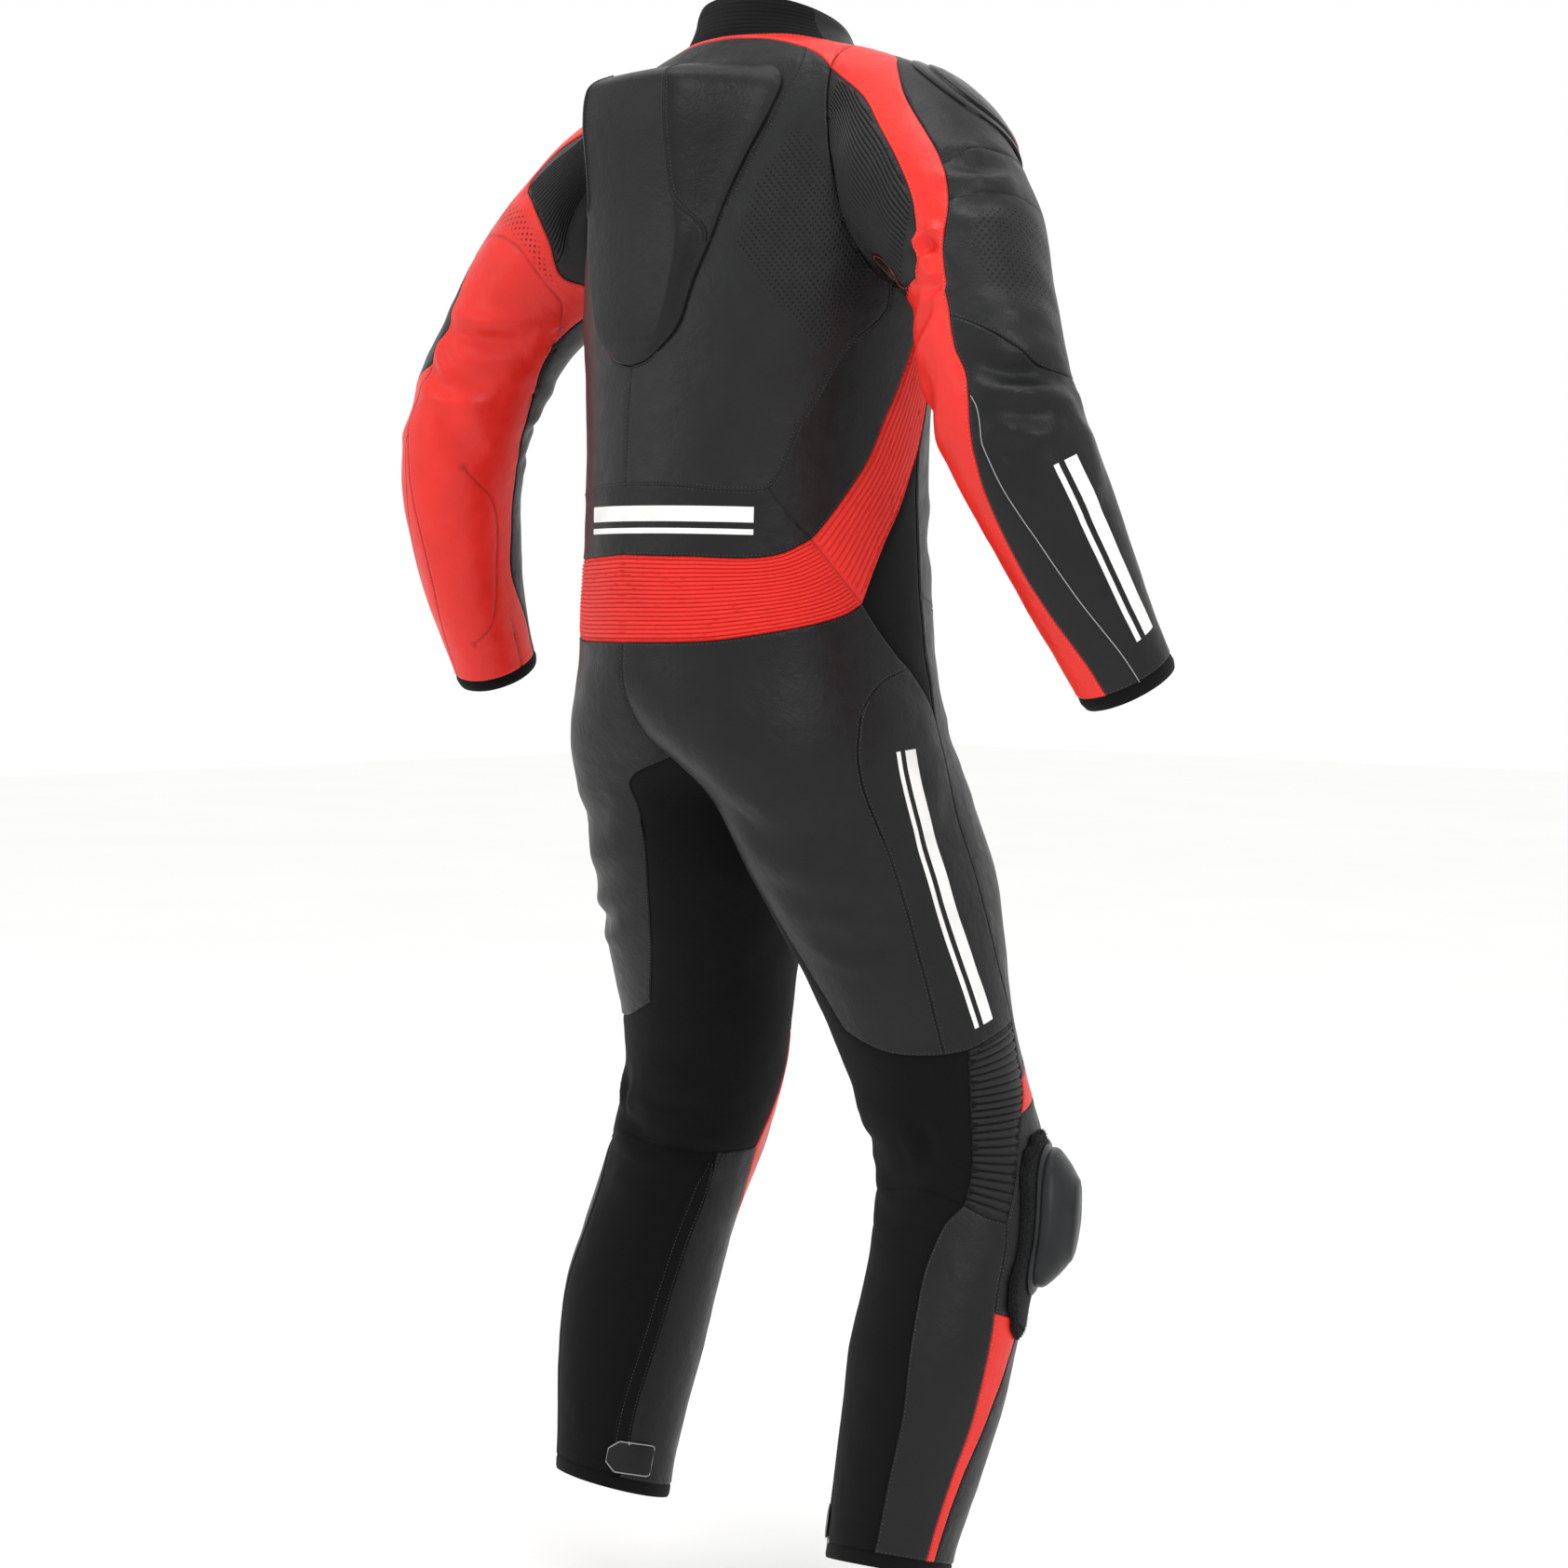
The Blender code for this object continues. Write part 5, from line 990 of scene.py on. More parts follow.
class Suit:
    """The whole suit's surface. Its halves differ in the cut of the sleeves alone."""

    def __init__(self) -> None:
        """Lay and weld both halves, join them and press the creases in."""
        shared = {chart: ChartNet(chart, Side.LEFT) for chart in (T, L)}
        self.nets = {side: shared | {A: ChartNet(A, side)} for side in Side}
        left, right = (Half(self.nets[side]) for side in Side)
        one, two = np.array(left.places), np.array(right.places)
        centre = two[:, 0] == 0
        twin = len(one) + np.cumsum(~centre) - 1
        twin[centre] = [left.index[place_key(p)] for p in two[centre]]
        self.places = np.concatenate([one, two[~centre] * (-1, 1, 1)])
        self.lift = np.concatenate([np.array(left.lift), np.array(right.lift)[~centre]])
        self.panels: dict[str, PanelNet] = {}
        for panel in PANELS:
            rows, twins = left.rows[panel.name], right.rows[panel.name]
            ours = PanelNet(left.faces[rows], left.corners[rows])
            theirs = PanelNet(twin[right.faces[twins]][:, ::-1], right.corners[twins][:, ::-1])
            if panel.cut is Cut.ACROSS:
                self.panels[panel.name] = PanelNet(np.concatenate([ours.faces, theirs.faces]),
                                                   np.concatenate([ours.corners, theirs.corners]))
            else:
                self.panels[panel.name + "_l"], self.panels[panel.name + "_r"] = ours, theirs
        self.normals = self.point_normals()
        self.height = self.heights()
        LOG.info("suit of %d points", len(self.places))

    def point_normals(self) -> Array:
        """The direction out of the suit at every point."""
        p = self.places
        normals = np.zeros_like(p)
        for net in self.panels.values():
            f = net.faces
            face = np.cross(p[f[:, 1]] - p[f[:, 0]], p[f[:, 2]] - p[f[:, 0]])
            for k in range(3):
                np.add.at(normals, f[:, k], face)
        normals[p[:, 0] == 0, 0] = 0
        return normals / np.maximum(np.linalg.norm(normals, axis=1, keepdims=True), 1e-12)

    def heights(self) -> Array:
        """How far every point stands off the smooth form, by padding, creases and the leather's own waves."""
        height = np.zeros(len(self.places))
        for side in Side:
            chosen = self.places[:, 0] * side.value >= 0
            numbers = np.flatnonzero(chosen)
            places = self.places[chosen] * (side.value, 1, 1)
            share = np.where(places[:, 0] == 0, 0.5, 1.0)
            for row in PADDING:
                if row.side in (None, side):
                    height[numbers] += share * self.pad_height(row, places)
            for crease in CREASES:
                if crease.side in (None, side):
                    height[numbers] += share * self.crease_height(crease, places)
        wave = np.array([noise.noise(Vector(p) * 24) + 0.5 * noise.noise(Vector(p) * 55)
                         for p in self.places.tolist()])
        return height + 0.7 * MM * wave

    @staticmethod
    def pad_height(row: Padding, places: Array) -> Array:
        """The rise of one low oval over the left side's points."""
        middle = FORM.metres(row.chart, row.middle)
        around = middle + np.array(row.half) * np.array([(0, 0), (1, 0), (0, 1), (-1, 0), (0, -1)])
        spots = FORM.at(row.chart, around)
        across, up = spots[1] - spots[3], spots[2] - spots[4]
        off = places - spots[0]
        a = (off @ across) / (across @ across) * 2
        b = (off @ up) / (up @ up) * 2
        facing = np.abs(off @ np.cross(across, up)) / np.linalg.norm(np.cross(across, up)) < 0.06
        return row.height * ease((1 - np.sqrt(a * a + b * b)) / 0.45) * facing

    @staticmethod
    def crease_height(crease: Crease, places: Array) -> Array:
        """The fall or rise of one crease over the left side's points."""
        line = FORM.at(crease.chart, drawn(FORM.metres(crease.chart, crease.points), 12))
        made = np.zeros(len(places))
        reach = 3.2 * crease.width
        close = np.flatnonzero(((places > line.min(0) - reach) & (places < line.max(0) + reach)).all(1))
        if not len(close):
            return made
        gap = np.linalg.norm(places[close][:, None] - line[None], axis=2)
        nearest = gap.argmin(1)
        gap = gap.min(1)
        taper = np.sin(math.pi * np.clip(nearest / (len(line) - 1), 0.04, 0.96))
        fall = np.exp(-(gap / crease.width) ** 2) - crease.lip * np.exp(-((gap / crease.width - 1.9) / 0.8) ** 2)
        made[close] = crease.height * taper * fall
        return made


def linear(code: str) -> tuple[float, float, float, float]:
    """Turn an sRGB colour such as #1E1F1F into the linear colour that the shaders take."""
    channels = (int(code[k:k + 2], 16) / 255 for k in (1, 3, 5))
    return (*(c / 12.92 if c <= 0.04045 else ((c + 0.055) / 1.055) ** 2.4 for c in channels), 1.0)


def add(tree: Tree, kind: str, inputs: dict[str | int, Any] | None = None,
        stops: Sequence[tuple[float, str]] = (), **settings: Any) -> bpy.types.Node:
    """Add one node to a material.

    Args:
        tree: The material's nodes.
        kind: The node's type without its prefix, such as TexNoise.
        inputs: A value, or another node's output, for each input that is set.
        stops: The places and sRGB colours of a colour ramp.
        settings: The node's own settings.

    Returns:
        The node.
    """
    made = tree.nodes.new("ShaderNode" + kind)
    for name, value in settings.items():
        setattr(made, name, value)
    if stops:
        elements = made.color_ramp.elements
        for element, (place, code) in zip((elements[0], elements[-1]), (stops[0], stops[-1])):
            element.position, element.color = place, linear(code)
        for place, code in stops[1:-1]:
            elements.new(place).color = linear(code)
    for name, value in (inputs or {}).items():
        if isinstance(value, Socket):
            tree.links.new(value, made.inputs[name])
        else:
            made.inputs[name].default_value = value
    return made


@dataclass(frozen=True)
class Finish:
    """What every finish has: its name, a darker and a lighter colour (for leather and stretch cloth the darker one is
    also where painted shade falls in low places), and how rough it is.
    """

    name: str
    dark: str
    light: str
    roughness: float
    specular: float = 0.5

    def start(self) -> tuple[bpy.types.Material, Tree, bpy.types.Node]:
        """A new material, its nodes and its shader with the plain values set."""
        made = bpy.data.materials.new(self.name)
        made.use_nodes = True
        made.diffuse_color = linear(self.light)
        tree = made.node_tree
        shader = tree.nodes["Principled BSDF"]
        shader.inputs["Specular IOR Level"].default_value = self.specular
        return made, tree, shader

    def open_place(self, tree: Tree) -> Socket:
        """Painted shade: the mesh's own light level for the colour, 0 fully shaded down in a seam, a groove or between
        ribs, 1 on top.
        """
        return add(tree, "Attribute", attribute_name="open_place").outputs["Fac"]

    def near_seam(self, tree: Tree) -> Socket:
        """The mesh's own value for how near a seam is: 1 on it, 0 well away."""
        return add(tree, "Attribute", attribute_name="near_seam").outputs["Fac"]

    def here(self, tree: Tree) -> Socket:
        """The place on the object, in metres."""
        return add(tree, "TexCoord").outputs["Object"]

    def wave(self, tree: Tree, size: float, detail: float = 2) -> Socket:
        """Soft noise from 0 to 1, whose blots are about one size, in metres."""
        return add(tree, "TexNoise", {"Vector": self.here(tree), "Scale": 1 / size, "Detail": detail}).outputs["Fac"]

    def sum(self, tree: Tree, *parts: tuple[Socket, float]) -> Socket:
        """The weighted sum of several values."""
        total: Any = 0.0
        for value, weight in parts:
            total = add(tree, "Math", {0: value, 1: weight, 2: total}, operation="MULTIPLY_ADD").outputs[0]
        return total

    @staticmethod
    def paint(tree: Tree, level: Socket, *stops: tuple[float, str]) -> None:
        """Colour the shader by a value, from stop to stop."""
        colour = add(tree, "ValToRGB", {"Fac": level}, stops=stops)
        tree.links.new(colour.outputs["Color"], tree.nodes["Principled BSDF"].inputs["Base Color"])

    @staticmethod
    def roughen(tree: Tree, value: Socket, low: float, high: float, start: float = 0.0, end: float = 1.0) -> None:
        """Let the shader's roughness go from low to high as a value goes from start to end."""
        rough = add(tree, "MapRange", {"Value": value, "From Min": start, "From Max": end, "To Min": low,
                                       "To Max": high})
        tree.links.new(rough.outputs["Result"], tree.nodes["Principled BSDF"].inputs["Roughness"])

    @staticmethod
    def emboss(tree: Tree, *layers: tuple[Socket, float, float, bool]) -> None:
        """Lay bumps over one another: the height of each, its depth, its strength and whether it is turned over."""
        under: dict[str, Socket] = {}
        for height, depth, strength, over in layers:
            bump = add(tree, "Bump", {"Height": height, "Distance": depth, "Strength": strength, **under}, invert=over)
            under = {"Normal": bump.outputs["Normal"]}
        tree.links.new(under["Normal"], tree.nodes["Principled BSDF"].inputs["Normal"])


@dataclass(frozen=True)
class Leather(Finish):
    """Cowhide: a pebbled grain, soft waves, a slow change of tone and puckers along the stitched seams."""

    deep: str = "#050505"           # painted shade down in a seam, and the dark of a punched hole
    grain: float = 1.7 * MM
    grain_depth: float = 0.18 * MM
    holes: bool = False
    pitch: float = 4.6 * MM         # of the punched holes
    punch: float = 0.95 * MM        # radius of a hole, drawn coarser than the real 0.6 mm to show at this scale

    def build(self) -> bpy.types.Material:
        """Make the material."""
        made, tree, _ = self.start()
        tone = self.wave(tree, 85 * MM, 3)
        shine = self.wave(tree, 22 * MM, 4)
        # The grain is drawn as cells that meet in fine valleys, as the pores and folds of hide do
        cells = add(tree, "TexVoronoi", {"Vector": self.here(tree), "Scale": 1 / self.grain, "Smoothness": 0.6},
                    feature="SMOOTH_F1").outputs["Distance"]
        pucker = add(tree, "Math", {0: self.wave(tree, 7 * MM, 1), 1: self.near_seam(tree)},
                     operation="MULTIPLY").outputs[0]
        body = self.wave(tree, 13 * MM, 3)
        # Painted shade: the level falls with the painted light level, so seams, rib valleys, grooves and the inner side
        # are darker
        level = self.sum(tree, (self.open_place(tree), 0.62), (tone, 0.25), (shine, 0.18))
        if self.holes:
            punched = self.punched(tree)
            level = add(tree, "Math", {0: level, 1: punched}, operation="MULTIPLY").outputs[0]
        self.paint(tree, level, (0.12, self.deep), (0.55, self.dark), (0.92, self.light))
        self.roughen(tree, shine, self.roughness - 0.05, self.roughness + 0.07, 0.3, 0.7)
        layers = [(cells, self.grain_depth, 0.8, True), (body, 1.4 * MM, 0.6, False), (pucker, 1.5 * MM, 0.6, False)]
        if self.holes:
            layers.append((punched, 0.6 * MM, 0.9, False))
        self.emboss(tree, *layers)
        return made

    def punched(self, tree: Tree) -> Socket:
        """0 in a punched hole and 1 elsewhere. The holes stand in even rows on the slant, in the punched zone."""
        chart = add(tree, "UVMap", uv_map="chart").outputs["UV"]
        turned = add(tree, "Mapping", {"Vector": chart, "Rotation": (0, 0, math.radians(45)),
                                       "Scale": (1 / self.pitch, 1 / self.pitch, 1)})
        cell = add(tree, "TexVoronoi", {"Vector": turned.outputs["Vector"], "Scale": 1.0, "Randomness": 0.0},
                   voronoi_dimensions="2D")
        zone = add(tree, "Attribute", attribute_name="punched").outputs["Fac"]
        hole = add(tree, "MapRange", {"Value": cell.outputs["Distance"], "From Min": 0.7 * self.punch / self.pitch,
                                      "From Max": 1.5 * self.punch / self.pitch, "To Min": -1.0, "To Max": 0.0},
                   interpolation_type="SMOOTHSTEP").outputs["Result"]
        return add(tree, "Math", {0: zone, 1: hole, 2: 1.0}, operation="MULTIPLY_ADD").outputs[0]


@dataclass(frozen=True)
class StretchCloth(Finish):
    """Elastic cloth: a fine crosswise weave, matt, with fibres that catch the light at its edges."""

    weave: float = 1.1 * MM
    weave_depth: float = 0.12 * MM
    across: bool = False

    def build(self) -> bpy.types.Material:
        """Make the material."""
        made, tree, shader = self.start()
        chart = add(tree, "UVMap", uv_map="chart").outputs["UV"]
        # Wave texture bands repeat every 2 pi / 20 of a unit at a scale of 1
        scale = math.pi / (10 * self.weave)
        threads = [add(tree, "TexWave", {"Vector": chart, "Scale": scale * share, "Distortion": 0.4,
                                         "Detail": 1.0}, bands_direction=axis).outputs["Fac"]
                   for axis, share in (("X", 1.0), ("Y", 0.45 if self.across else 1.0))]
        weave = add(tree, "Math", {0: threads[0], 1: threads[1]}, operation="ADD").outputs[0]
        tone = self.wave(tree, 60 * MM, 3)
        # Painted shade: the level falls with the painted light level, down to the near-black #040404 in seams, grooves
        # and between ribs
        level = self.sum(tree, (self.open_place(tree), 0.62), (tone, 0.25), (weave, 0.10))
        self.paint(tree, level, (0.10, "#040404"), (0.50, self.dark), (0.92, self.light))
        self.roughen(tree, tone, self.roughness - 0.06, self.roughness + 0.06)
        shader.inputs["Sheen Weight"].default_value = 0.04
        shader.inputs["Sheen Roughness"].default_value = 0.5
        self.emboss(tree, (weave, self.weave_depth, 0.7, False),
                    (self.wave(tree, 16 * MM, 3), 0.8 * MM, 0.45, False))
        return made


@dataclass(frozen=True)
class Moulding(Finish):
    """Moulded plastic or rubber: even, with a faint orange peel and light rubs."""

    peel: float = 3.0 * MM
    peel_depth: float = 0.05 * MM
    coat: float = 0.0

    def build(self) -> bpy.types.Material:
        """Make the material."""
        made, tree, shader = self.start()
        self.paint(tree, self.wave(tree, 30 * MM, 2), (0.3, self.dark), (0.7, self.light))
        self.roughen(tree, self.wave(tree, 9 * MM, 6), self.roughness, self.roughness + 0.14, 0.35, 0.75)
        shader.inputs["Coat Weight"].default_value = self.coat
        shader.inputs["Coat Roughness"].default_value = 0.12
        self.emboss(tree, (self.wave(tree, self.peel, 1), self.peel_depth, 0.5, False))
        return made


@dataclass(frozen=True)
class Fuzz(Finish):
    """Hook tape: a dense stubble of loops that swallows the light."""

    tuft: float = 1.3 * MM

    def build(self) -> bpy.types.Material:
        """Make the material."""
        made, tree, shader = self.start()
        tufts = add(tree, "TexVoronoi", {"Vector": self.here(tree), "Scale": 1 / self.tuft}).outputs["Distance"]
        # Painted shade: the colour is darker down between the tufts and lighter on their tops, following the bump
        self.paint(tree, tufts, (0.1, self.light), (0.75, self.dark))
        self.roughen(tree, tufts, self.roughness - 0.1, 1.0)
        shader.inputs["Sheen Weight"].default_value = 0.06
        self.emboss(tree, (tufts, 0.7 * MM, 1.0, True))
        return made


@dataclass(frozen=True)
class Yarn(Finish):
    """Sewing thread or a thin cord: a fine twist with a soft gloss."""

    twist: float = 0.9 * MM

    def build(self) -> bpy.types.Material:
        """Make the material."""
        made, tree, shader = self.start()
        twist = add(tree, "TexWave", {"Vector": self.here(tree), "Scale": math.pi / (10 * self.twist)},
                    bands_direction="DIAGONAL").outputs["Fac"]
        # Painted light and shade: the colour is lighter on the twist's ridges and darker in its grooves, following the
        # bump
        self.paint(tree, twist, (0.1, self.dark), (0.8, self.light))
        shader.inputs["Roughness"].default_value = self.roughness
        self.emboss(tree, (twist, 0.1 * MM, 0.7, False))
        return made


@dataclass(frozen=True)
class ZipMetal(Finish):
    """Cast zip metal, worn lighter and smoother by the slider in random patches."""

    def build(self) -> bpy.types.Material:
        """Make the material."""
        made, tree, shader = self.start()
        rub = self.wave(tree, 4 * MM, 4)
        self.paint(tree, rub, (0.35, self.dark), (0.7, self.light))
        self.roughen(tree, rub, self.roughness + 0.1, self.roughness)
        shader.inputs["Metallic"].default_value = 1.0
        return made


@dataclass(frozen=True)
class PaleFloor(Finish):
    """The studio's painted floor, with a faint mottle."""

    def build(self) -> bpy.types.Material:
        """Make the material."""
        made, tree, shader = self.start()
        self.paint(tree, self.wave(tree, 0.6, 3), (0.3, self.dark), (0.7, self.light))
        shader.inputs["Roughness"].default_value = self.roughness
        return made


# One line for each finish. The comment says what it gives the eye
FINISHES: Sequence[Any] = (
    Leather("pebbled_black_cowhide", "#0E0F0F", "#1A1B1B", 0.40, 0.19),        # the suit's main black, softly shiny
    Leather("punched_black_cowhide", "#101111", "#1E1F1F", 0.40, 0.21, holes=True),     # with air holes on the back
    # 5E0E0A, the red hides' sixth value, is painted shade down in their seams and the dark of their punched holes
    Leather("smooth_red_cowhide", "#B81A14", "#E0271C", 0.40, 0.30, "#5E0E0A", grain=1.3 * MM, grain_depth=0.06 * MM),
    Leather("punched_red_cowhide", "#B81A14", "#E0271C", 0.40, 0.30, "#5E0E0A", grain=1.3 * MM, grain_depth=0.06 * MM,
            holes=True),                                                       # with air holes on the left sleeve
    StretchCloth("red_ribbed_stretch_leather", "#B81C16", "#E42A20", 0.52, 0.28),       # accordion ribs, low sheen
    StretchCloth("black_stretch_knit", "#070707", "#0D0D0E", 0.80, 0.09),      # flat, nearly lightless inner legs
    StretchCloth("black_ribbed_stretch_leather", "#0B0C0C", "#171818", 0.48, 0.22),     # ribs that catch the light
    StretchCloth("black_collar_rib_knit", "#080808", "#121213", 0.85, 0.10, weave=2.3 * MM, weave_depth=0.5 * MM,
                 across=True),                                                # upright wales behind the neck
    Moulding("glossy_black_plate", "#060607", "#0B0C0D", 0.20, 0.10, coat=0.03),          # hard shoulder plates
    Moulding("glossy_red_insert", "#D8231A", "#EE3024", 0.22, 0.3, coat=0.1),           # coloured arc in a plate
    Moulding("satin_slider_puck", "#111314", "#1A1D1E", 0.34, 0.30),            # dark grey wear pucks on the knees
    Moulding("white_rubber_print", "#DCDCDA", "#EDEDEB", 0.55, 0.35),          # thick plain bars on the leather
    Fuzz("black_hook_tape", "#050505", "#1A1A1B", 0.95, 0.15),                 # fuzzy rim round each puck
    Yarn("black_sewing_thread", "#202121", "#505151", 0.55, 0.4),                   # tone on tone rows
    Yarn("red_sewing_thread", "#DA4238", "#FF7A6C", 0.55),                     # a little lighter than the hide
    Yarn("light_grey_edge_cord", "#6F7272", "#A3A6A6", 0.6),                   # thin pale lines on the forearm, tabs
    ZipMetal("black_zip_metal", "#2A2B2C", "#6A6C6E", 0.35, 0.5),              # teeth and sliders
    PaleFloor("pale_studio_floor", "#FBFBFA", "#FDFDFC", 0.90, 0.0),           # quiet ground
)


class Workshop:
    """Keeps the finishes and hands every piece to the frame."""

    def __init__(self) -> None:
        """Make every finish."""
        self.finishes = {finish.name: finish.build() for finish in FINISHES}
        self.pieces: list[bpy.types.Object] = []

    def place(self, name: str, places: Array, faces: Sequence[Any] | Array, finishes: Sequence[str], slot: str,
              stands_for: Sequence[str] = (), corners: Array | None = None, chosen: Array | None = None,
              values: dict[str, Array] | None = None, sharp: float = 50) -> bpy.types.Object:
        """Make one piece of the suit.

        Args:
            name: The piece's name.
            places: Its points, with heights above the wearer's floor.
            faces: The numbers of each face's points.
            finishes: The names of its finishes.
            slot: The record's slot; not used.
            stands_for: The model's nodes that it replaces.
            corners: The place on the chart of each face corner, for patterns that follow the cut.
            chosen: Which of the finishes each face has.
            values: Named values at the points, for the finishes to read.
            sharp: The angle in degrees from which an edge stays sharp.

        Returns:
            The piece.
        """
        mesh = bpy.data.meshes.new(name)
        dropped = places - (0, 0, FORM.origin_height)
        mesh.from_pydata(dropped.tolist(), [], [tuple(f) for f in np.asarray(faces).tolist()]
                         if isinstance(faces, Array) else faces)
        for finish in finishes:
            mesh.materials.append(self.finishes[finish])
        layer = mesh.uv_layers.new(name="chart")
        if corners is None:
            loops = np.empty(len(mesh.loops), np.int32)
            mesh.loops.foreach_get("vertex_index", loops)
            corners = dropped[loops][:, [0, 2]]
        layer.data.foreach_set("uv", np.ascontiguousarray(corners, np.float32).ravel())
        if chosen is not None:
            mesh.polygons.foreach_set("material_index", chosen.astype(np.int32))
        defaults = {"open_place": np.ones(len(places)), "near_seam": np.zeros(len(places))}
        for key, value in (defaults | (values or {})).items():
            mesh.attributes.new(key, "FLOAT", "POINT").data.foreach_set("value", value.astype(np.float32))
        mesh.shade_smooth()
        mesh.set_sharp_from_angle(angle=math.radians(sharp))
        made = bpy.data.objects.new(name, mesh)
        bpy.context.scene.collection.objects.link(made)
        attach(made, "root")
        if stands_for:
            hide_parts(*stands_for)
        self.pieces.append(made)
        LOG.info("%s: %d points", name, len(places))
        return made


def boundary(faces: Array) -> list[list[int]]:
    """The closed loops of edges that one face alone has, in the faces' own direction."""
    pairs = np.concatenate([faces[:, [0, 1]], faces[:, [1, 2]], faces[:, [2, 0]]]).tolist()
    known = {tuple(p) for p in pairs}
    step = {a: b for a, b in pairs if (b, a) not in known}
    loops = []
    while step:
        at = next(iter(step))
        loop = []
        while at in step:
            loop.append(at)
            at = step.pop(at)
        loops.append(loop)
    return loops


def closed_ring(chart: Chart, outline: Points) -> Array:
    """Close points round an outline on a chart, in metres."""
    ring = FORM.metres(chart, [*outline, outline[0]])
    return along(ring, np.arange(0, lengths(ring)[-1], 4 * MM))


def unit(v: Array) -> Array:
    """Vectors at a length of one."""
    return v / np.maximum(np.linalg.norm(v, axis=-1, keepdims=True), 1e-12)


# Parts of the suit with air holes, as outlines on a chart
PUNCHED = {
    "back": (T, [(33, 1.352), (40.5, 1.408), (47, 1.398), (62, 1.335), (76, 1.287), (74, 1.250), (70, 1.216),
                 (63.5, 1.203), (45, 1.250), (31.5, 1.297)]),
    "upper_sleeve": (A, [(0.128, 0.152), (-0.060, 0.149), (-0.060, 0.240), (0.040, 0.240), (0.130, 0.220),
                         (0.150, 0.185)]),
    "sleeve_under_l": (A, [(0.150, 0.082), (0.190, 0.090), (0.250, 0.080), (0.340, 0.082), (0.420, 0.096),
                           (0.440, 0.104), (0.320, 0.096), (0.250, 0.100), (0.190, 0.110), (0.160, 0.104)]),
}
# Places where a sleeve's red leather is faced with black, beside the lower end of the blade
GUSSETS = {"sleeve_under_r": (A, [(0.340, -0.010), (0.530, -0.010), (0.530, 0.175), (0.400, 0.183),
                                  (0.318, 0.186), (0.310, 0.176)])}
KNIT_END = 69.0                 # degrees round the collar from its middle behind, where the knit ends
SLOT_OF = {BLACK: "pebbled_black_cowhide", RED: "smooth_red_cowhide", RED_RIBS: "red_ribbed_stretch_leather",
           STRETCH: "black_stretch_knit"}
RIBBED_BLACK = ("knee_ribs", "blade")


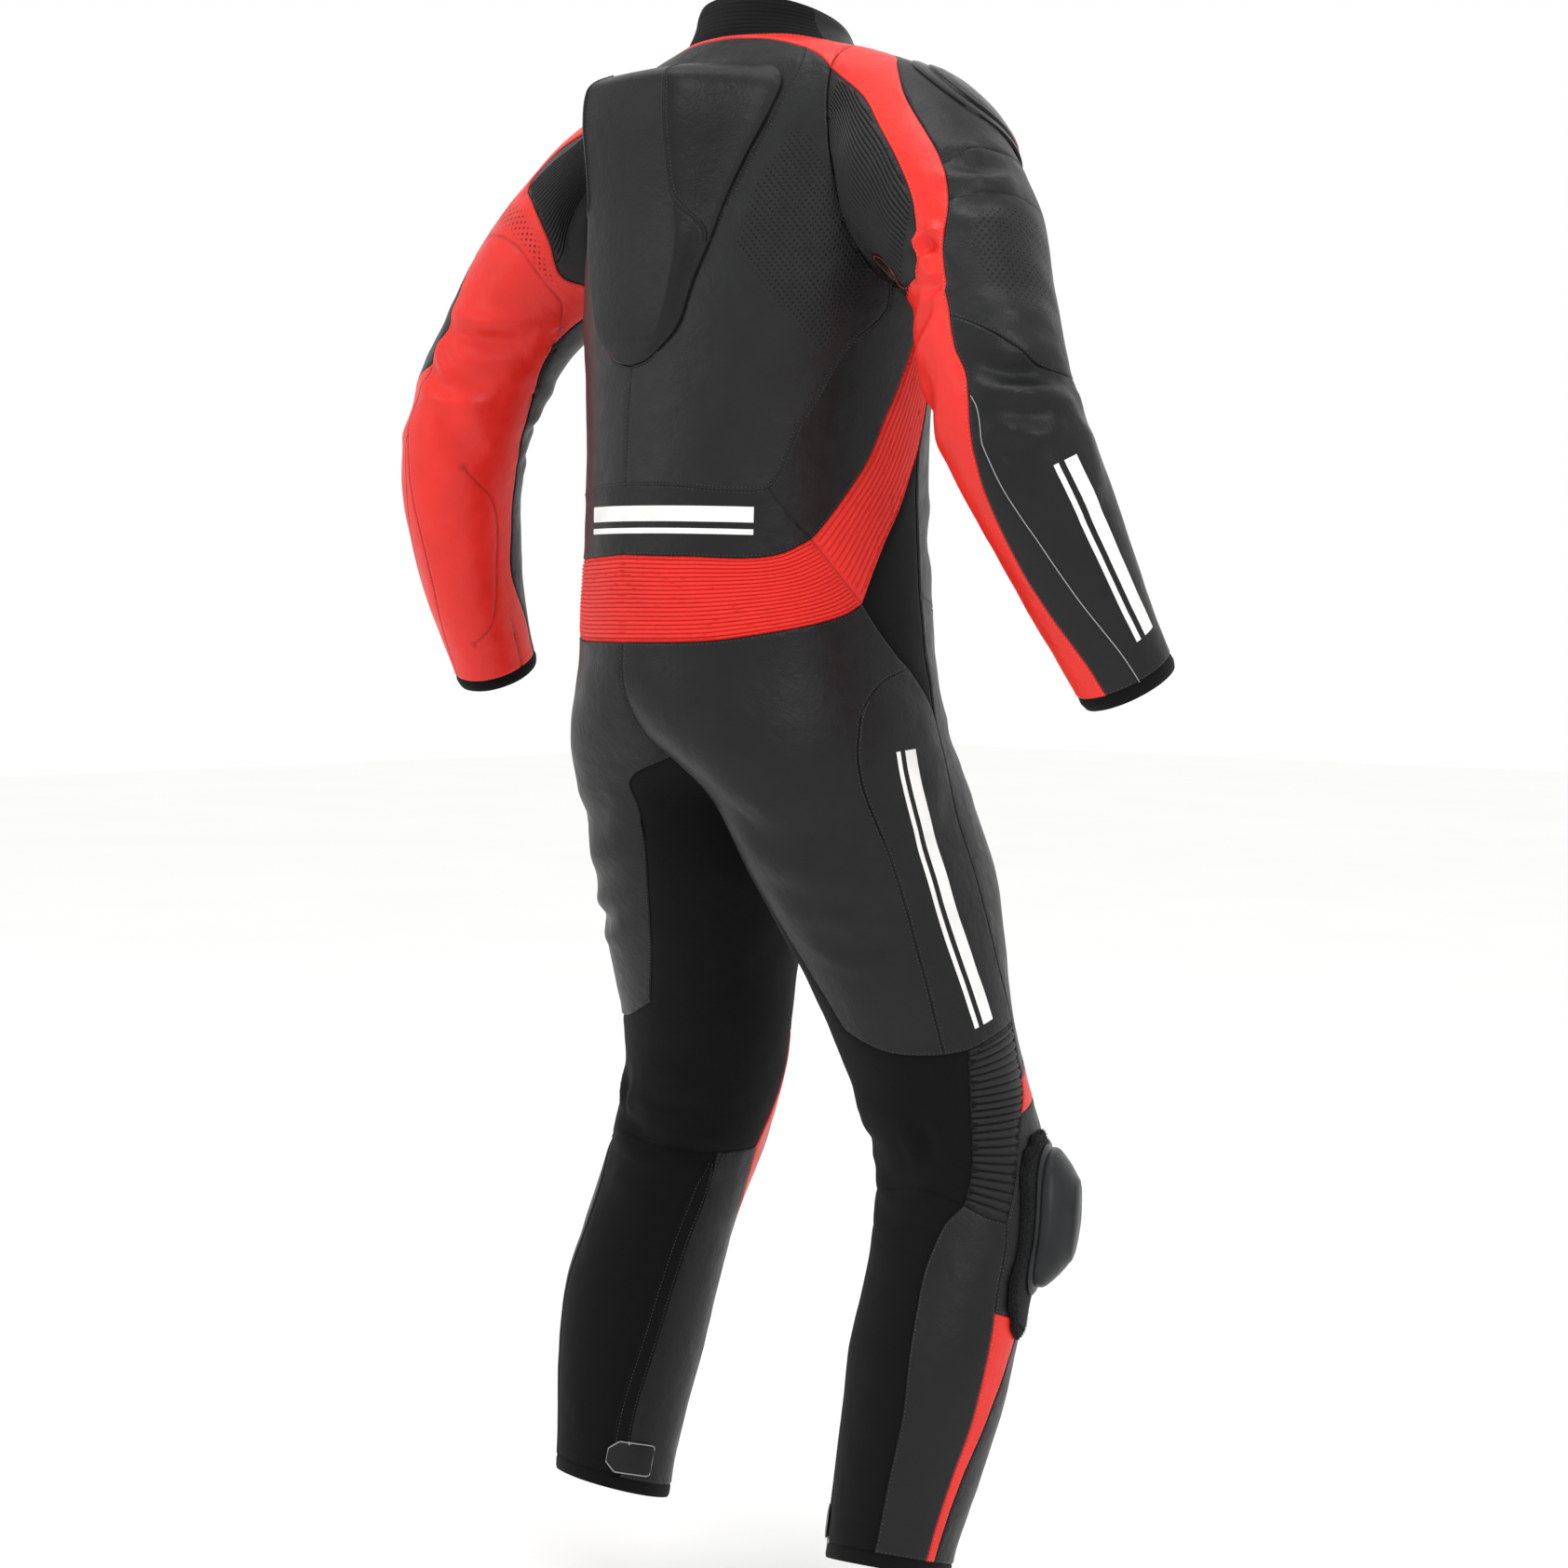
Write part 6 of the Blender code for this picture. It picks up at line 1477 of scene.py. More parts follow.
@dataclass
class CutPanels:
    """The suit's cut panels: thin shells whose edges roll into their seams."""

    suit: Suit
    workshop: Workshop
    # Height of a panel against its distance from its edge, both in mm: leather folds over, stretch lies below it
    leather_roll: Points = ((0.0, -1.0), (0.7, -0.35), (1.2, -0.05), (2.9, 0.22), (7.0, 0.0))
    stretch_roll: Points = ((0.0, -1.6), (1.2, -1.3), (2.9, -0.8), (7.0, 0.0))
    # Painted shade along a panel's edge: the colour's light level against the distance from the edge in mm
    shade: Points = ((0.0, 0.25), (0.9, 0.75), (2.0, 0.95), (3.0, 1.0))
    seam_reach: float = 8 * MM
    outer: dict[str, tuple[Array, Array, Array]] = field(default_factory=dict)

    def build(self) -> None:
        """Cut and lay every panel."""
        for panel in PANELS:
            for name, slot in panel.nodes:
                self.lay(panel, name, slot)

    def lay(self, panel: Panel, name: str, slot: str) -> None:
        """Lay one panel over the suit's form as a closed shell.

        Args:
            panel: The panel's cut.
            name: The model's node that it stands for.
            slot: The record's slot of its finish on this side.
        """
        net = self.suit.panels[name]
        used, local = np.unique(net.faces, return_inverse=True)
        faces = local.reshape(-1, 3)
        places, normals = self.suit.places[used], self.suit.normals[used]
        common, lift = self.suit.height[used], self.suit.lift[used]
        loops = boundary(faces)
        edge = self.edge_samples(places, loops)
        gap = near(edge, places) / MM
        roll = self.leather_roll if slot in (BLACK, RED) else self.stretch_roll
        rolled = np.interp(gap, [r[0] for r in roll], [r[1] for r in roll]) * MM
        groove = self.groove(panel, name, places)
        height = common + lift + rolled + panel.raised + groove
        outer = places + normals * height[:, None]
        inner = places + normals * (common - panel.wall)[:, None]
        count = len(used)
        rim = [(b, a, count + a, count + b) for loop in loops for a, b in zip(loop, loop[1:] + loop[:1])]
        every = [tuple(f) for f in faces.tolist()] + [tuple(f) for f in (faces[:, ::-1] + count).tolist()] + rim
        corner = net.corners.reshape(-1, 2)
        rim_corner = np.array([(0.0, 0.0)] * (4 * len(rim)))
        corners = np.concatenate([corner, net.corners[:, ::-1].reshape(-1, 2), rim_corner])
        # Painted shade: darker near the panel's edge, down between ribs and in sewn grooves
        lit_level = np.interp(gap, [r[0] for r in self.shade], [r[1] for r in self.shade])
        lit_level = lit_level * np.clip(1 + np.minimum(lift, 0) / (0.9 * MM), 0.25, 1) * np.clip(1 + groove / MM, 0.3, 1)
        # The shell's inner side is painted at a low, shaded light level of 0.35
        values = {"open_place": np.concatenate([lit_level, 0.35 * np.ones(count)]),
                  "near_seam": np.concatenate([np.exp(-gap * MM / self.seam_reach), np.zeros(count)])}
        finish = SLOT_OF[slot]
        if panel.name in RIBBED_BLACK:
            finish = "black_ribbed_stretch_leather"
        finishes, chosen = [finish], None
        zone = PUNCHED.get(panel.name) or PUNCHED.get(name)
        if zone:
            finishes = ["punched_black_cowhide" if slot == BLACK else "punched_red_cowhide"]
            values["punched"] = self.punched(*zone, net, local, count)
        if name in GUSSETS:
            dark = inside(net.corners.mean(1), closed_ring(*GUSSETS[name]))
            finishes, chosen = [finish, "pebbled_black_cowhide"], np.concatenate([dark, dark, np.zeros(len(rim), bool)])
        if panel.name == "collar":
            finishes = ["pebbled_black_cowhide", "black_collar_rib_knit"]
            knit = np.abs(net.corners[:, :, 0].mean(1)) < math.radians(KNIT_END) * TRUNK_RADIUS
            chosen = np.concatenate([knit, knit, np.zeros(len(rim), bool)])
        made = self.workshop.place(name + "_cut", np.concatenate([outer, inner]), every, finishes, slot, [name],
                                   corners, chosen, values)
        self.outer[name] = (outer, faces, edge)
        flat, area = self.flat_size(places, normals, faces, net)

    @staticmethod
    def edge_samples(places: Array, loops: list[list[int]]) -> Array:
        """Close points along a panel's edge, to measure distances from it."""
        shares = np.linspace(0, 1, 5, endpoint=False)[:, None, None]
        rows = []
        for loop in loops:
            a = places[loop]
            b = np.roll(a, -1, axis=0)
            rows.append((a + shares * (b - a)).reshape(-1, 3))
        return np.concatenate(rows)

    def groove(self, panel: Panel, name: str, places: Array) -> Array:
        """The shallow line of a tuck or a sewn edge that crosses a panel without parting it."""
        depth = np.zeros(len(places))
        for side in Side if panel.cut is Cut.ACROSS else (Side.LEFT if name.endswith("_l") else Side.RIGHT,):
            for seam in (s for s in SEAMS if s.marks == panel.name and s.side in (None, side)):
                line = self.suit.nets[side][seam.chart].laid[seam.name].path
                samples = FORM.at(seam.chart, along(line, filled([0, lengths(line)[-1]], 1.5 * MM)))
                gap = near(samples * (side.value, 1, 1), places)
                depth = np.minimum(depth, -0.8 * MM * np.exp(-(gap / (1.1 * MM)) ** 2))
        return depth

    @staticmethod
    def punched(chart: Chart, outline: Points, net: PanelNet, local: Array,
                count: int) -> Array:
        """Where a panel's points lie in its punched part: 1 well inside, 0 outside."""
        ring = closed_ring(chart, outline)
        spots = np.zeros((count, 2))
        spots[local.ravel()] = net.corners.reshape(-1, 2)
        within = inside(spots, ring)
        value = np.where(within, np.clip(near(ring, spots) / (5 * MM), 0, 1), 0.0)
        return np.concatenate([value, np.zeros(count)])

    @staticmethod
    def flat_size(places: Array, normals: Array, faces: Array, net: PanelNet) -> tuple[tuple[float, float], float]:
        """The size of a panel laid flat: the sides of the rectangle round its cut, and the cut's area.
        """
        a, b, c = (places[faces[:, k]] for k in range(3))
        area = float(np.linalg.norm(np.cross(b - a, c - a), axis=1).sum() / 2)
        corner = net.corners
        one, two = corner[:, 1] - corner[:, 0], corner[:, 2] - corner[:, 0]
        charted = float(np.abs(one[:, 0] * two[:, 1] - one[:, 1] * two[:, 0]).sum() / 2)
        spots = corner.reshape(-1, 2)
        spots = spots - spots.mean(0)
        way = np.linalg.svd(spots[::7], full_matrices=False)[2]
        extent = np.ptp(spots @ way.T, axis=0) * math.sqrt(area / charted)
        length, width = float(extent.max()), float(extent.min())
        least, most = FLAT_SHARES
        width = max(min(width, area / (least * length)), area / (most * length))
        return (width, length), area


@dataclass
class Topstitching:
    """Rows of lockstitch a little inside the edges of the leather panels."""

    panels: CutPanels
    inset: float = 2.4 * MM
    pitch: float = 3.7 * MM

    def build(self) -> None:
        """Sew the rows, in thread of each panel's own colour."""
        for slot, thread in ((BLACK, "black_sewing_thread"), (RED, "red_sewing_thread")):
            rows = [row for panel in PANELS if panel.stitched for name, own in panel.nodes if own == slot
                    for row in self.row(name)]
            places, faces = lozenges(rows)
            self.panels.workshop.place(f"topstitching_{slot}", places, faces, [thread], slot, sharp=80)

    def row(self, name: str) -> Rows:
        """The stitches along one panel's edges: their middles, their ways and the directions out."""
        outer, faces, edge = self.panels.outer[name]
        tree = BVHTree.FromPolygons(outer.tolist(), faces.tolist())
        found = []
        for loop in boundary(faces):
            ring = outer[loop + loop[:1]]
            count = int(lengths(ring)[-1] / self.pitch)
            middle = along(ring, (np.arange(count) + 0.5) * self.pitch)
            way = unit(along(ring, (np.arange(count) + 1.4) * self.pitch)
                       - along(ring, np.maximum((np.arange(count) - 0.4) * self.pitch, 0)))
            spots, outs = self.on(tree, middle)
            spots, outs = self.on(tree, middle + np.cross(outs, way) * self.inset)
            found.append((spots, way, outs))
        kept = []
        for spots, way, outs in found:
            clear = near(edge, spots) > 0.6 * self.inset
            kept.append((spots[clear], way[clear], outs[clear]))
        return kept

    @staticmethod
    def on(tree: BVHTree, places: Array) -> tuple[Array, Array]:
        """The nearest places on a surface and its directions out there."""
        hits = [tree.find_nearest(Vector(p)) for p in places.tolist()]
        return tuple(np.array([tuple(h[k]) for h in hits]).reshape(-1, 3) for k in (0, 1))


@dataclass
class Surface:
    """The dressed suit as one surface, for what is laid on it."""

    suit: Suit

    @cached_property
    def tree(self) -> BVHTree:
        """The whole surface, with its creases and ribs."""
        places = self.suit.places + self.suit.normals * (self.suit.height + self.suit.lift)[:, None]
        faces = np.concatenate([net.faces for net in self.suit.panels.values()])
        return BVHTree.FromPolygons(places.tolist(), faces.tolist())

    def on(self, places: Array) -> Array:
        """The nearest places on the suit."""
        shape = places.shape
        hits = [self.tree.find_nearest(Vector(p))[0] for p in places.reshape(-1, 3).tolist()]
        return np.array([tuple(h) for h in hits]).reshape(shape)

    def path(self, chart: Chart, points: Points, side: Side = Side.LEFT,
             spacing: float = 3 * MM) -> tuple[Array, Array]:
        """A line on the suit.

        Args:
            chart: The chart that it is drawn on.
            points: A few points of it, the trunk's in degrees.
            side: The wearer's side.
            spacing: Between its points.

        Returns:
            Its places and the directions out.
        """
        line = drawn(FORM.metres(chart, points))
        line = along(line, filled([0, lengths(line)[-1]], spacing))
        places, normals = FORM.with_normals(chart, line)
        flip = (side.value, 1, 1)
        return self.on(places * flip), normals * flip

    def ribbon(self, places: Array, normals: Array, width: Array | float, thick: float, lift: float = 0.2 * MM,
               columns: int = 7, crown: float = 0.0) -> Mesh:
        """A strip laid along a line on the suit, closed all round.

        Args:
            places: The line.
            normals: The directions out along it.
            width: Its width, or one for each place.
            thick: Its thickness.
            lift: How far its underside stands off the suit.
            columns: How many points lie across it.
            crown: How much higher its middle is than its edges.

        Returns:
            Its points and faces.
        """
        side = unit(np.cross(normals, np.gradient(places, axis=0)))
        share = np.linspace(-0.5, 0.5, columns)
        spread = share[None, :, None] * np.broadcast_to(width, len(places))[:, None, None]
        low = self.on(places[:, None] + side[:, None] * spread) + normals[:, None] * lift
        rise = thick + crown * (1 - (2 * share) ** 2)
        rise[[0, -1]] = 0.35 * thick
        return shell(low, low + normals[:, None] * rise[None, :, None])


def shell(low: Array, high: Array) -> Mesh:
    """Close two nets of the same rows and columns into one shell: its points and its faces."""
    rows, columns = low.shape[:2]
    count = rows * columns
    k = np.arange(count).reshape(rows, columns)
    a, b, c, d = (part.ravel() for part in (k[:-1, :-1], k[:-1, 1:], k[1:, 1:], k[1:, :-1]))
    faces = list(zip(*(x.tolist() for x in (count + a, count + b, count + c, count + d))))
    faces += list(zip(*(x.tolist() for x in (d, c, b, a))))
    rim = [*k[0, :], *k[1:, -1], *k[-1, -2::-1], *k[-2:0:-1, 0]]
    faces += [(int(p), int(q), int(count + q), int(count + p)) for p, q in zip(rim, rim[1:] + rim[:1])]
    return np.concatenate([low.reshape(-1, 3), high.reshape(-1, 3)]), faces


def tube(places: Array, normals: Array, across: float, rise: float, sink: float = 0.3 * MM,
         closed: bool = False) -> Mesh:
    """A rounded cord along a line.

    Args:
        places: The line.
        normals: The directions out along it.
        across: Half its width.
        rise: Its height over the line.
        sink: Its depth below the line.
        closed: Whether it is a ring.

    Returns:
        Its points and faces.
    """
    step = np.roll(places, -1, 0) - np.roll(places, 1, 0) if closed else np.gradient(places, axis=0)
    side = unit(np.cross(normals, step))
    turn = np.arange(8) * math.pi / 4
    up = np.where(np.sin(turn) > 0, rise * np.sin(turn), sink * np.sin(turn))
    ring = (places[:, None] + side[:, None] * (across * np.cos(turn))[None, :, None]
            + normals[:, None] * up[None, :, None])
    rows = len(places)
    faces = []
    for j in range(rows if closed else rows - 1):
        nxt = (j + 1) % rows
        faces += [(j * 8 + i, j * 8 + (i + 1) % 8, nxt * 8 + (i + 1) % 8, nxt * 8 + i) for i in range(8)]
    if not closed:
        faces += [tuple(range(7, -1, -1)), tuple((rows - 1) * 8 + i for i in range(8))]
    return ring.reshape(-1, 3), faces


def joined(parts: Sequence[Mesh]) -> Mesh:
    """Several meshes as one."""
    places, faces, first = [], [], 0
    for points, net in parts:
        places.append(points)
        faces += [tuple(first + k for k in face) for face in net]
        first += len(points)
    return np.concatenate(places), faces


@dataclass
class BackHump:
    """The stiff padded shield between the shoulders, with a piped crown and sides that slope to its foot."""

    workshop: Workshop
    surface: Surface
    rows: int = 110
    columns: int = 72
    seat: float = 0.8 * MM
    edge: float = 2.5 * MM
    tip: float = 0.048              # metres up the chart over which the lower end rounds off
    top_round: float = 0.024        # over which the upper end rounds off
    corner: float = 0.040           # over which the upper corners round off
    piping: float = 1.9 * MM        # half width of the cord along the crown's edge
    piping_inset: float = 0.98      # of the crown's half width

    def build(self) -> None:
        """Make the shield and the piping on it."""
        low, high = self.nets()
        places, faces = shell(low[:, ::-1], high[:, ::-1])
        made = self.workshop.place("hump_shield", places, faces, ["pebbled_black_cowhide"], BLACK, ["hump"])
        tree = BVHTree.FromPolygons(places.tolist(), faces)
        cords, rows = [], []
        for side in Side:
            line, normals = self.crown_line(tree, side)
            cords.append(tube(line, normals, self.piping, 1.5 * MM))
            rows += [self.stitch_line(tree, line, normals, offset) for offset in (-4.2 * MM, 4.2 * MM)]
        places, faces = joined(cords)
        self.workshop.place("hump_piping", places, faces, ["pebbled_black_cowhide"], BLACK)
        places, faces = lozenges(rows)
        self.workshop.place("hump_stitches", places, faces, ["black_sewing_thread"], BLACK, sharp=80)

    def nets(self) -> tuple[Array, Array]:
        """The underside, which follows the back, and the shield's own face."""
        low, high = HUMP[0, 0], HUMP[-1, 0]
        v = low + (high - low) * (1 - np.cos(np.linspace(0, math.pi, self.rows))) / 2
        crown, foot, rise = (smooth(HUMP, k, v)[:, None] for k in (1, 2, 3))
        narrow = (1 - np.clip(1 - (v - low) / self.tip, 0, 1) ** 2.6) ** (1 / 2.6)
        narrow = np.maximum(narrow, 0.02) * self.shoulders(v)
        narrow = narrow[:, None]
        crown, foot = crown * narrow, foot * narrow
        width = foot * np.linspace(-1, 1, self.columns)[None]
        angle = np.arcsin(width / smooth(TRUNK, 2, v)[:, None])
        places, normals = FORM.with_normals(Chart.TRUNK, np.stack(
            [angle * TRUNK_RADIUS, np.broadcast_to(v[:, None], angle.shape)], -1))
        lower = places + normals * self.seat
        slope = ease((foot - np.abs(width)) / (foot - crown))
        end = np.sqrt(1 - (1 - np.clip((high - v) / self.top_round, 0, 1)) ** 2)[:, None]
        start = ease((v - low) / (0.5 * self.tip))[:, None]
        height = (self.edge + (rise - self.edge) * slope) * (0.25 + 0.75 * end) * (0.35 + 0.65 * start)
        out = np.array([0.0, 1.0, 0.0])
        return lower, lower + out * height[..., None]

    def shoulders(self, v: Array) -> Array:
        """The share of its full width that the shield has near its upper end."""
        return 0.70 + 0.30 * np.sqrt(1 - (1 - np.clip((HUMP[-1, 0] - v) / self.corner, 0, 1)) ** 2)

    def crown_line(self, tree: BVHTree, side: Side) -> tuple[Array, Array]:
        """The line along one edge of the crown, running out to the foot lower down."""
        v = np.linspace(1.303, HUMP[-1, 0] - 0.006, 90)
        crown, foot = (smooth(HUMP, k, v) * self.shoulders(v) for k in (1, 2))
        flare = ease((1.350 - v) / 0.047)
        width = crown * self.piping_inset * (1 - flare) + foot * 0.97 * flare
        angle = np.arcsin(width / smooth(TRUNK, 2, v)) * side.value
        places = FORM.trunk_at(angle, v)
        hits = [tree.ray_cast(Vector(p) + Vector((0, 0.25, 0)), Vector((0, -1, 0))) for p in places.tolist()]
        line = np.array([tuple(h[0]) if h[0] else tuple(p) for h, p in zip(hits, places)])
        normals = np.array([tuple(h[1]) if h[0] else (0.0, 1.0, 0.0) for h in hits])
        for _ in range(6):
            normals[1:-1] = (normals[:-2] + normals[1:-1] + normals[2:]) / 3
            line[1:-1] = (line[:-2] + line[1:-1] + line[2:]) / 3
        return line, unit(normals)

    @staticmethod
    def stitch_line(tree: BVHTree, line: Array, normals: Array, offset: float) -> tuple[Array, Array, Array]:
        """A row of stitches beside the piping."""
        pitch = 3.7 * MM
        count = int(lengths(line)[-1] / pitch)
        at = (np.arange(count) + 0.5) * pitch
        middle, out = along(line, at), unit(along(np.concatenate([line, normals], 1), at)[:, 3:])
        way = unit(np.gradient(middle, axis=0))
        hits = [tree.find_nearest(Vector(p)) for p in (middle + np.cross(out, way) * offset).tolist()]
        return np.array([tuple(h[0]) for h in hits]), way, np.array([tuple(h[1]) for h in hits])


@dataclass
class ShapedPad:
    """A moulded piece on a chart: an outline like a rounded rectangle and a profile from its middle to its rim."""

    workshop: Workshop
    surface: Surface
    chart: Chart
    middle: tuple[float, float]
    half: tuple[float, float]       # metres across and up the chart
    power: float                    # 2 for an oval, more for squarer corners
    lift: float
    profile: Points      # share of the way out, and height
    sides: int = 96
    uneven: Callable[[Array], Array] | None = None      # the outline's own notches, by angle
    sink: float = 0.4 * MM

    def nets(self, side: Side, window: tuple[float, float, float, float] | None = None,
             more: float = 0.0) -> tuple[Array, Array]:
        """The pad's underside and face.

        Args:
            side: The wearer's side.
            window: The part to make, as two shares of the way out and two angles; all of it if not given.
            more: Height added to the face.

        Returns:
            Both nets, a row for each ring.
        """
        start, stop, first, last = window or (0.0, 1.0, 0.0, 2 * math.pi)
        angle = np.linspace(first, last, self.sides + 1)
        share = np.unique(np.concatenate([[max(start, 0.01)], [p[0] for p in self.profile if start < p[0] <= stop],
                                          np.linspace(start, stop, 12)[1:]]))[:, None]
        c, s = np.cos(angle), np.sin(angle)
        bulge = self.uneven(angle) if self.uneven else np.ones(len(angle))
        x = np.sign(c) * np.abs(c) ** (2 / self.power) * self.half[0] * bulge
        y = np.sign(s) * np.abs(s) ** (2 / self.power) * self.half[1] * bulge
        middle = FORM.metres(self.chart, self.middle)
        places, normals = FORM.with_normals(self.chart, np.stack([middle[0] + share * x, middle[1] + share * y], -1))
        height = np.interp(share, [p[0] for p in self.profile], [p[1] for p in self.profile]) + more
        flip = (side.value, 1, 1)
        low = (places + normals * (self.lift - self.sink)) * flip
        high = (places + normals * (self.lift + height[..., None])) * flip
        return (low[:, ::-1], high[:, ::-1]) if side is Side.LEFT else (low, high)

    def lay(self, name: str, finish: str, slot: str, side: Side, stands_for: Sequence[str] = (),
            window: tuple[float, float, float, float] | None = None, more: float = 0.0,
            sharp: float = 35) -> bpy.types.Object:
        """Make the pad, or a window of it, as one piece."""
        low, high = self.nets(side, window, more)
        places, faces = shell(low, high)
        return self.workshop.place(name, places, faces, [finish], slot, stands_for, sharp=sharp)


@dataclass
class ShoulderPlates:
    """Hard plates let into the tops of both sleeves, each with a coloured arc."""

    workshop: Workshop
    surface: Surface

    def build(self) -> None:
        """Make both plates."""
        for side, end in ((Side.LEFT, "l"), (Side.RIGHT, "r")):
            plate = ShapedPad(self.workshop, self.surface, A, (-0.055, 0.060), (0.046, 0.029), 2.6, 2.1 * MM,
                              [(0, 8.5 * MM), (0.35, 8.1 * MM), (0.62, 6.8 * MM), (0.74, 5.6 * MM), (0.77, 5.2 * MM),
                               (0.80, 3.4 * MM), (0.94, 2.9 * MM), (0.98, 2.3 * MM), (1.0, 0.6 * MM)])
            plate.lay(f"shoulder_plate_{end}_moulding", "glossy_black_plate", "black_plastic", side,
                      [f"shoulder_plate_{end}"])
            plate.lay(f"shoulder_insert_{end}", "glossy_red_insert", "red_leather", side,
                      window=(0.50, 0.72, 1.9, 4.6), more=0.5 * MM)


@dataclass
class KneeSliders:
    """Hook tape with a fuzzy rim and a wear puck on each knee."""

    workshop: Workshop
    surface: Surface
    tufts: int = 5200

    @staticmethod
    def ragged(angle: Array) -> Array:
        """The hook tape's hand-cut outline."""
        return 1 + 0.035 * np.sin(3 * angle + 0.6) + 0.02 * np.sin(7 * angle + 1.9) + 0.012 * np.sin(17 * angle)

    @staticmethod
    def notched(angle: Array) -> Array:
        """The puck's foot plate, with a notch at each end of its sides."""
        return 1 - 0.05 * np.exp(-(np.sin(2 * angle) / 0.25) ** 2) * (np.abs(np.sin(angle)) > 0.3)

    def build(self) -> None:
        """Make both knees."""
        for side, end in ((Side.LEFT, "l"), (Side.RIGHT, "r")):
            tape = ShapedPad(self.workshop, self.surface, L, (0.608, 0.412), (0.062, 0.086), 3.0, 1.8 * MM,
                             [(0, 3.0 * MM), (0.9, 2.8 * MM), (0.97, 2.3 * MM), (1.0, 0.5 * MM)],
                             uneven=self.ragged)
            tape.lay(f"slider_base_{end}_tape", "black_hook_tape", "hook_tape", side, [f"slider_base_{end}"])
            self.stubble(tape, end, side)
            foot = ShapedPad(self.workshop, self.surface, L, (0.612, 0.422), (0.047, 0.064), 3.2, 5.6 * MM,
                             [(0, 3.2 * MM), (0.95, 3.2 * MM), (1.0, 1.6 * MM)], uneven=self.notched)
            foot.lay(f"slider_foot_{end}", "satin_slider_puck", "black_plastic", side)
            puck = ShapedPad(self.workshop, self.surface, L, (0.612, 0.422), (0.042, 0.057), 3.0, 6.0 * MM,
                             [(0, 28.0 * MM), (0.40, 27.4 * MM), (0.52, 26.2 * MM), (0.56, 24.6 * MM),
                              (0.74, 19.0 * MM), (0.86, 14.4 * MM), (0.95, 10.4 * MM), (0.985, 7.5 * MM),
                              (1.0, 3.0 * MM)])
            puck.lay(f"knee_slider_{end}_puck", "satin_slider_puck", "black_plastic", side, [f"knee_slider_{end}"],
                     sharp=28)

    def stubble(self, tape: ShapedPad, end: str, side: Side) -> None:
        """Short bent fibres over the tape, thickest at its rim."""
        low, high = tape.nets(side)
        middle = high.reshape(-1, 3).mean(0)
        chance = np.random.default_rng(11)
        rings, sides = high.shape[:2]
        ring = rings - 1 - np.abs(chance.normal(0, 2.2, self.tufts))
        ring = np.clip(ring, rings * 0.45, rings - 1.001)
        turn = chance.uniform(0, sides - 1.001, self.tufts)
        i, j = ring.astype(int), turn.astype(int)
        a, b = (ring - i)[:, None], (turn - j)[:, None]
        root = ((1 - a) * (1 - b) * high[i, j] + a * (1 - b) * high[i + 1, j] + (1 - a) * b * high[i, j + 1]
                + a * b * high[i + 1, j + 1])
        out = unit(high[i, j] - low[i, j])
        lean = unit(chance.normal(0, 1, (self.tufts, 3)) + 0.5 * unit(root - middle))
        tip = root + (0.8 * out + 0.8 * lean) * chance.uniform(1.0 * MM, 2.3 * MM, self.tufts)[:, None]
        across = unit(np.cross(out, lean)) * 0.16 * MM
        corners = np.stack([root - across, root + across, tip, root + np.cross(out, across)], 1)
        shape = np.array([(0, 1, 2), (1, 3, 2), (3, 0, 2), (0, 3, 1)])
        faces = (np.arange(self.tufts)[:, None, None] * 4 + shape[None]).reshape(-1, 3)
        self.workshop.place(f"slider_stubble_{end}", corners.reshape(-1, 3), faces, ["black_hook_tape"],
                            "hook_tape", sharp=80)


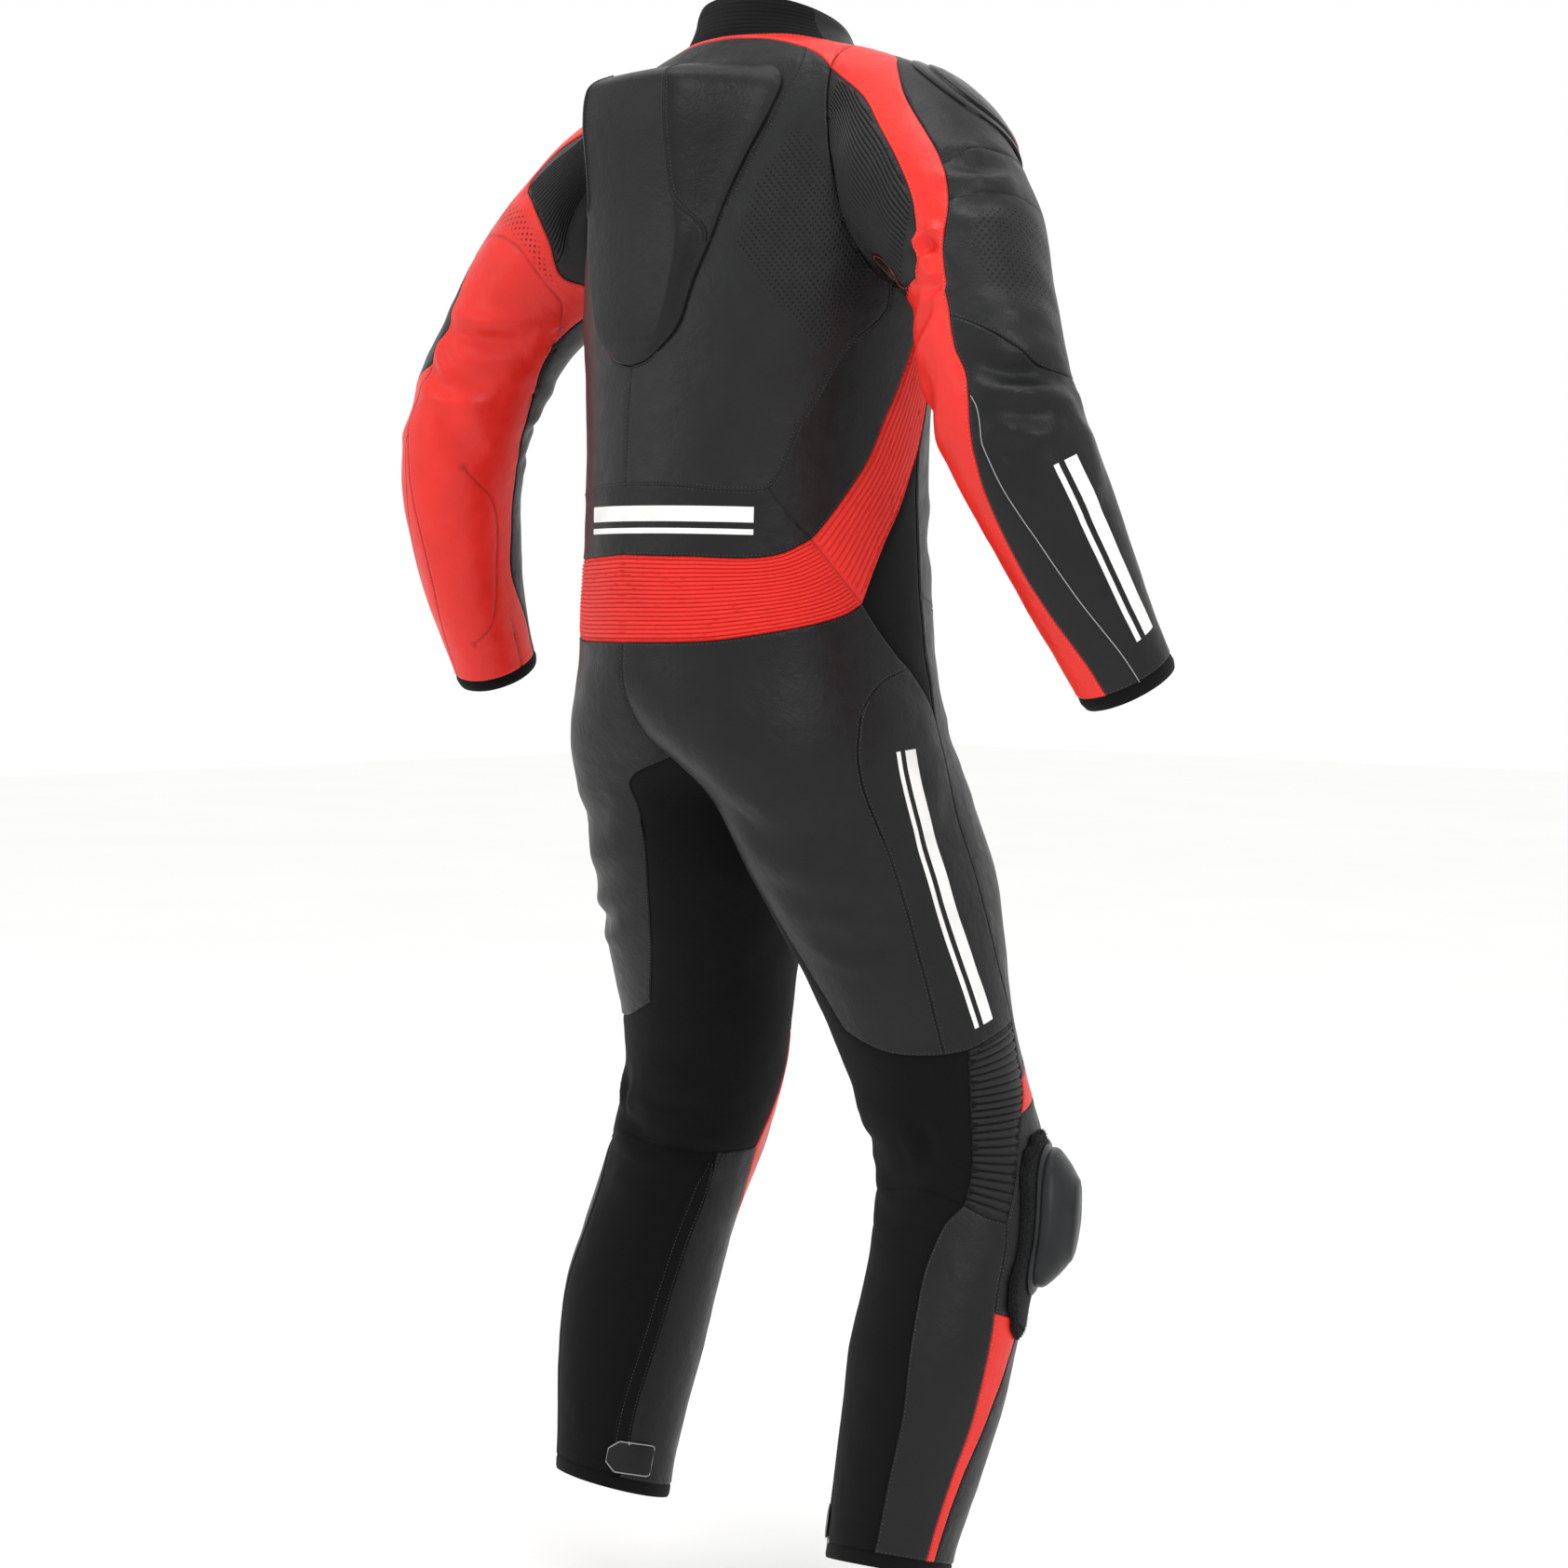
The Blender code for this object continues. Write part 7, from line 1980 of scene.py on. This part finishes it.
@dataclass
class AnkleFastenings:
    """The zip flaps down both calves and the pointed tabs that hold them at the ankle."""

    workshop: Workshop
    surface: Surface
    flap_width: float = 17 * MM
    flap_thick: float = 1.1 * MM
    tab_height: float = 29 * MM
    tab_thick: float = 1.8 * MM

    def build(self) -> None:
        """Make the fastenings of both legs."""
        zip_line = [(0.060, 0.432), (0.063, 0.368), (0.074, 0.278), (0.097, 0.185), (0.104, 0.136)]
        tab_line = [(0.012, 0.1505), (0.050, 0.150), (0.090, 0.149), (0.132, 0.148)]
        for side, end in ((Side.LEFT, "l"), (Side.RIGHT, "r")):
            line, out = self.surface.path(L, zip_line, side)
            width = self.flap_width * (0.35 + 0.65 * ease(lengths(line) / 0.03))
            places, faces = self.surface.ribbon(line, out, width, self.flap_thick, crown=0.5 * MM)
            self.workshop.place(f"ankle_flap_{end}", places, faces, ["black_stretch_knit"], "black_stretch")
            tree = BVHTree.FromPolygons(places.tolist(), faces)
            self.rows(end, line, out, width, tree)
            self.tab(end, tab_line, side)

    def rows(self, end: str, line: Array, out: Array, width: Array, tree: BVHTree) -> None:
        """Two rows of stitches along a flap's edges."""
        pitch = 3.4 * MM
        at = (np.arange(int(lengths(line)[-1] / pitch)) + 0.5) * pitch
        way = unit(np.gradient(along(line, at), axis=0))
        normal = unit(along(np.concatenate([line, out], 1), at)[:, 3:])
        spread = np.interp(at, lengths(line), width)[:, None] * 0.34
        rows = []
        for sign in (-1, 1):
            hits = [tree.find_nearest(Vector(p)) for p in
                    (along(line, at) + np.cross(normal, way) * spread * sign + normal * 2 * MM).tolist()]
            rows.append((np.array([tuple(h[0]) for h in hits]), way, normal))
        places, faces = lozenges(rows)
        self.workshop.place(f"ankle_flap_stitches_{end}", places, faces, ["black_sewing_thread"], "black_stretch",
                            sharp=80)

    def tab(self, end: str, tab_line: Points, side: Side) -> None:
        """A leather tab with a corded edge and a small loop below it."""
        line, out = self.surface.path(L, tab_line, side)
        way = lengths(line)
        whole = way[-1]
        point = 0.45 + 0.55 * np.clip((whole - way) / (9 * MM), 0, 1)
        width = self.tab_height * point * (0.9 + 0.1 * np.clip(way / (3 * MM), 0, 1))
        places, faces = self.surface.ribbon(line, out, width, self.tab_thick, 1.7 * MM, columns=9)
        self.workshop.place(f"ankle_tab_{end}", places, faces, ["pebbled_black_cowhide"], "black_leather")
        side_way = unit(np.cross(out, np.gradient(line, axis=0)))
        raised = line + out * 2.6 * MM
        upper, lower = (self.surface.on(raised + side_way * sign * width[:, None] / 2) + out * 2.6 * MM
                        for sign in (1, -1))
        ring = np.concatenate([lower, upper[::-1]])
        outs = np.concatenate([out, out[::-1]])
        cord = tube(ring, outs, 0.6 * MM, 0.6 * MM, 0.6 * MM, closed=True)
        middle = len(line) * 3 // 5
        drop = lower[middle] + np.array([(0, 0, 1.0), (0, 0, -4.0), (0.6, 0, -8.0), (0.2, 0, -13.0)]) * MM
        loop = tube(along(drop, np.linspace(0, lengths(drop)[-1], 9)), np.repeat(out[middle][None], 9, 0),
                    1.0 * MM, 0.5 * MM, 0.5 * MM)
        places, faces = joined([cord, loop])
        self.workshop.place(f"ankle_tab_edge_{end}", places, faces, ["light_grey_edge_cord"], "black_stretch")


def lozenges(rows: Rows, length: float = 2.7 * MM, width: float = 0.75 * MM,
             rise: float = 0.38 * MM) -> tuple[Array, Array]:
    """Many stitches as slim lozenges that dip in at their ends.

    Args:
        rows: For each row, the stitches' middles, their ways and the directions out.
        length: Of a stitch.
        width: Of a stitch.
        rise: Its height over the leather.

    Returns:
        Their points and faces.
    """
    middle, way, out = (np.concatenate([row[k] for row in rows]) for k in range(3))
    across = unit(np.cross(out, way))
    way = np.cross(across, out)
    end = way * length / 2
    dip = out * 0.15 * MM
    corners = np.stack([middle - end - dip, middle + across * width / 2, middle + end - dip,
                        middle - across * width / 2, middle + out * rise], 1)
    shape = np.array([(0, 3, 4), (3, 2, 4), (2, 1, 4), (1, 0, 4), (0, 1, 2), (0, 2, 3)])
    return corners.reshape(-1, 3), (np.arange(len(middle))[:, None, None] * 5 + shape[None]).reshape(-1, 3)


@dataclass
class FrontZip:
    """The closed zip down the front: two rows of teeth, and a slider with its pull below the collar."""

    workshop: Workshop
    surface: Surface
    pitch: float = 3.4 * MM
    tooth: tuple[float, float, float] = (3.2 * MM, 1.7 * MM, 1.6 * MM)

    def build(self) -> None:
        """Make the teeth, the slider and the pull."""
        upper, out_upper = self.surface.path(T, [(180, v) for v in (1.603, 1.560, 1.44, 1.26, 1.08, FORM.waist)])
        lower, out_lower = self.surface.path(L, [(1 - crotch_cut(z), z) for z in (FORM.waist, 0.90, 0.875, 0.856)])
        line = np.concatenate([upper, lower[1:]])
        out = np.concatenate([out_upper, out_lower[1:]])
        line[:, 0] = 0
        out = unit(out * (0, 1, 1))
        at = np.arange(2 * MM, lengths(line)[-1] - 2 * MM, self.pitch / 2)
        middle = along(line, at)
        normal = unit(along(np.concatenate([line, out], 1), at)[:, 3:])
        way = unit(np.gradient(middle, axis=0))
        side = np.cross(normal, way)
        sign = np.where(np.arange(len(at)) % 2 == 0, 1, -1)[:, None]
        long, tall, high = self.tooth
        middle = middle + side * sign * 1.1 * MM + normal * 0.5 * MM
        signs = np.array([(x, y, z) for x in (-1, 1) for y in (-1, 1) for z in (0, 1)])
        corners = (middle[:, None] + side[:, None] * signs[None, :, :1] * long / 2
                   + way[:, None] * signs[None, :, 1:2] * tall / 2
                   + normal[:, None] * signs[None, :, 2:] * high)
        shape = np.array([(0, 1, 3, 2), (4, 6, 7, 5), (0, 4, 5, 1), (2, 3, 7, 6), (1, 5, 7, 3), (0, 2, 6, 4)])
        faces = (np.arange(len(middle))[:, None, None] * 8 + shape[None]).reshape(-1, 4)
        self.workshop.place("front_zip_teeth", corners.reshape(-1, 3), faces, ["black_zip_metal"], "black_plastic",
                            sharp=30)
        top = line[4:12]
        body = self.surface.ribbon(top, out[4:12], 9 * MM * np.array([0.7, 1, 1, 1, 0.9, 0.8, 0.75, 0.7]), 2.2 * MM,
                                   2.3 * MM, crown=0.8 * MM)
        pull = self.surface.ribbon(line[9:20], out[9:20], 6 * MM, 1.2 * MM, 5.0 * MM, crown=0.3 * MM)
        places, faces = joined([body, pull])
        self.workshop.place("front_zip_slider", places, faces, ["black_zip_metal"], "black_plastic", sharp=40)


@dataclass
class PlainBars:
    """Two plain white bars, a wide one and a narrow one, in rubber print on three places of the leather."""

    workshop: Workshop
    surface: Surface
    wide: float = 14 * MM
    narrow: float = 5 * MM
    space: float = 6 * MM
    thick: float = 0.5 * MM

    def build(self) -> None:
        """Print the bars on the back band, the right thigh and the right forearm."""
        band = [(-20, 1.0545), (-5, 1.0545), (15, 1.054), (33, 1.053), (47, 1.052)]
        thigh = [(0.500, 0.846), (0.497, 0.780), (0.490, 0.690), (0.497, 0.600)]
        forearm = [(0.045, 0.352), (0.025, 0.420), (0.000, 0.505)]
        for name, chart, line, side in (("back_band", T, band, Side.RIGHT), ("thigh", L, thigh, Side.RIGHT),
                                        ("forearm", A, forearm, Side.RIGHT)):
            self.pair(name, chart, line, side)

    def pair(self, name: str, chart: Chart, points: Points, side: Side) -> None:
        """Print one pair of bars along a line."""
        line, out = self.surface.path(chart, points, side)
        across = unit(np.cross(out, np.gradient(line, axis=0)))
        shift = (self.wide + self.space + self.narrow) / 2
        parts = []
        for offset, width in ((shift - self.wide / 2, self.wide), (-shift + self.narrow / 2, self.narrow)):
            moved = self.surface.on(line + across * offset)
            parts.append(self.surface.ribbon(moved, out, width, self.thick, 0.25 * MM, columns=9))
        places, faces = joined(parts)
        self.workshop.place(f"plain_bars_{name}", places, faces, ["white_rubber_print"], "black_leather")


@dataclass
class SeamCords:
    """The raised welts on the back and the pale line along the forearms."""

    workshop: Workshop
    surface: Surface

    def build(self) -> None:
        """Lay the cords."""
        seams = {(seam.chart, seam.name): seam.points for seam in SEAMS}
        welts, lines = [], {}
        for side in Side:
            for name in ("diagonal", "band_top"):
                places, out = self.surface.path(T, seams[T, name], side)
                welts.append(tube(places - out * 0.5 * MM, out, 1.5 * MM, 1.3 * MM))
            places, out = self.surface.path(A, seams[A, "forearm_edge"], side)
            lines[side] = tube(places, out, 0.5 * MM, 0.5 * MM)
        places, faces = joined(welts)
        self.workshop.place("back_welts", places, faces, ["pebbled_black_cowhide"], "black_leather")
        for side, end, finish, slot in ((Side.LEFT, "l", "red_sewing_thread", RED),
                                        (Side.RIGHT, "r", "light_grey_edge_cord", STRETCH)):
            self.workshop.place(f"forearm_line_{end}", *lines[side], [finish], slot)


@dataclass
class Studio:
    """A pale floor, soft light and the camera at the photograph's place."""

    eye: tuple[float, float, float] = (-2.194, 2.046, -0.523)
    look: tuple[float, float, float] = (0.7314, -0.6820, 0.0)
    lens: float = 72.8
    sensor: float = 36.0
    shift: tuple[float, float] = (0.00475, -0.114)
    floor_half: float = 14.0

    def build(self, workshop: Workshop) -> None:
        """Set the studio up."""
        camera = bpy.data.cameras.new("photo_camera")
        camera.lens, camera.sensor_width = self.lens, self.sensor
        camera.shift_x, camera.shift_y = self.shift
        camera.clip_end = 60
        seen = bpy.data.objects.new("photo_camera", camera)
        seen.location = self.eye
        seen.rotation_euler = Vector(self.look).to_track_quat("-Z", "Y").to_euler()
        bpy.context.scene.collection.objects.link(seen)
        bpy.context.scene.camera = seen
        self.floor(workshop)
        world = bpy.data.worlds.new("studio_air")
        world.use_nodes = True
        air = world.node_tree.nodes["Background"]
        air.inputs["Color"].default_value = linear("#FFFFFF")
        air.inputs["Strength"].default_value = 1.0
        bpy.context.scene.world = world
        bpy.context.scene.view_settings.view_transform = "Standard"     # a pale studio, not a film's soft shoulder
        self.lamp("key_light", (-2.9, 1.2, 1.4), 1.6, 34)
        self.lamp("fill_light", (1.2, 3.2, 0.6), 1.8, 16)
        self.lamp("top_light", (-0.2, 0.3, 2.2), 1.8, 24)

    def floor(self, workshop: Workshop) -> None:
        """Lay the floor."""
        mesh = bpy.data.meshes.new("studio_floor")
        half, low = self.floor_half, -FORM.origin_height
        mesh.from_pydata([(-half, -half, low), (half, -half, low), (half, half, low), (-half, half, low)], [],
                         [(0, 1, 2, 3)])
        mesh.materials.append(workshop.finishes["pale_studio_floor"])
        made = bpy.data.objects.new("studio_floor", mesh)
        bpy.context.scene.collection.objects.link(made)

    @staticmethod
    def lamp(name: str, place: tuple[float, float, float], size: float, power: float) -> None:
        """Hang one large soft lamp that faces the middle of the suit."""
        light = bpy.data.lights.new(name, "AREA")
        light.shape, light.size, light.energy = "DISK", size, power
        made = bpy.data.objects.new(name, light)
        made.location = place
        made.rotation_euler = (Vector((0, 0, -0.6)) - Vector(place)).to_track_quat("-Z", "Y").to_euler()
        bpy.context.scene.collection.objects.link(made)


def main() -> None:
    """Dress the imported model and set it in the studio."""
    logging.basicConfig(level=logging.INFO, format="%(name)s: %(message)s")
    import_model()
    workshop = Workshop()
    suit = Suit()
    surface = Surface(suit)
    panels = CutPanels(suit, workshop)
    panels.build()
    Topstitching(panels).build()
    BackHump(workshop, surface).build()
    ShoulderPlates(workshop, surface).build()
    KneeSliders(workshop, surface).build()
    AnkleFastenings(workshop, surface).build()
    FrontZip(workshop, surface).build()
    SeamCords(workshop, surface).build()
    PlainBars(workshop, surface).build()
    Studio().build(workshop)
    LOG.info("%d pieces", len(workshop.pieces))


if __name__ == "__main__":
    main()
